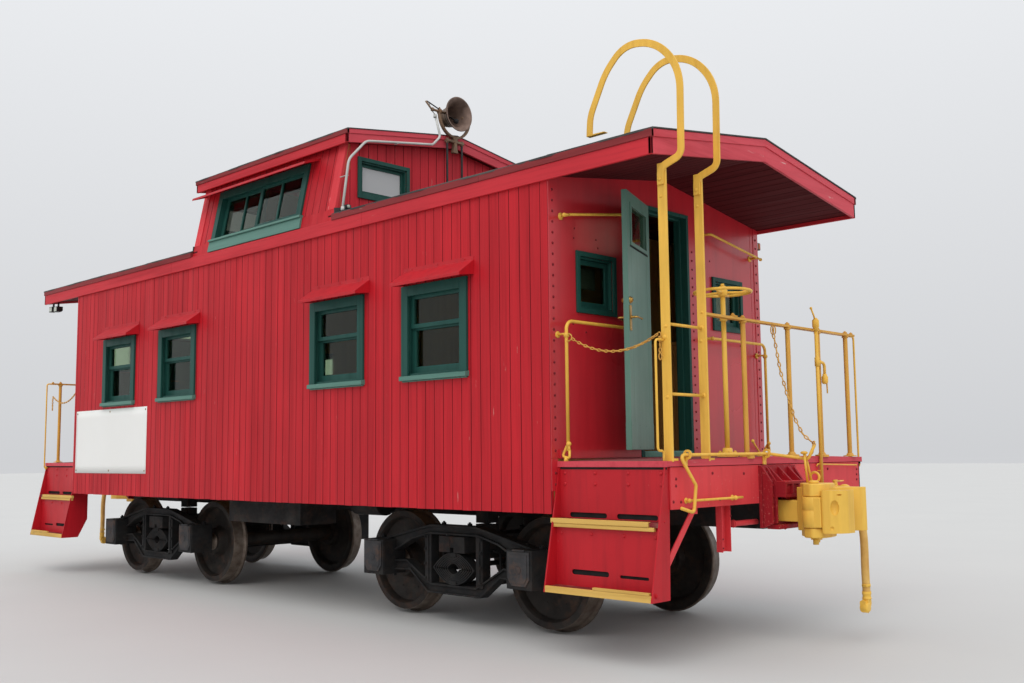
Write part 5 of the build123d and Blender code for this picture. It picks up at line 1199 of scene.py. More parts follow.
for z in (1.560, 2.250, 2.960):
    pins.rod((HINGE_X, -HINGE_Y, z - 0.060), (HINGE_X, -HINGE_Y, z + 0.060), 0.0058, 12)
    for za in (z - 0.058, z + 0.023):
        pins.rod((HINGE_X, -HINGE_Y, za), (HINGE_X, -HINGE_Y, za + 0.035), 0.0108, 14)
        pins.box(BODY_X + 0.0282, HINGE_X, -0.317, -0.309, za, za + 0.035)
    pins.ball((HINGE_X, -HINGE_Y, z + 0.062), 0.0085, 0, 10)
pins.moved(shift).both_ends().make("hinge_pins", "carbody", [GREEN_WOOD], "green_paint")

pin = Vector((HINGE_X, -HINGE_Y, 0))
swung = shift @ Matrix.Translation(pin) @ Matrix.Rotation(math.radians(-158), 4, "Z") @ Matrix.Translation(-pin)
half_turn = Matrix.Rotation(math.pi, 4, "Z") @ shift
x0, x1, z0, z1 = 3.744, 3.784, 1.348, 3.194
slab, pane, lock, light = Solid(), Solid(), Solid(), Solid()
slab.box(x0, x1, -0.301, -0.205, z0, z1, 0)
slab.box(x0, x1, 0.205, 0.301, z0, z1, 0)
slab.box(x0 + 0.0002, x1 - 0.0002, -0.205, 0.205, 3.096, z1 - 0.0003, 0)
slab.box(x0 + 0.0002, x1 - 0.0002, -0.205, 0.205, z0 + 0.0003, 2.823, 0)
# moulding round the light on both faces, and a black line under it: painted shadow under the moulding
for xf, e in ((x1, 1), (x0, -1)):
    for a, b, c, d in ((-0.226, -0.198, 2.803, 3.116), (0.198, 0.226, 2.803, 3.116), (-0.1978, 0.1978, 2.803, 2.830), (-0.1978, 0.1978, 3.089, 3.116)):
        light.box(xf + e * 0.0003, xf + e * 0.0070, a, b, c, d, 0)
    light.box(xf + e * 0.0003, xf + e * 0.0030, -0.2400, 0.2400, 2.7900, 2.8025, 1)
    light.box(xf + e * 0.0003, xf + e * 0.0022, -0.2990, 0.2990, z0 + 0.004, z0 + 0.190, 0)
    for y in (-0.27, -0.09, 0.09, 0.27):
        for z in (z0 + 0.02, z0 + 0.172):
            light.rivet((xf + e * 0.0022, y, z), (e, 0, 0), 0.004, 0, 6)
pane.box(x0 + 0.018, x0 + 0.022, -0.2048, 0.2048, 2.8233, 3.0957)
hinges = Solid()
for z in (1.560, 2.250, 2.960):
    hinges.rod((HINGE_X, -HINGE_Y, z - 0.0215), (HINGE_X, -HINGE_Y, z + 0.0215), 0.0110, 14)
    hinges.prism([(x1 + 0.0003, -0.300), (HINGE_X, -0.3002), (HINGE_X, -0.297), (x1 + 0.0038, -0.290), (x1 + 0.0038, -0.212), (x1 + 0.0003, -0.212)], "Z", z - 0.020, z + 0.020)
    for y in (-0.225, -0.250, -0.275):
        hinges.rivet((x1 + 0.0038, y, z + (0.010 if y != -0.250 else -0.010)), (1, 0, 0), 0.0042, 0, 6)
for xf, e in ((x1, 1), (x0, -1)):
    lock.prism([(0.240, 2.188), (0.243, 2.185), (0.282, 2.185), (0.285, 2.188), (0.285, 2.362), (0.282, 2.365), (0.243, 2.365), (0.240, 2.362)], "X", *sorted((xf + e * 0.0003, xf + e * 0.0050)))
    for z in (2.198, 2.352):
        lock.rivet((xf + e * 0.005, 0.2625, z), (e, 0, 0), 0.0042, 0, 6)
    lock.lathe([(0.0003, 0.026), (0.006, 0.025), (0.009, 0.019), (0.018, 0.0165), (0.0195, 0.014), (0.0195, 1e-5)], (xf, 0.262, 2.402), (e, 0, 0), 24)
    # black key slot on the knob: painted shade in the keyhole
    lock.box(*sorted((xf + e * 0.0196, xf + e * 0.0225)), 0.2608, 0.2632, 2.395, 2.409, 1)
    lock.lathe([(0.005, 0.013), (0.012, 0.0125), (0.015, 0.0080), (0.048, 0.0072)], (xf, 0.262, 2.280), (e, 0, 0), 20)
    lock.tube(rounded([(xf + e * 0.030, 0.262, 2.280), (xf + e * 0.051, 0.262, 2.280), (xf + e * 0.051, 0.150, 2.278)], 0.012, 5), 0.0080, 12, 0, taper=lambda t: 1.0 - 0.25 * t)
    lock.ball((xf + e * 0.051, 0.150, 2.278), 0.0078, 0, 10)
for name, matrix in (("front", swung), ("rear", half_turn)):
    body = f"{name}_door"
    slab.moved(matrix).make(f"{name}_door_leaf", body, [DOOR_PAINT], "green_paint", [f"door_{name}"], 0.0022)
    light.moved(matrix).make(f"{name}_door_moulding", body, [DOOR_PAINT, SHADE_BLACK], "green_paint", (), 0.0008)
    hinges.moved(matrix).make(f"{name}_door_hinges", body, [DOOR_PAINT], "green_paint")
    pane.moved(matrix).make(f"{name}_door_pane", body, [PANE], "glass", [f"door_{name}_glass"])
    lock.moved(matrix).make(f"{name}_door_lock", body, [BRASS, SHADE_BLACK], "brass", [f"door_{name}_hardware"], 0.0006)

# ------------------------------------------------------------------ ladders over the ends
posts, rungs = Solid(), Solid()
GOOSE = ((4.655, 3.055), (4.655, 3.168), (4.820, 3.222), (4.828, 3.800), (4.640, 4.020), (4.380, 4.068), (4.215, 3.915), (4.075, 3.640), (4.066, 3.502))
for y, top, marks in ((-1.250, 3.200, (2.980, 2.132, 2.062, 1.679)), (-0.840, 3.200, (2.980, 2.257, 2.066))):
    posts.box(RAIL_X - 0.032, RAIL_X + 0.032, y - 0.009, y + 0.009, 1.2700, top, 0)
    # foot angle on the deck
    posts.box(RAIL_X - 0.030, RAIL_X + 0.030, y + 0.0092, y + 0.060, 1.2760, 1.2910, 0)
    points = list(GOOSE)
    ground_z = gable(y, ROOF_TOP, ROOF_Y) + COVER_T
    if y > -1:
        points[-1] = (4.066, ground_z + 0.010)
    line = rounded([(a, y - 0.0156, b) for a, b in points], (0.060, 0.060, 0.380, 0.380, 0.240, 0.450, 0.260), 9)
    posts.bar(line, 0.050, 0.0125, (1, 0, 0), 0, 0.0018)
    if y > -1:
        low, high = gable(y - 0.022, ROOF_TOP, ROOF_Y) + COVER_T + 0.003, gable(y + 0.170, ROOF_TOP, ROOF_Y) + COVER_T + 0.003
        posts.prism([(y - 0.022, low), (y + 0.170, high), (y + 0.170, high + 0.010), (y - 0.022, low + 0.010)], "X", 4.035, 4.090, 0)
        for dy in (0.050, 0.130):
            zz = gable(y + dy, ROOF_TOP, ROOF_Y) + COVER_T + 0.013
            rungs.hexhead((4.062, y + dy, zz), (0, 0, 1), 0.011, 0.008)
    else:
        # this foot has sprung up off the roof
        posts.prism([(4.042, 3.5025), (4.199, 3.5025), (4.199, 3.5090), (4.120, 3.5118), (4.042, 3.5118)], "Y", y - 0.0215, y + 0.0175, 0)
    rungs.rivet((RAIL_X - 0.004, y - 0.022, 3.090), (0, -1, 0), 0.013, 0, 12)
    for k, z in enumerate(marks):
        rungs.rivet((RAIL_X + (0.006 if k % 2 else -0.006), y - 0.009, z), (0, -1, 0), 0.016 if z == 2.062 else 0.0115, 0, 12)
    for z in (1.700, 2.150):
        rungs.lathe([(0.0, 0.0180), (0.004, 0.0165), (0.007, 0.0105), (0.007, 1e-5)], (RAIL_X, y + (0.009 if y < -1 else -0.009), z), (0, 1 if y < -1 else -1, 0), 16)
for z in (1.700, 2.150):
    rungs.rod((RAIL_X, -1.2405, z), (RAIL_X, -0.8495, z), 0.0100, 16)
for name, piece, fits, swap, bevel in (("ladder_posts", posts, [YELLOW_STEEL], True, 0.002), ("ladder_rungs", rungs, [YELLOW_STEEL], False, 0.0)):
    piece.make(f"front_{name}", "carbody", fits, "yellow_paint", ["ladder_front"] if swap else (), bevel, 50)
    piece.turned().make(f"rear_{name}", "carbody", fits, "yellow_paint", ["ladder_rear"] if swap else (), bevel, 50)

# ------------------------------------------------------------------ end railings
rail, bolts = Solid(), Solid()
line = rounded([(RAIL_X, -0.8305, 2.2485), (RAIL_X, -0.5, 2.2485), (RAIL_X, 1.290, 2.2485)], 0.01, 1)
rail.box(RAIL_X - 0.025, RAIL_X + 0.025, -0.8305, 1.290, 2.2402, 2.2570, 0)
rail.box(RAIL_X - 0.022, RAIL_X + 0.022, -0.8305, -0.8225, 2.205, 2.2400, 0)
for y in (-0.338, 0.271, 0.721, 1.173):
    rail.rod((RAIL_X, y, 1.2750), (RAIL_X, y, 2.2400), 0.0178, 18, 0)
    rail.lathe([(-0.014, 0.052), (0.009 - crown(y), 0.052), (0.012 - crown(y), 0.030), (0.026 - crown(y), 0.024), (0.030 - crown(y), 0.0178)], (RAIL_X, y, DECK_Z), (0, 0, 1), 20)
    rail.lathe([(0.0, 0.0178), (0.004, 0.026), (0.016, 0.026), (0.016, 0.010)], (RAIL_X, y, 2.2235), (0, 0, 1), 18)
    bolts.hexhead((RAIL_X, y, 2.2570), (0, 0, 1), 0.0150, 0.012)
bolts.hexhead((RAIL_X + 0.004, 1.265, 2.2570), (0, 0, 1), 0.012, 0.010)
# clamp that holds the brake's staff to the rail
rail.box(RAIL_X - 0.028, RAIL_X + 0.028, -0.482, -0.444, 2.2573, 2.2660, 0)
rail.box(RAIL_X - 0.078, RAIL_X - 0.0255, -0.478, -0.448, 2.2420, 2.2600, 0)
bolts.hexhead((RAIL_X, -0.463, 2.2660), (0, 0, 1), 0.012, 0.010)
rail.tube(rounded([(4.640, 1.270, 2.2465), (4.640, 1.345, 2.2465), (4.640, 1.345, 1.215), (4.640, 1.3045, 1.215)], 0.024, 5), 0.008, 12, 1)
rail.tube(rounded([(4.640, -1.2593, 2.045), (4.640, -1.345, 2.045), (4.640, -1.345, 1.340), (4.640, -1.284, 1.340), (4.640, -1.284, 1.276)], 0.024, 5), 0.008, 12, 1)
for s in (1,):
    ring = [(4.640 + 0.016 * math.sin(a), s * (1.345 - 0.016), 1.215 + 0.016 * math.cos(a)) for a in [2 * math.pi * q / 14 for q in range(14)]]
    rail.tube(ring, 0.006, 8, 1, closed=True, up=(0, 1, 0))
rail.both_ends().make("end_rails", "carbody", [YELLOW_RAIL, YELLOW_STEEL], "yellow_paint", ["end_railings"], 0.0015, 50)
bolts.both_ends().make("rail_bolts", "carbody", [YELLOW_RAIL], "yellow_paint")

# ------------------------------------------------------------------ handrails and grab irons on the end walls
grips = Solid()
x = BODY_X + 0.088
for side in (-1, 1):
    s = side
    path = rounded([(x, s * 1.295, 1.345), (x, s * 1.295, 2.240), (x, s * 0.480, 2.240), (BODY_X, s * 0.480, 2.240)], 0.060, 7)
    grips.tube(path, 0.012, 14)
    # forged eye that stands on the deck
    ring = rounded([(x + 0.012, s * 1.295, 1.350), (x, s * 1.295, 1.400), (x - 0.052, s * 1.295, 1.310), (x + 0.012, s * 1.295, 1.296), (x + 0.012, s * 1.295, 1.350)], 0.012, 4)
    grips.tube(ring, 0.0090, 10, up=(0, 1, 0))
    grips.rod((x - 0.020, s * 1.295, 1.274), (x - 0.020, s * 1.295, 1.304), 0.018, 16, 0, 0.0125)
    grips.ball((x + 0.006, s * 1.295, 1.394), 0.0180, 0, 14)
    # brace to the wall, its knob and the chain's ring
    grips.rod((BODY_X + 0.0065, s * 1.295, 2.150), (x, s * 1.295, 2.150), 0.008, 12)
    grips.ball((x, s * 1.295, 2.140), 0.0215, 0, 16)
    grips.lathe([(0.0, 0.024), (0.005, 0.024), (0.007, 0.012), (0.007, 1e-5)], (BODY_X + 0.006, s * 1.295, 2.150), (1, 0, 0), 16)
    grips.ball((BODY_X + 0.010, s * 0.480, 2.240), 0.020, 0, 14)
    grips.ball((x, s * 0.500, 2.240), 0.0175, 0, 14)
    a, b = (s * 1.240, 2.995), (s * 0.520, 3.104)
    path = rounded([(BODY_X, a[0], a[1]), (BODY_X + 0.080, a[0], a[1]), (BODY_X + 0.080, b[0], b[1]), (BODY_X, b[0], b[1])], 0.030, 6)
    grips.tube(path, 0.010, 14)
    for c in (a, b):
        grips.lathe([(0.0003, 0.026), (0.006, 0.026), (0.010, 0.014), (0.014, 0.010)], (BODY_X, c[0], c[1]), (1, 0, 0), 16)
    grips.ball((3.842, s * 1.290, 2.986), 0.0145, 0, 12)
    grips.rod((3.842, s * 1.290, 2.986), (3.842, s * 1.235, 2.995), 0.009, 12)
grips.both_ends().make("wall_handrails", "carbody", [YELLOW_STEEL], "yellow_paint", ["handrails"])

# ------------------------------------------------------------------ chains across the gangways and the gate
# the chain of the front right gangway is gone
chains, far_chain = Solid(), Solid()
for s, links in ((-1, chains), (1, far_chain)):
    ring = [(3.872 + 0.030 * math.cos(a), s * 1.300, 2.122 + 0.026 * math.sin(a)) for a in [2 * math.pi * q / 16 for q in range(16)]]
    links.tube(ring, 0.0045, 8, closed=True, up=(0, 1, 0))
    chain_links(links, sag((3.902, s * 1.300, 2.112), (4.610, s * 1.275, 2.085), 0.100, 26), 0.0042, 0.038, 0, 6)
    # clip at the ladder's end
    hook = [(4.606, s * 1.275, 2.088), (4.622, s * 1.275, 2.098), (4.634, s * 1.275, 2.086), (4.628, s * 1.275, 2.066), (4.610, s * 1.275, 2.068)]
    links.tube(rounded(hook, 0.008, 4), 0.0035, 8)
    chain_links(links, [(4.626, s * 1.276, 2.066), (4.626, s * 1.276, 1.962)], 0.0042, 0.038, 0, 6)
    ring = [(4.626 + 0.011 * math.cos(a), s * 1.276, 1.940 + 0.022 * math.sin(a)) for a in [2 * math.pi * q / 16 for q in range(16)]]
    links.tube(ring, 0.0040, 8, closed=True, up=(0, 1, 0))
for dy in (-0.012, 0.014):
    ring = [(4.683 + 0.012 * math.cos(a), 0.020 + dy, 2.200 + 0.030 * math.sin(a)) for a in [2 * math.pi * q / 18 for q in range(18)]]
    chains.tube(ring, 0.0045, 8, closed=True, up=(0, 1, 0))
drape = [(4.681, 0.020, 2.172), (4.691, 0.020, 2.136), (4.730, 0.020, 1.898), (4.780, 0.020, 1.720), (4.830, 0.020, 1.558), (4.889, 0.020, 1.442), (4.964, 0.020, 1.384), (4.985, 0.004, 1.390)]
chain_links(chains, rounded(drape, 0.15, 5), 0.0046, 0.044, 0, 6)
chain_links(chains, [(4.982, 0.012, 1.386), (4.966, 0.020, 1.350), (4.946, 0.020, 1.300)], 0.0046, 0.044, 0, 6, 0.7)
chains.both_ends().make("gangway_chains", "carbody", [CHAIN], "yellow_paint")
far_chain.moved(Matrix.Rotation(math.pi, 4, "Z")).make("rear_left_chain", "carbody", [CHAIN], "yellow_paint")

# ------------------------------------------------------------------ hand brakes
brake = Solid()
bx, by = 4.610, -0.511
ring = [(bx + 0.194 * math.cos(a), by + 0.194 * math.sin(a), 2.431) for a in [2 * math.pi * q / 64 for q in range(64)]]
brake.tube(ring, 0.0102, 12, closed=True)
for k in range(4):
    a = math.radians(20 + 90 * k)
    c, d = math.cos(a), math.sin(a)
    path = [(bx + 0.020 * c, by + 0.020 * d, 2.427), (bx + 0.060 * c, by + 0.060 * d, 2.425), (bx + 0.130 * c, by + 0.130 * d, 2.421), (bx + 0.192 * c, by + 0.192 * d, 2.431)]
    brake.tube(rounded(path, 0.08, 4), 0.0090, 10)
brake.lathe([(2.399, 0.0175), (2.405, 0.030), (2.415, 0.034), (2.443, 0.034), (2.449, 0.028), (2.449, 1e-5)], (bx, by, 0), (0, 0, 1), 24)
brake.rod((bx, by, 2.449), (bx, by, 2.4745), 0.0230, 6)
brake.rod((bx, by, 2.4740), (bx, by, 2.4900), 0.0130, 12)
brake.rod((bx, by, DECK_Z + 0.020), (bx, by, 2.405), 0.0172, 18)
brake.lathe([(0.0004, 0.072), (0.020, 0.070), (0.028, 0.062), (0.030, 0.036), (0.056, 0.033), (0.060, 0.026), (0.061, 0.0172)], (bx, by, DECK_Z), (0, 0, 1), 30)
for k in range(4):
    a = math.radians(45 + 90 * k)
    brake.hexhead((bx + 0.052 * math.cos(a), by + 0.052 * math.sin(a), DECK_Z + 0.0285), (0, 0, 1), 0.0085, 0.007)
brake.lathe([(0.0, 0.0175), (0.003, 0.0255), (0.028, 0.0255), (0.031, 0.0175)], (bx, by, 2.228), (0, 0, 1), 20)
brake.both_ends().make("brake_wheels", "carbody", [YELLOW_STEEL], "yellow_paint", ["hand_brakes"])

# ------------------------------------------------------------------ conductor's valve pipes
vx, vy = 4.699, 0.620
valve = Solid()
valve.rod((vx, vy, 1.050), (vx, vy, 2.262), 0.0135, 16)
valve.lathe([(2.236, 0.0135), (2.240, 0.021), (2.262, 0.021), (2.268, 0.0260), (2.318, 0.0260), (2.326, 0.018), (2.336, 0.012), (2.336, 1e-5)], (vx, vy, 0), (0, 0, 1), 20)
valve.tube(rounded([(vx, vy - 0.004, 2.316), (vx + 0.002, vy - 0.030, 2.356), (vx, vy - 0.062, 2.404)], 0.03, 3), 0.0065, 10)
valve.ball((vx, vy - 0.063, 2.406), 0.0105, 0, 10)
valve.lathe([(1.966, 0.0135), (1.968, 0.0185), (2.034, 0.0185), (2.036, 0.0135)], (vx, vy, 0), (0, 0, 1), 18)
valve.tube(rounded([(vx, vy, 2.000), (vx, vy + 0.110, 2.000), (vx, vy + 0.110, 1.900)], 0.035, 5), 0.0112, 14)
valve.lathe([(0.0, 0.0112), (0.003, 0.0165), (0.018, 0.0165), (0.020, 0.0112)], (vx, vy + 0.030, 2.000), (0, 1, 0), 16)
valve.lathe([(1.836, 0.010), (1.838, 0.018), (1.850, 0.024), (1.892, 0.024), (1.900, 0.017), (1.912, 0.0165), (1.914, 0.0112)], (vx, vy + 0.110, 0), (0, 0, 1), 20)
valve.tube(rounded([(vx, vy + 0.126, 1.868), (vx, vy + 0.138, 1.862), (vx, vy + 0.142, 1.766)], 0.012, 4), 0.0055, 10)
for z in (1.180, 2.244):
    valve.box(4.6752 if z < 2 else 4.6805, vx, vy - 0.020, vy + 0.020, z - 0.004, z + 0.004)
valve.both_ends().make("valve_risers", "carbody", [YELLOW_STEEL], "yellow_paint", ["valve_pipes"])
# small lever that stands on the deck
lever = Solid()
lever.tube(rounded([(4.600, -0.166, 1.400), (4.600, -0.140, 1.372), (4.600, -0.078, 1.317)], 0.02, 3), 0.0062, 10)
lever.ball((4.600, -0.168, 1.402), 0.0125, 0, 12)
lever.box(4.588, 4.612, -0.098, -0.060, DECK_Z + 0.0003, 1.325, 0)
lever.both_ends().make("deck_levers", "carbody", [YELLOW_STEEL], "yellow_paint", (), 0.0008)

# ------------------------------------------------------------------ draft castings and couplers
def soft_plan(points, r, steps=4):
    """Closed plan outline with its corners rounded."""
    closed = [Vector((p[0], p[1], 0)) for p in points]
    start = (closed[-1] + closed[0]) / 2
    line = rounded([start] + closed + [start], r, steps)
    return [(p.x, p.y) for p in line[:-1]]


def carve(obj, cutters):
    """Cuts the cutters' shapes out of a piece and keeps the result as its mesh."""
    for k, cutter in enumerate(cutters):
        mod = obj.modifiers.new(f"recess_{k}", "BOOLEAN")
        mod.operation, mod.solver, mod.object = "DIFFERENCE", "EXACT", cutter
    bpy.context.view_layer.update()
    mesh = bpy.data.meshes.new_from_object(obj.evaluated_get(bpy.context.evaluated_depsgraph_get()))
    obj.modifiers.clear()
    obj.data = mesh
    for cutter in cutters:
        bpy.data.objects.remove(cutter)


def cutter_of(solid, name):
    mesh = bpy.data.meshes.new(name)
    mesh.from_pydata(solid.v, [], solid.f)
    mesh.update()
    obj = bpy.data.objects.new(name, mesh)
    bpy.context.scene.collection.objects.link(obj)
    return obj


cast, cast_heads = Solid(), Solid()
panel(cast, -0.235, 0.235, 0.800, 1.230, [(-0.085, 0.085, 0.835, 1.000)], lambda u, v, d: (4.675 + d, u, v), 0.0003, 0.0235, 0)
# horn: a body with ribs on its face
cast.box(4.6990, 4.8190, -0.150, 0.150, 1.012, 1.1190, 0)
for a, b, c, d in ((-0.150, 0.150, 1.101, 1.120), (-0.150, 0.150, 1.010, 1.032), (-0.150, -0.128, 1.0325, 1.1005), (0.128, 0.150, 1.0325, 1.1005), (-0.050, -0.034, 1.0325, 1.1005), (0.034, 0.050, 1.0325, 1.1005)):
    cast.box(4.8192, 4.8345, a, b, c, d, 0)
cast.box(4.7005, 4.8330, -0.1485, 0.1485, 1.1192, 1.1222, 1)
for y in (-0.138, -0.009, 0.120):
    cast.prism([(4.6990, 1.2220), (4.6990, 1.1225), (4.8050, 1.1225), (4.7900, 1.1340)], "Y", y, y + 0.018, 0)
for y in (-0.225, -0.165, 0.145, 0.205):
    cast.prism([(4.6990, 0.802), (4.7700, 0.832), (4.7700, 1.120), (4.6990, 1.222)], "Y", y, y + 0.020, 0)
for a, b in ((-0.2048, -0.1652), (0.1652, 0.2048)):
    for z in (0.870, 0.945, 1.020, 1.095):
        cast.box(4.6990, 4.7560, a, b, z - 0.008, z + 0.008, 0)
cast.box(4.6990, 4.7950, -0.180, -0.030, 0.792, 0.8215, 0)
cast.box(4.6990, 4.7950, 0.030, 0.180, 0.792, 0.8215, 0)
cast.box(4.7480, 4.7950, -0.0298, 0.0298, 0.792, 0.8215, 0)
for y in (-0.188, 0.188):
    for z in (0.824, 0.905, 0.982, 1.058, 1.160, 1.205):
        cast_heads.rivet((4.6985, y * (1.0 if z < 1.14 else 1.13), z), (1, 0, 0), 0.0115, 0, 10)
for y in (-0.105, 0.105):
    cast_heads.hexhead((4.795, y, 0.807), (1, 0, 0), 0.013, 0.010)
cast.both_ends().make("draft_gear_castings", "carbody", [CAST_RED, SILL_PAINT], "red_paint_steel", ["draft_castings"], 0.0042, 40, 3)
cast_heads.both_ends().make("draft_gear_rivets", "carbody", [CAST_RED], "red_paint_steel")

HEAD = ((4.870, 0.066), (4.960, 0.140), (5.090, 0.196), (5.238, 0.205), (5.262, 0.182), (5.250, 0.138), (5.190, 0.104), (5.122, 0.040), (5.098, -0.040), (5.010, -0.092), (4.940, -0.112), (4.870, -0.066))
LUG = ((4.900, 0.060), (5.100, 0.060), (5.124, -0.060), (5.118, -0.180), (5.062, -0.222), (4.992, -0.196), (4.940, -0.112), (4.900, -0.070))
NOSE = ((5.122, -0.214), (5.190, -0.202), (5.242, -0.158), (5.266, -0.096), (5.268, -0.020), (5.248, 0.024), (5.222, 0.020), (5.204, -0.040), (5.168, -0.084), (5.122, -0.100))
for end, label in ((1, "front"), (-1, "rear")):
    turn = Matrix.Rotation(0 if end == 1 else math.pi, 4, "Z")
    head = Solid()
    head.box(4.300, 4.905, -0.064, 0.064, 0.841, 0.989, 0)
    head.prism(soft_plan(HEAD, 0.020), "Z", 0.785, 1.080, 0)
    # guard arm's wing is lower than the head's middle
    head.prism(soft_plan(((4.905, 0.050), (4.960, 0.100), (5.100, 0.100), (5.095, -0.060), (4.960, -0.080), (4.905, -0.050)), 0.02), "Z", 1.0795, 1.0880, 0)
    head.moved(turn).make(f"{label}_coupler_head", "carbody", [YELLOW_CAST], "yellow_paint", ["couplers"], 0.011, 40, 3)
    lugs = Solid()
    lugs.prism(soft_plan(LUG, 0.030), "Z", 0.746, 0.812, 0)
    lugs.prism(soft_plan(LUG, 0.030), "Z", 1.0225, 1.1095, 0)
    lugs.moved(turn).make(f"{label}_coupler_lugs", "carbody", [YELLOW_CAST], "yellow_paint", (), 0.009, 40, 3)
    hub = Solid()
    hub.lathe([(0.8145, 0.060), (0.8145, 0.079), (0.8190, 0.0838), (0.9255, 0.0838), (0.9285, 0.0805), (0.9320, 0.0805), (0.9350, 0.0838), (1.0165, 0.0838), (1.0205, 0.079), (1.0205, 0.060)], (5.046, -0.142, 0), (0, 0, 1), 40)
    hub.lathe([(1.1095, 0.030), (1.1130, 0.0335), (1.1230, 0.0335), (1.1290, 0.026), (1.1300, 1e-5)], (5.046, -0.142, 0), (0, 0, 1), 24)
    hub.rod((5.046, -0.142, 0.700), (5.046, -0.142, 0.7465), 0.0195, 18)
    hub.rod((5.030, -0.142, 0.718), (5.066, -0.142, 0.718), 0.005, 8)
    hub.rod((4.985, -0.020, 0.705), (4.985, -0.020, 0.7855), 0.024, 18)
    hub.box(4.955, 5.015, -0.045, 0.005, 0.722, 0.748, 0)
    hub.moved(turn).make(f"{label}_coupler_hub", "carbody", [YELLOW_CAST], "yellow_paint")
    link = Solid()
    link.prism(soft_plan(((5.048, -0.222), (5.126, -0.2145), (5.126, -0.092), (5.048, -0.082)), 0.006), "Z", 0.8175, 1.0165, 0)
    link.moved(turn).make(f"{label}_coupler_link", "carbody", [YELLOW_CAST], "yellow_paint", (), 0.008, 40, 3)
    nose = Solid()
    nose.prism(soft_plan(NOSE, 0.022), "Z", 0.7815, 1.0645, 0)
    piece = nose.moved(turn).make(f"{label}_coupler_nose", "carbody", [YELLOW_CAST], "yellow_paint", (), 0.012, 40, 3)
    cutters = []
    for (cx, cy, cz), radii in (((5.216, -0.186, 0.950), (0.030, 0.030, 0.052)), ((5.240, -0.163, 1.036), (0.018, 0.024, 0.0055)), ((5.200, -0.200, 0.815), (0.015, 0.015, 0.015))):
        ball = Solid()
        ball.ball((0, 0, 0), 1.0, 0, 24)
        cutters.append(cutter_of(ball.moved(turn @ Matrix.Translation((cx, cy, cz)) @ Matrix.Diagonal((*radii, 1))), f"{label}_recess_{len(cutters)}"))
    for c in cutters:
        bm = bmesh.new()
        bm.from_mesh(c.data)
        bmesh.ops.remove_doubles(bm, verts=bm.verts, dist=1e-5)
        bmesh.ops.recalc_face_normals(bm, faces=bm.faces)
        bm.to_mesh(c.data)
        bm.free()
    carve(piece, cutters)

# ------------------------------------------------------------------ uncoupling levers
cut = Solid()
x = 4.699
path = [(x + 0.038, -1.243, 0.980), (x + 0.038, -1.112, 0.948), (x + 0.036, -1.080, 1.120), (x, -1.200, 1.312), (x, -0.135, 1.312), (x + 0.235, 0.0, 1.272), (x + 0.285, 0.004, 1.370)]
cut.tube(rounded(path, 0.026, 6), 0.0110, 14)
cut.ball((x + 0.038, -1.243, 0.980), 0.0115, 0, 12)
for y in (-1.120, -0.165):
    ring = [(x + 0.0060 + 0.0245 * math.cos(a), y, 1.314 + 0.0245 * math.sin(a)) for a in [2 * math.pi * q / 20 for q in range(20)]]
    cut.sweep(ring, [(-0.0075, -0.004), (0.0075, -0.004), (0.0075, 0.004), (-0.0075, 0.004)], (0, 1, 0), 0, False, True)
    cut.prism([(4.6833, 1.238), (4.6893, 1.238), (4.6893, 1.300), (4.6833, 1.300)], "Y", y - 0.021, y + 0.021, 0)
    cut.box(4.6893, 4.7000, y - 0.0065, y + 0.0065, 1.272, 1.296, 0)
    for z in (1.250, 1.286):
        cut.rivet((4.6893, y + 0.013, z), (1, 0, 0), 0.0065, 0)
# lock lifter: its stem, mushroom head and the ring that the lever's end goes through
cut.tube(rounded([(4.900, 0.012, 1.318), (4.918, 0.016, 1.240), (4.939, 0.024, 1.112)], 0.1, 3), 0.0092, 12)
cut.lathe([(0.0, 0.0095), (0.004, 0.023), (0.010, 0.026), (0.017, 0.022), (0.021, 0.010), (0.021, 1e-5)], (4.930, -0.048, 1.306), (-0.05, 0.1, 1), 20)
cut.rod((4.930, -0.048, 1.308), (4.938, -0.030, 1.112), 0.0082, 12)
ring = [(4.950 + 0.034 * math.cos(a), 0.052, 1.146 + 0.034 * math.sin(a)) for a in [2 * math.pi * q / 24 for q in range(24)]]
cut.tube(ring, 0.0092, 10, closed=True, up=(0, 1, 0))
cut.box(4.930, 4.972, 0.036, 0.068, 1.0885, 1.116, 0)
cut.both_ends().make("cut_levers", "carbody", [YELLOW_STEEL], "yellow_paint", ["uncoupling_levers"])

# ------------------------------------------------------------------ angle cocks and air hoses
HOSE = ((5.078, 0.340, 0.985), (5.110, 0.343, 0.922), (5.133, 0.347, 0.846), (5.144, 0.350, 0.756), (5.147, 0.352, 0.650), (5.144, 0.351, 0.500), (5.148, 0.352, 0.350))
cock = Solid()
cock.tube(rounded([(4.300, 0.340, 0.935), (4.760, 0.340, 0.935), (4.930, 0.340, 1.040)], 0.120, 8), 0.0218, 18)
a, b = Vector((4.900, 0.340, 1.021)), Vector((5.037, 0.340, 1.068))
along = (b - a).normalized()
cock.lathe([(0.000, 0.0218), (0.000, 0.031), (0.026, 0.031), (0.028, 0.026), (0.036, 0.0255), (0.048, 0.0325), (0.092, 0.0325), (0.104, 0.026), (0.112, 0.0245)], a, along, 8)
cock.tube(rounded([a + along * 0.104, (5.022, 0.340, 1.068), (5.046, 0.340, 1.058), (5.078, 0.340, 0.990)], 0.030, 6), 0.0262, 18)
cock.lathe([(0.0, 0.0262), (0.0, 0.0315), (0.024, 0.0315), (0.026, 0.0275), (0.026, 1e-5)], (5.0655, 0.340, 1.0115), (0.453, 0.0, -0.891), 6)
cock.rod((4.958, 0.340, 1.062), (4.951, 0.340, 1.112), 0.0145, 16)
cock.rod((4.951, 0.340, 1.1085), (4.950, 0.340, 1.1205), 0.0185, 6)
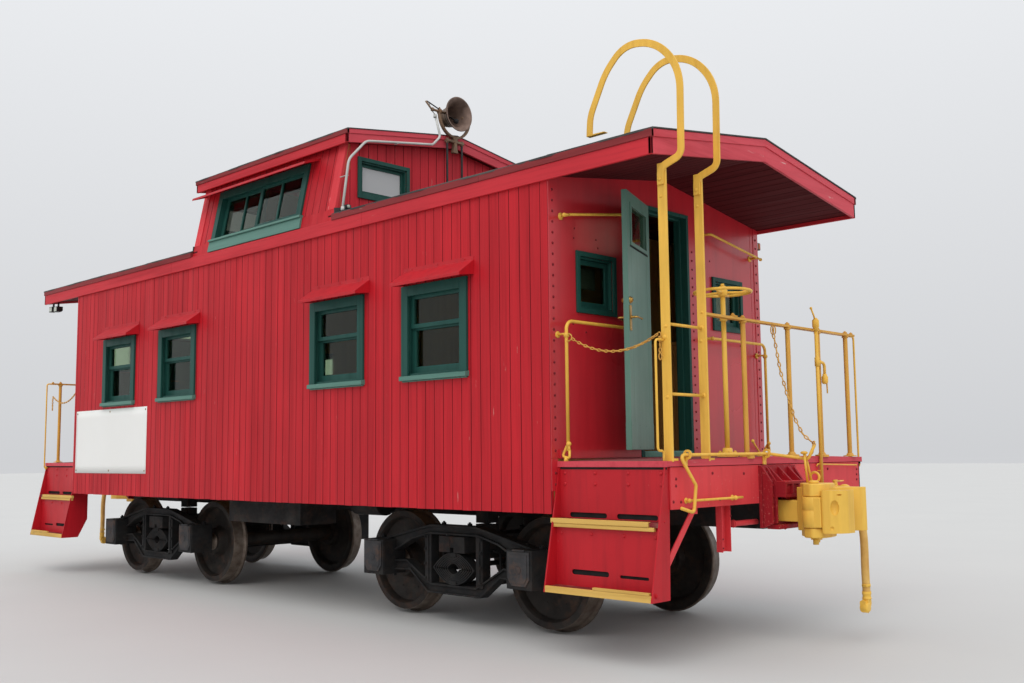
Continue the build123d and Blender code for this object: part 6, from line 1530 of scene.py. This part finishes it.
cock.bar(rounded([(4.951, 0.332, 1.1125), (4.951, 0.368, 1.1130), (4.951, 0.400, 1.1090), (4.951, 0.449, 1.1125)], 0.03, 4), 0.026, 0.0065, (1, 0, 0))
cock.both_ends().make("angle_cock_valves", "carbody", [YELLOW_CAST], "yellow_paint", ["angle_cocks"], 0.0016, 40, 2)

for end, label in ((1, "front"), (-1, "rear")):
    e = end
    turn = Matrix.Rotation(0 if e == 1 else math.pi, 4, "Z")
    curve = bpy.data.curves.new(f"{label}_air_hose_line", "CURVE")
    curve.dimensions = "3D"
    spline = curve.splines.new("NURBS")
    spline.points.add(len(HOSE) - 1)
    for point, (px, py, pz) in zip(spline.points, HOSE):
        point.co = (e * px, e * py, pz, 1)
    spline.order_u = 3
    spline.use_endpoint_u = True
    spline.resolution_u = 10
    curve.bevel_depth = 0.027
    curve.bevel_resolution = 6
    curve.use_fill_caps = True
    curve.materials.append(HOSE_MAT)
    hose = bpy.data.objects.new(f"{label}_air_hose", curve)
    bpy.context.scene.collection.objects.link(hose)
    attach(hose, "carbody")
    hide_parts(f"air_hose_{label}")
    # bands round the hose at both ends, with their lugs
    bands = Solid()
    for centre, direction, h in ((Vector((5.094, 0.3415, 0.9535)), Vector((0.453, 0.03, -0.891)), 0.020), (Vector((5.1475, 0.3518, 0.392)), Vector((0.012, 0.0, -1)), 0.020)):
        d = direction.normalized()
        bands.lathe([(-h / 2, 0.0274), (-h / 2, 0.0298), (h / 2, 0.0298), (h / 2, 0.0274)], centre, d, 28)
        out = d.cross(Vector((0, 1, 0))).normalized()
        c = centre + Vector((0, -0.030, 0))
        bands.rod(c + out * -0.006, c + out * 0.016, 0.0085, 10)
        bands.rod(c + out * 0.012, c + out * 0.021, 0.0105, 6)
    bands.moved(turn).make(f"{label}_hose_bands", "carbody", [YELLOW_CAST], "hose_yellow")
    # coupling: ferrule, body with its gasket face, and the hooked lip
    hand = Solid()
    x, y = 5.148, 0.352
    hand.lathe([(0.350, 0.0272), (0.352, 0.031), (0.332, 0.032), (0.328, 0.0285), (0.312, 0.0285), (0.308, 0.032), (0.300, 0.032), (0.296, 0.026), (0.285, 0.023)][::-1], (x, y, 0), (0, 0, 1), 24)
    hand.prism([(y + 0.022, 0.300), (y + 0.026, 0.268), (y + 0.008, 0.232), (y - 0.028, 0.2070), (y - 0.050, 0.214), (y - 0.053, 0.238), (y - 0.036, 0.250), (y - 0.026, 0.272), (y - 0.024, 0.300)], "X", x - 0.0215, x + 0.0215, 0)
    hand.lathe([(-0.027, 1e-5), (-0.027, 0.018), (-0.029, 0.019), (-0.029, 0.033), (-0.021, 0.036), (0.018, 0.036), (0.026, 0.028), (0.026, 1e-5)], (x, y - 0.022, 0.243), (1, 0, 0), 24)
    hand.prism([(x - 0.030, 0.262), (x + 0.010, 0.262), (x + 0.014, 0.286), (x - 0.012, 0.294), (x - 0.030, 0.284)], "Y", y - 0.050, y - 0.020, 0)
    coupling = hand.moved(turn).make(f"{label}_hose_coupling", "carbody", [YELLOW_CAST], "hose_yellow", [f"hose_coupling_{label}"], 0.0022, 40, 2)

# ------------------------------------------------------------------ bell, its stand and the pipe
bx, by, bz = 1.470, -0.065, 4.537
bell = Solid()
bell.lathe([(0.000, 0.166), (-0.008, 0.1655), (-0.014, 0.158), (-0.030, 0.1405), (-0.036, 0.1415), (-0.040, 0.1360), (-0.060, 0.1240), (-0.090, 0.1085), (-0.094, 0.1095), (-0.098, 0.1050), (-0.125, 0.098), (-0.160, 0.0920), (-0.190, 0.0830), (-0.215, 0.0690), (-0.228, 0.0430), (-0.235, 0.0250), (-0.235, 1e-5)], (bx, by, bz), (1, 0, 0), 56)
bell.lathe([(-0.222, 1e-5), (-0.216, 0.030), (-0.204, 0.058), (-0.154, 0.080), (-0.120, 0.0865), (-0.086, 0.096), (-0.050, 0.112), (-0.024, 0.128), (-0.008, 0.146), (0.000, 0.154), (0.0015, 0.160), (0.000, 0.166)], (bx, by, bz), (1, 0, 0), 56, 1)
bell.lathe([(-0.275, 1e-5), (-0.275, 0.017), (-0.266, 0.026), (-0.236, 0.026), (-0.230, 0.034)], (bx, by, bz), (1, 0, 0), 24)
bell.tube(rounded([(bx - 0.215, by, bz), (bx - 0.120, by, bz - 0.004), (bx - 0.052, by, bz - 0.052)], 0.05, 4), 0.0075, 10, 2)
bell.ball((bx - 0.046, by, bz - 0.060), 0.026, 2, 16)
bell.make("bell_casting", "carbody", [BRONZE, BRONZE_IN, BLACK_IRON], "bell_bronze", ["bell"])
yoke = Solid()
px = bx - 0.070
for s in (-1, 1):
    yoke.rod((px, by + s * 0.098, bz), (px, by + s * (0.205 if s == 1 else 0.290), bz), 0.0118, 16)
    yoke.rod((px, by + s * 0.168, bz), (px, by + s * 0.179, bz), 0.021, 16)
yoke.rod((px, by + 0.200, bz), (px, by + 0.2045, bz), 0.018, 6)
yoke.tube(rounded([(px, by - 0.284, bz), (px, by - 0.300, bz + 0.010), (px, by - 0.360, bz + 0.062)], 0.02, 4), 0.0090, 12)
yoke.lathe([(0.0, 0.012), (0.003, 0.019), (0.018, 0.019), (0.021, 0.012)], (px, by - 0.288, bz), (0, 1, 0), 16)
yoke.make("bell_pivots", "carbody", [STAND], "stand_iron")
stand = Solid()
bow = []
for k in range(25):
    # the bow's arc goes through its two tips and its foot
    t = math.radians((-1 + k / 12) * 94)
    bow.append((px, by + 0.1906 * math.sin(t), bz - 0.0129 - 0.2021 * math.cos(t)))
stand.bar(bow, 0.034, 0.022, (1, 0, 0), 0, 0.004)
for s in (-1, 1):
    stand.lathe([(-0.011, 0.0122), (-0.011, 0.024), (-0.008, 0.0295), (0.008, 0.0295), (0.011, 0.024), (0.011, 0.0122)], (px, by + s * 0.190, bz), (0, 1, 0), 24)
    stand.ball((px, by + s * 0.190, bz + 0.034), 0.0085, 0, 10)
stand.prism([(by - 0.030, 4.170), (by + 0.030, 4.170), (by + 0.018, 4.225), (by + 0.016, 4.262), (by + 0.024, 4.300), (by + 0.031, 4.332), (by - 0.031, 4.332), (by - 0.024, 4.300), (by - 0.016, 4.262), (by - 0.018, 4.225)], "X", px - 0.020, px + 0.020, 0)
stand.box(px - 0.022, px + 0.022, by - 0.108, by + 0.108, 4.2665, 4.2890, 0)
for yy in (by - 0.094, by + 0.094):
    foot = gable(yy, ROOF_TOP, ROOF_Y) + COVER_T + 0.004
    stand.rod((px, yy, foot), (px, yy, 4.266), 0.0108, 14, 1)
    stand.rod((px, yy, 4.289), (px, yy, 4.301), 0.0165, 6)
    stand.rod((px, yy, 4.2540), (px, yy, 4.2664), 0.0165, 6)
stand.make("bell_yoke_stand", "carbody", [STAND, BLACK_IRON], "stand_iron", ["bell_stand"], 0.0025, 45, 2)
pipe = Solid()
cx = CUP_X1 + 0.113
pipe.tube(rounded([(cx, -1.365, 3.415), (cx, -1.300, 3.880), (cx, -1.110, 4.080), (cx, -0.330, 4.205), (cx, -0.235, 4.300), (cx, -0.300, 4.500)], (0.160, 0.120, 0.060, 0.050), 9), 0.0112, 14)
for p, q in (((cx, -1.365, 3.415), (cx, -1.360, 3.450)), ((cx, -0.3005, 4.470), (cx, -0.300, 4.500))):
    pipe.rod(p, q, 0.0150, 14)
for y, z in ((-1.318, 3.745), (-0.760, 4.137)):
    pipe.box(CUP_X1 + 0.0865 if z > 4 else CUP_X1 + 0.022, cx + 0.012, y - 0.010, y + 0.010, z - 0.0145, z - 0.0105)
pipe.make("bell_air_pipe", "carbody", [CONDUIT], "conduit_white", ["conduit"])
pull = Solid()
pull.tube(rounded([(px, by - 0.345, 4.602), (px - 0.001, by - 0.300, 4.590), (px, by - 0.183, 4.553)], 0.02, 3), 0.0062, 10)
pull.tube([(px - 0.006, -0.372, 4.598), (px - 0.030, -0.352, 4.565), (cx, -0.3005, 4.498)], 0.0048, 8, 1)
pull.make("bell_pull_lever", "carbody", [STRAP, CONDUIT], "truck_steel")

# ------------------------------------------------------------------ lamps
lamp, glasses = Solid(), Solid()
for x, z in ((-4.560, 3.190), (-4.420, 3.180)):
    y = -1.330
    lamp.rod((x, y, z + 0.010), (x, y, z + 0.059), 0.0115, 12)
    lamp.prism([(y + 0.038, z - 0.040), (y + 0.038, z + 0.008), (y - 0.036, z + 0.008), (y - 0.039, z - 0.058), (y + 0.020, z - 0.058)], "X", x - 0.0445, x + 0.0445, 0)
    glasses.box(x - 0.036, x + 0.036, y - 0.0400, y - 0.0385, z - 0.050, z + 0.000, 0)
x, y, z = BODY_X - 0.060, 1.420, 3.160
lamp.rod((x, y, z + 0.008), (x, y, z + 0.059), 0.0115, 12)
for dy in (-0.022, 0.020):
    lamp.prism([(x - 0.034, z - 0.040), (x - 0.034, z + 0.008), (x + 0.040, z + 0.008), (x + 0.043, z - 0.058), (x - 0.020, z - 0.058)], "Y", y + dy - 0.0185, y + dy + 0.0185, 0)
    glasses.box(x + 0.0425, x + 0.0445, y + dy - 0.0155, y + dy + 0.0155, z - 0.050, z + 0.000, 0 if dy < 0 else 1)
z = gable(1.255, ROOF_TOP, ROOF_Y) + COVER_T
lamp.prism([(-1.317, z + 0.024), (-1.317, z + 0.052), (-1.300, z + 0.0595), (-1.270, z + 0.0595), (-1.256, z + 0.052), (-1.256, z + 0.024)], "X", 1.3255, 1.3715, 0)
lamp.box(1.336, 1.362, -1.310, -1.264, z + 0.0065, z + 0.0240, 0)
glasses.lathe([(0.0, 0.016), (0.004, 0.0155), (0.009, 0.010), (0.0115, 1e-5)], (1.3715, -1.287, z + 0.040), (1, 0, 0), 16, 0)
lamp.make("lamp_housings", "carbody", [LAMP_BLACK], "lamp_black", ["floodlights"], 0.003, 40, 2)
glasses.make("lamp_glasses", "carbody", [LAMP_LENS, LAMP_AMBER], "lamp_black")

# ------------------------------------------------------------------ blank sign panel with its fixings
sheet_, fix = Solid(), Solid()
sx0, sx1, sz0, sz1 = -3.700, -1.990, 1.160, 1.870
n = 34
verts = []
for i in range(n + 1):
    u = sx0 + (sx1 - sx0) * i / n
    for k in range(9):
        t = k / 8
        v = sz0 + (sz1 - sz0) * t
        bow_ = 0.0012 * math.sin(u * 3.1 + v * 2.0) * min(1, 6 * min(t, 1 - t))
        verts.append((u, -BODY_Y - 0.0032 - bow_, v))
faces = [[i * 9 + k, (i + 1) * 9 + k, (i + 1) * 9 + k + 1, i * 9 + k + 1] for i in range(n) for k in range(8)]
sheet_.add(verts, faces, 0, True)
panel_obj = sheet_.make("side_sign", "carbody", [SIGN], "sign_white", ["sign_panel"])
thick = panel_obj.modifiers.new("sheet", "SOLIDIFY")
thick.thickness, thick.offset = 0.0022, 0
for x, z in ((sx0 + 0.03, sz0 + 0.03), (sx1 - 0.03, sz0 + 0.03), (sx0 + 0.03, sz1 - 0.03), (sx1 - 0.03, sz1 - 0.03), ((sx0 + sx1) / 2, sz1 - 0.03), ((sx0 + sx1) / 2, sz0 + 0.03)):
    fix.lathe([(0.0, 0.011), (0.0014, 0.0105), (0.0016, 0.0060), (0.0004, 0.0055)], (x, -BODY_Y - 0.0044, z), (0, -1, 0), 16, 0)
    fix.rivet((x, -BODY_Y - 0.0046, z), (0, -1, 0), 0.0048, 1, 8)
fix.make("side_sign_grommets", "carbody", [GROMMET, BLACK_IRON], "brass")

# ------------------------------------------------------------------ seen through the windows
inside = Solid()
for y0, y1 in ((0.700, 1.040),):
    z = 2.372
    while z < 2.745:
        inside.prism([(BODY_X - 0.098, z), (BODY_X - 0.080, z + 0.010), (BODY_X - 0.080, z + 0.0112), (BODY_X - 0.098, z + 0.0012)], "Y", y0, y1, 0)
        z += 0.0155
for y0, y1 in ((-1.035, -0.690),):
    inside.box(BODY_X - 0.096, BODY_X - 0.086, y0 + 0.05, y1 - 0.08, 2.520, 2.680, 1)
inside.make("end_window_blinds", "carbody", [BLIND, BLIND_DIM], "sign_white")

# ------------------------------------------------------------------ trucks
for label, xc in (("front", TRUCK_X), ("rear", -TRUCK_X)):
    body = f"{label}_truck"
    side = Solid()
    trim_ = Solid()
    for s in (-1, 1):
        y0, y1 = sorted((s * 0.928, s * 1.028))
        # arch: an I-section of web and flanges
        top = [(-0.965, 0.612), (-0.500, 0.722), (-0.260, 0.774), (0.260, 0.774), (0.500, 0.722), (0.965, 0.612)]
        low = [(-0.940, 0.532), (-0.700, 0.547), (-0.500, 0.642), (-0.280, 0.696), (0.280, 0.696), (0.500, 0.642), (0.700, 0.547), (0.940, 0.532)]
        side.prism([(xc + a, b) for a, b in top] + [(xc + a, b) for a, b in low[::-1]], "Y", s * 0.950, s * 1.006, 0)
        for line in (top, low):
            shift = -0.009 if line is top else 0.009
            side.sweep([(xc + a, s * 0.978, b + shift) for a, b in line], [(-0.050, -0.009), (0.050, -0.009), (0.050, 0.009), (-0.050, 0.009)], (0, 0, 1), 0, False)
        # bottom chord
        low = [(-0.955, 0.372), (-0.520, 0.396), (-0.300, 0.232), (0.300, 0.232), (0.520, 0.396), (0.955, 0.372)]
        top = [(-0.950, 0.453), (-0.560, 0.478), (-0.260, 0.310), (0.260, 0.310), (0.560, 0.478), (0.950, 0.453)]
        side.prism([(xc + a, b) for a, b in low] + [(xc + a, b) for a, b in top[::-1]], "Y", s * 0.952, s * 1.004, 0)
        for line, shift in ((low, 0.008), (top, -0.008)):
            side.sweep([(xc + a, s * 0.978, b + shift) for a, b in line], [(-0.048, -0.008), (0.048, -0.008), (0.048, 0.008), (-0.048, 0.008)], (0, 0, 1), 0, False)
        for dx in (-0.295, 0.295):
            side.box(xc + dx - 0.038, xc + dx + 0.038, s * 0.935, s * 1.022, 0.305, 0.706, 0)
            side.box(xc + dx - 0.012, xc + dx + 0.012, s * 1.0222, s * 1.0300, 0.330, 0.690, 0)
            for z in (0.345, 0.460, 0.575, 0.675):
                trim_.hexhead((xc + dx + (0.024 if dx > 0 else -0.024), s * 1.022, z), (0, s, 0), 0.012, 0.009)
        # journal boxes with lids
        for dx in (-HALF_BASE, HALF_BASE):
            x = xc + dx
            # walls of the box, open inward round the journal
            side.box(x - 0.128, x - 0.094, s * 0.907, s * 1.138, 0.352, 0.636, 0)
            side.box(x + 0.094, x + 0.128, s * 0.907, s * 1.138, 0.352, 0.636, 0)
            side.box(x - 0.0938, x + 0.0938, s * 0.907, s * 1.138, 0.6060, 0.636, 0)
            side.box(x - 0.0938, x + 0.0938, s * 0.907, s * 1.138, 0.352, 0.3610, 0)
            side.box(x - 0.058, x + 0.058, s * 0.927, s * 1.028, AXLE_Z + 0.068, 0.6058, 0)
            side.box(x - 0.127, x + 0.127, s * 1.1382, s * 1.1480, 0.352, 0.636, 0)
            # lid with slanted foot, boss and spring
            lid = [(x - 0.108, 0.622), (x + 0.108, 0.622), (x + 0.108, 0.430), (x + 0.070, 0.378), (x - 0.070, 0.378), (x - 0.108, 0.430)]
            trim_.prism(lid, "Y", *sorted((s * 1.1482, s * 1.1570)), 1)
            inner = [(x - 0.088, 0.604), (x + 0.088, 0.604), (x + 0.088, 0.438), (x + 0.060, 0.398), (x - 0.060, 0.398), (x - 0.088, 0.438)]
            trim_.prism(inner, "Y", *sorted((s * 1.1572, s * 1.1610)), 1)
            trim_.lathe([(0.0, 0.030), (0.003, 0.030), (0.004, 0.020), (0.004, 1e-5)], (x, s * 1.1608, 0.493), (0, s, 0), 20, 1)
            trim_.rod((x - 0.060, s * 1.150, 0.632), (x + 0.060, s * 1.150, 0.632), 0.0085, 12, 1)
            for xx in (x - 0.075, x + 0.075):
                trim_.hexhead((xx, s * 0.978, 0.636), (0, 0, 1), 0.020, 0.018)
                trim_.rod((xx, s * 0.978, 0.330), (xx, s * 0.978, 0.3515), 0.015, 6)
        # plates and bolts on the column over the bolster
        for dx in (-0.150, 0.150):
            trim_.hexhead((xc + dx, s * 0.978, 0.774), (0, 0, 1), 0.018, 0.014)
    side.make(f"{label}_side_castings", body, [TRUCK], "truck_steel", [f"truck_side_frames_{label}"], 0.004, 40, 2)
    trim_.make(f"{label}_truck_fittings", body, [TRUCK, BOX_LID], "truck_steel", (), 0.0012)

    leaves = Solid()
    for s in (-1, 1):
        for k in range(7):
            # stacked elliptic leaves, upper half bowed up and lower half bowed down
            reach = 0.228 - 0.026 * k
            for way in (1, -1):
                zc = 0.436
                path = []
                for q in range(13):
                    t = -1 + q / 6
                    rise = (0.118 - 0.0125 * k) * (1 - t * t) + 0.004
                    path.append((xc + reach * t, s * 0.978, zc + way * max(rise, 0.004)))
                leaves.sweep(path, [(-0.042, -0.0052), (0.042, -0.0052), (0.042, 0.0052), (-0.042, 0.0052)], (0, 0, 1), 0, False)
        for way in (1, -1):
            leaves.box(xc - 0.035, xc + 0.035, s * 0.930, s * 1.026, 0.436 + way * 0.094, 0.436 + way * 0.1235, 0)
        for e in (-1, 1):
            leaves.rod((xc + e * 0.226, s * 0.935, 0.436), (xc + e * 0.226, s * 1.021, 0.436), 0.011, 12)
    leaves.make(f"{label}_leaf_springs", body, [TRUCK], "truck_steel", [f"truck_springs_{label}"], 0.001)

    beam = Solid()
    beam.prism([(-1.038, 0.562), (-0.900, 0.562), (-0.600, 0.532), (0.600, 0.532), (0.900, 0.562), (1.038, 0.562), (1.038, 0.688), (-1.038, 0.688)], "X", xc - 0.148, xc - 0.020, 0)
    beam.prism([(-1.038, 0.562), (-0.900, 0.562), (-0.600, 0.532), (0.600, 0.532), (0.900, 0.562), (1.038, 0.562), (1.038, 0.688), (-1.038, 0.688)], "X", xc + 0.020, xc + 0.148, 0)
    beam.box(xc - 0.0198, xc + 0.0198, -1.037, -0.060, 0.600, 0.687, 0)
    beam.box(xc - 0.0198, xc + 0.0198, 0.060, 1.037, 0.600, 0.687, 0)
    beam.lathe([(0.682, 0.185), (0.720, 0.185), (0.720, 0.156), (0.703, 0.153), (0.703, 0.028)], (xc, 0, 0), (0, 0, 1), 40)
    for y in (-0.640, 0.640):
        beam.box(xc - 0.078, xc + 0.078, y - 0.058, y + 0.058, 0.6882, 0.766, 0)
    beam.box(xc - 0.150, xc + 0.150, -0.924, 0.924, 0.290, 0.306, 0)
    beam.make(f"{label}_bolster_casting", body, [UNDER], "truck_steel", [f"truck_bolster_{label}"], 0.004, 40, 2)

    gear = Solid()
    for s in (-1, 1):
        xb = xc + s * 0.340
        gear.rod((xb, -0.860, 0.400), (xb, 0.860, 0.400), 0.0218, 16)
        for t in (-1, 1):
            gear.rod((xb, t * 0.700, 0.400), (xb - s * 0.070, 0, 0.400), 0.0158, 12)
            # shoe: an arc that follows the tread
            shoe = []
            for q in range(7):
                a = math.radians(180 - 13 + q * 4.4) if s == 1 else math.radians(13 - q * 4.4)
                shoe.append((xc + s * HALF_BASE + 0.457 * math.cos(a), AXLE_Z + 0.457 * math.sin(a)))
            for q in range(6, -1, -1):
                a = math.radians(180 - 13 + q * 4.4) if s == 1 else math.radians(13 - q * 4.4)
                shoe.append((xc + s * HALF_BASE + 0.495 * math.cos(a), AXLE_Z + 0.495 * math.sin(a)))
            gear.prism(shoe, "Y", t * 0.749 - 0.040, t * 0.749 + 0.040, 0)
            gear.box(xb - 0.028, xb + 0.012, t * 0.749 - 0.026, t * 0.749 + 0.026, 0.374, 0.436, 0)
            # hanger up towards the frame
            gear.tube(rounded([(xb - s * 0.010, t * 0.820, 0.405), (xb - s * 0.016, t * 0.820, 0.560), (xb - s * 0.016, t * 0.900, 0.590)], 0.02, 3), 0.0095, 10)
        gear.box(xb - s * 0.070 - 0.016, xb - s * 0.070 + 0.016, -0.030, 0.030, 0.384, 0.416, 0)
    gear.make(f"{label}_brake_rigging", body, [TRUCK], "truck_steel", [f"brake_beams_{label}"], 0.0012)

# ------------------------------------------------------------------ wheelsets
BACK = 0.6765
for number, xw in ((1, TRUCK_X + HALF_BASE), (2, TRUCK_X - HALF_BASE), (3, -TRUCK_X + HALF_BASE), (4, -TRUCK_X - HALF_BASE)):
    wheel = Solid()
    for s in (-1, 1):
        inner = [(BACK - 0.025, 0.088), (BACK - 0.025, 0.131), (BACK - 0.021, 0.135), (BACK + 0.030, 0.150), (BACK + 0.040, 0.200), (BACK + 0.050, 0.300), (BACK + 0.048, 0.335), (BACK + 0.004, 0.360), (BACK, 0.366), (BACK, 0.433)]
        flange = [(BACK, 0.433), (BACK + 0.004, 0.4425), (BACK + 0.010, 0.445), (BACK + 0.022, 0.445), (BACK + 0.029, 0.439), (BACK + 0.034, 0.427), (BACK + 0.042, 0.4205)]
        tread = [(BACK + 0.042, 0.4205), (BACK + 0.138, 0.4150), (BACK + 0.1455, 0.4100)]
        outer = [(BACK + 0.1455, 0.4100), (BACK + 0.146, 0.3640), (BACK + 0.140, 0.3580), (BACK + 0.088, 0.3440), (BACK + 0.078, 0.3300), (BACK + 0.064, 0.2400), (BACK + 0.070, 0.1600), (BACK + 0.090, 0.1440), (BACK + 0.146, 0.1350), (BACK + 0.150, 0.1310), (BACK + 0.150, 0.088)]
        for profile, mat in ((inner, 0), (flange, 1), (tread, 1), (outer, 0)):
            wheel.lathe([(s * a, r) for a, r in profile], (xw, 0, AXLE_Z), (0, 1, 0), 64, mat)
        for k in range(8):
            a = math.radians(22.5 + 45 * k)
            c, d = math.cos(a), math.sin(a)
            if s == -1 or k % 2:
                wheel.rod((xw + 0.250 * c, s * (BACK + 0.060), AXLE_Z + 0.250 * d), (xw + 0.250 * c, s * (BACK + 0.070), AXLE_Z + 0.250 * d), 0.007, 8, 0)
        wheel.lathe([(s * (BACK + 0.150), 0.090), (s * (BACK + 0.170), 0.072), (s * 0.900, 0.066), (s * 0.918, 0.0635), (s * 1.045, 0.0635), (s * 1.050, 0.0718), (s * 1.066, 0.0718), (s * 1.068, 0.060), (s * 1.068, 1e-5)], (xw, 0, AXLE_Z), (0, 1, 0), 32, 2)
        wheel.lathe([(0.0, 0.0700), (s * 0.300, 0.0740), (s * (BACK - 0.040), 0.084), (s * (BACK - 0.025), 0.090)], (xw, 0, AXLE_Z), (0, 1, 0), 32, 0)
    piece = wheel.make(f"wheels_on_axle_{number}", f"wheelset_{number}", [WHEEL, TREAD_STEEL, TREAD_STEEL], "wheel_steel", [f"wheelset_{number}"])
    bm = bmesh.new()
    bm.from_mesh(piece.data)
    bmesh.ops.remove_doubles(bm, verts=bm.verts, dist=2e-5)
    bmesh.ops.recalc_face_normals(bm, faces=bm.faces)
    bm.to_mesh(piece.data)
    bm.free()
    mod = piece.modifiers.new("flat_edges", "EDGE_SPLIT")
    mod.split_angle = math.radians(38)

# ------------------------------------------------------------------ camera, floor, light
bpy.context.view_layer.update()
cam_data = bpy.data.cameras.new("camera")
cam_data.sensor_width = 36.0
cam_data.lens = 1069.321 / 1024 * 36.0
cam_data.clip_end = 300
camera = bpy.data.objects.new("camera", cam_data)
bpy.context.scene.collection.objects.link(camera)
yaw, pitch, roll = 0.7703595, 0.1038604, -0.0107573
fwd = Vector((-math.sin(yaw) * math.cos(pitch), math.cos(yaw) * math.cos(pitch), math.sin(pitch)))
right = Vector((math.cos(yaw), math.sin(yaw), 0))
up = right.cross(fwd)
r2 = right * math.cos(roll) + up * math.sin(roll)
u2 = right * -math.sin(roll) + up * math.cos(roll)
camera.matrix_world = Matrix((
    (r2.x, u2.x, -fwd.x, 8.679612),
    (r2.y, u2.y, -fwd.y, -6.810943),
    (r2.z, u2.z, -fwd.z, 1.336340),
    (0, 0, 0, 1),
))
bpy.context.scene.camera = camera

ground = bpy.data.meshes.new("studio_floor")
ground.from_pydata([(-90, -90, -0.002), (90, -90, -0.002), (90, 90, -0.002), (-90, 90, -0.002)], [], [(0, 1, 2, 3)])
floor_obj = bpy.data.objects.new("studio_floor", ground)
bpy.context.scene.collection.objects.link(floor_obj)
m = Mat("studio_floor_paint", 0.7)
ground.materials.append(m.done(m.mix(m.noise(0.6, 3), srgb(206, 206, 204), srgb(200, 200, 199))))

world = bpy.data.worlds.new("studio")
bpy.context.scene.world = world
world.use_nodes = True
tree = world.node_tree
back = tree.nodes["Background"]
coord = tree.nodes.new("ShaderNodeTexCoord")
sep = tree.nodes.new("ShaderNodeSeparateXYZ")
ramp = tree.nodes.new("ShaderNodeValToRGB")
tree.links.new(coord.outputs["Generated"], sep.inputs[0])
tree.links.new(sep.outputs["Z"], ramp.inputs["Fac"])
ramp.color_ramp.elements[0].position, ramp.color_ramp.elements[0].color = 0.0, (0.66, 0.67, 0.69, 1)
ramp.color_ramp.elements[1].position, ramp.color_ramp.elements[1].color = 0.55, (0.95, 0.97, 1.0, 1)
tree.links.new(ramp.outputs["Color"], back.inputs["Color"])
back.inputs["Strength"].default_value = 0.95
sun = bpy.data.lights.new("key", "SUN")
sun.energy, sun.angle, sun.color = 1.1, math.radians(50), (1.0, 0.97, 0.93)
sun_obj = bpy.data.objects.new("key", sun)
sun_obj.rotation_euler = (Vector((0, 0, 1)).rotation_difference(Vector((0.42, -0.62, 0.9)).normalized())).to_euler()
bpy.context.scene.collection.objects.link(sun_obj)
bpy.context.scene.view_settings.view_transform = "Standard"
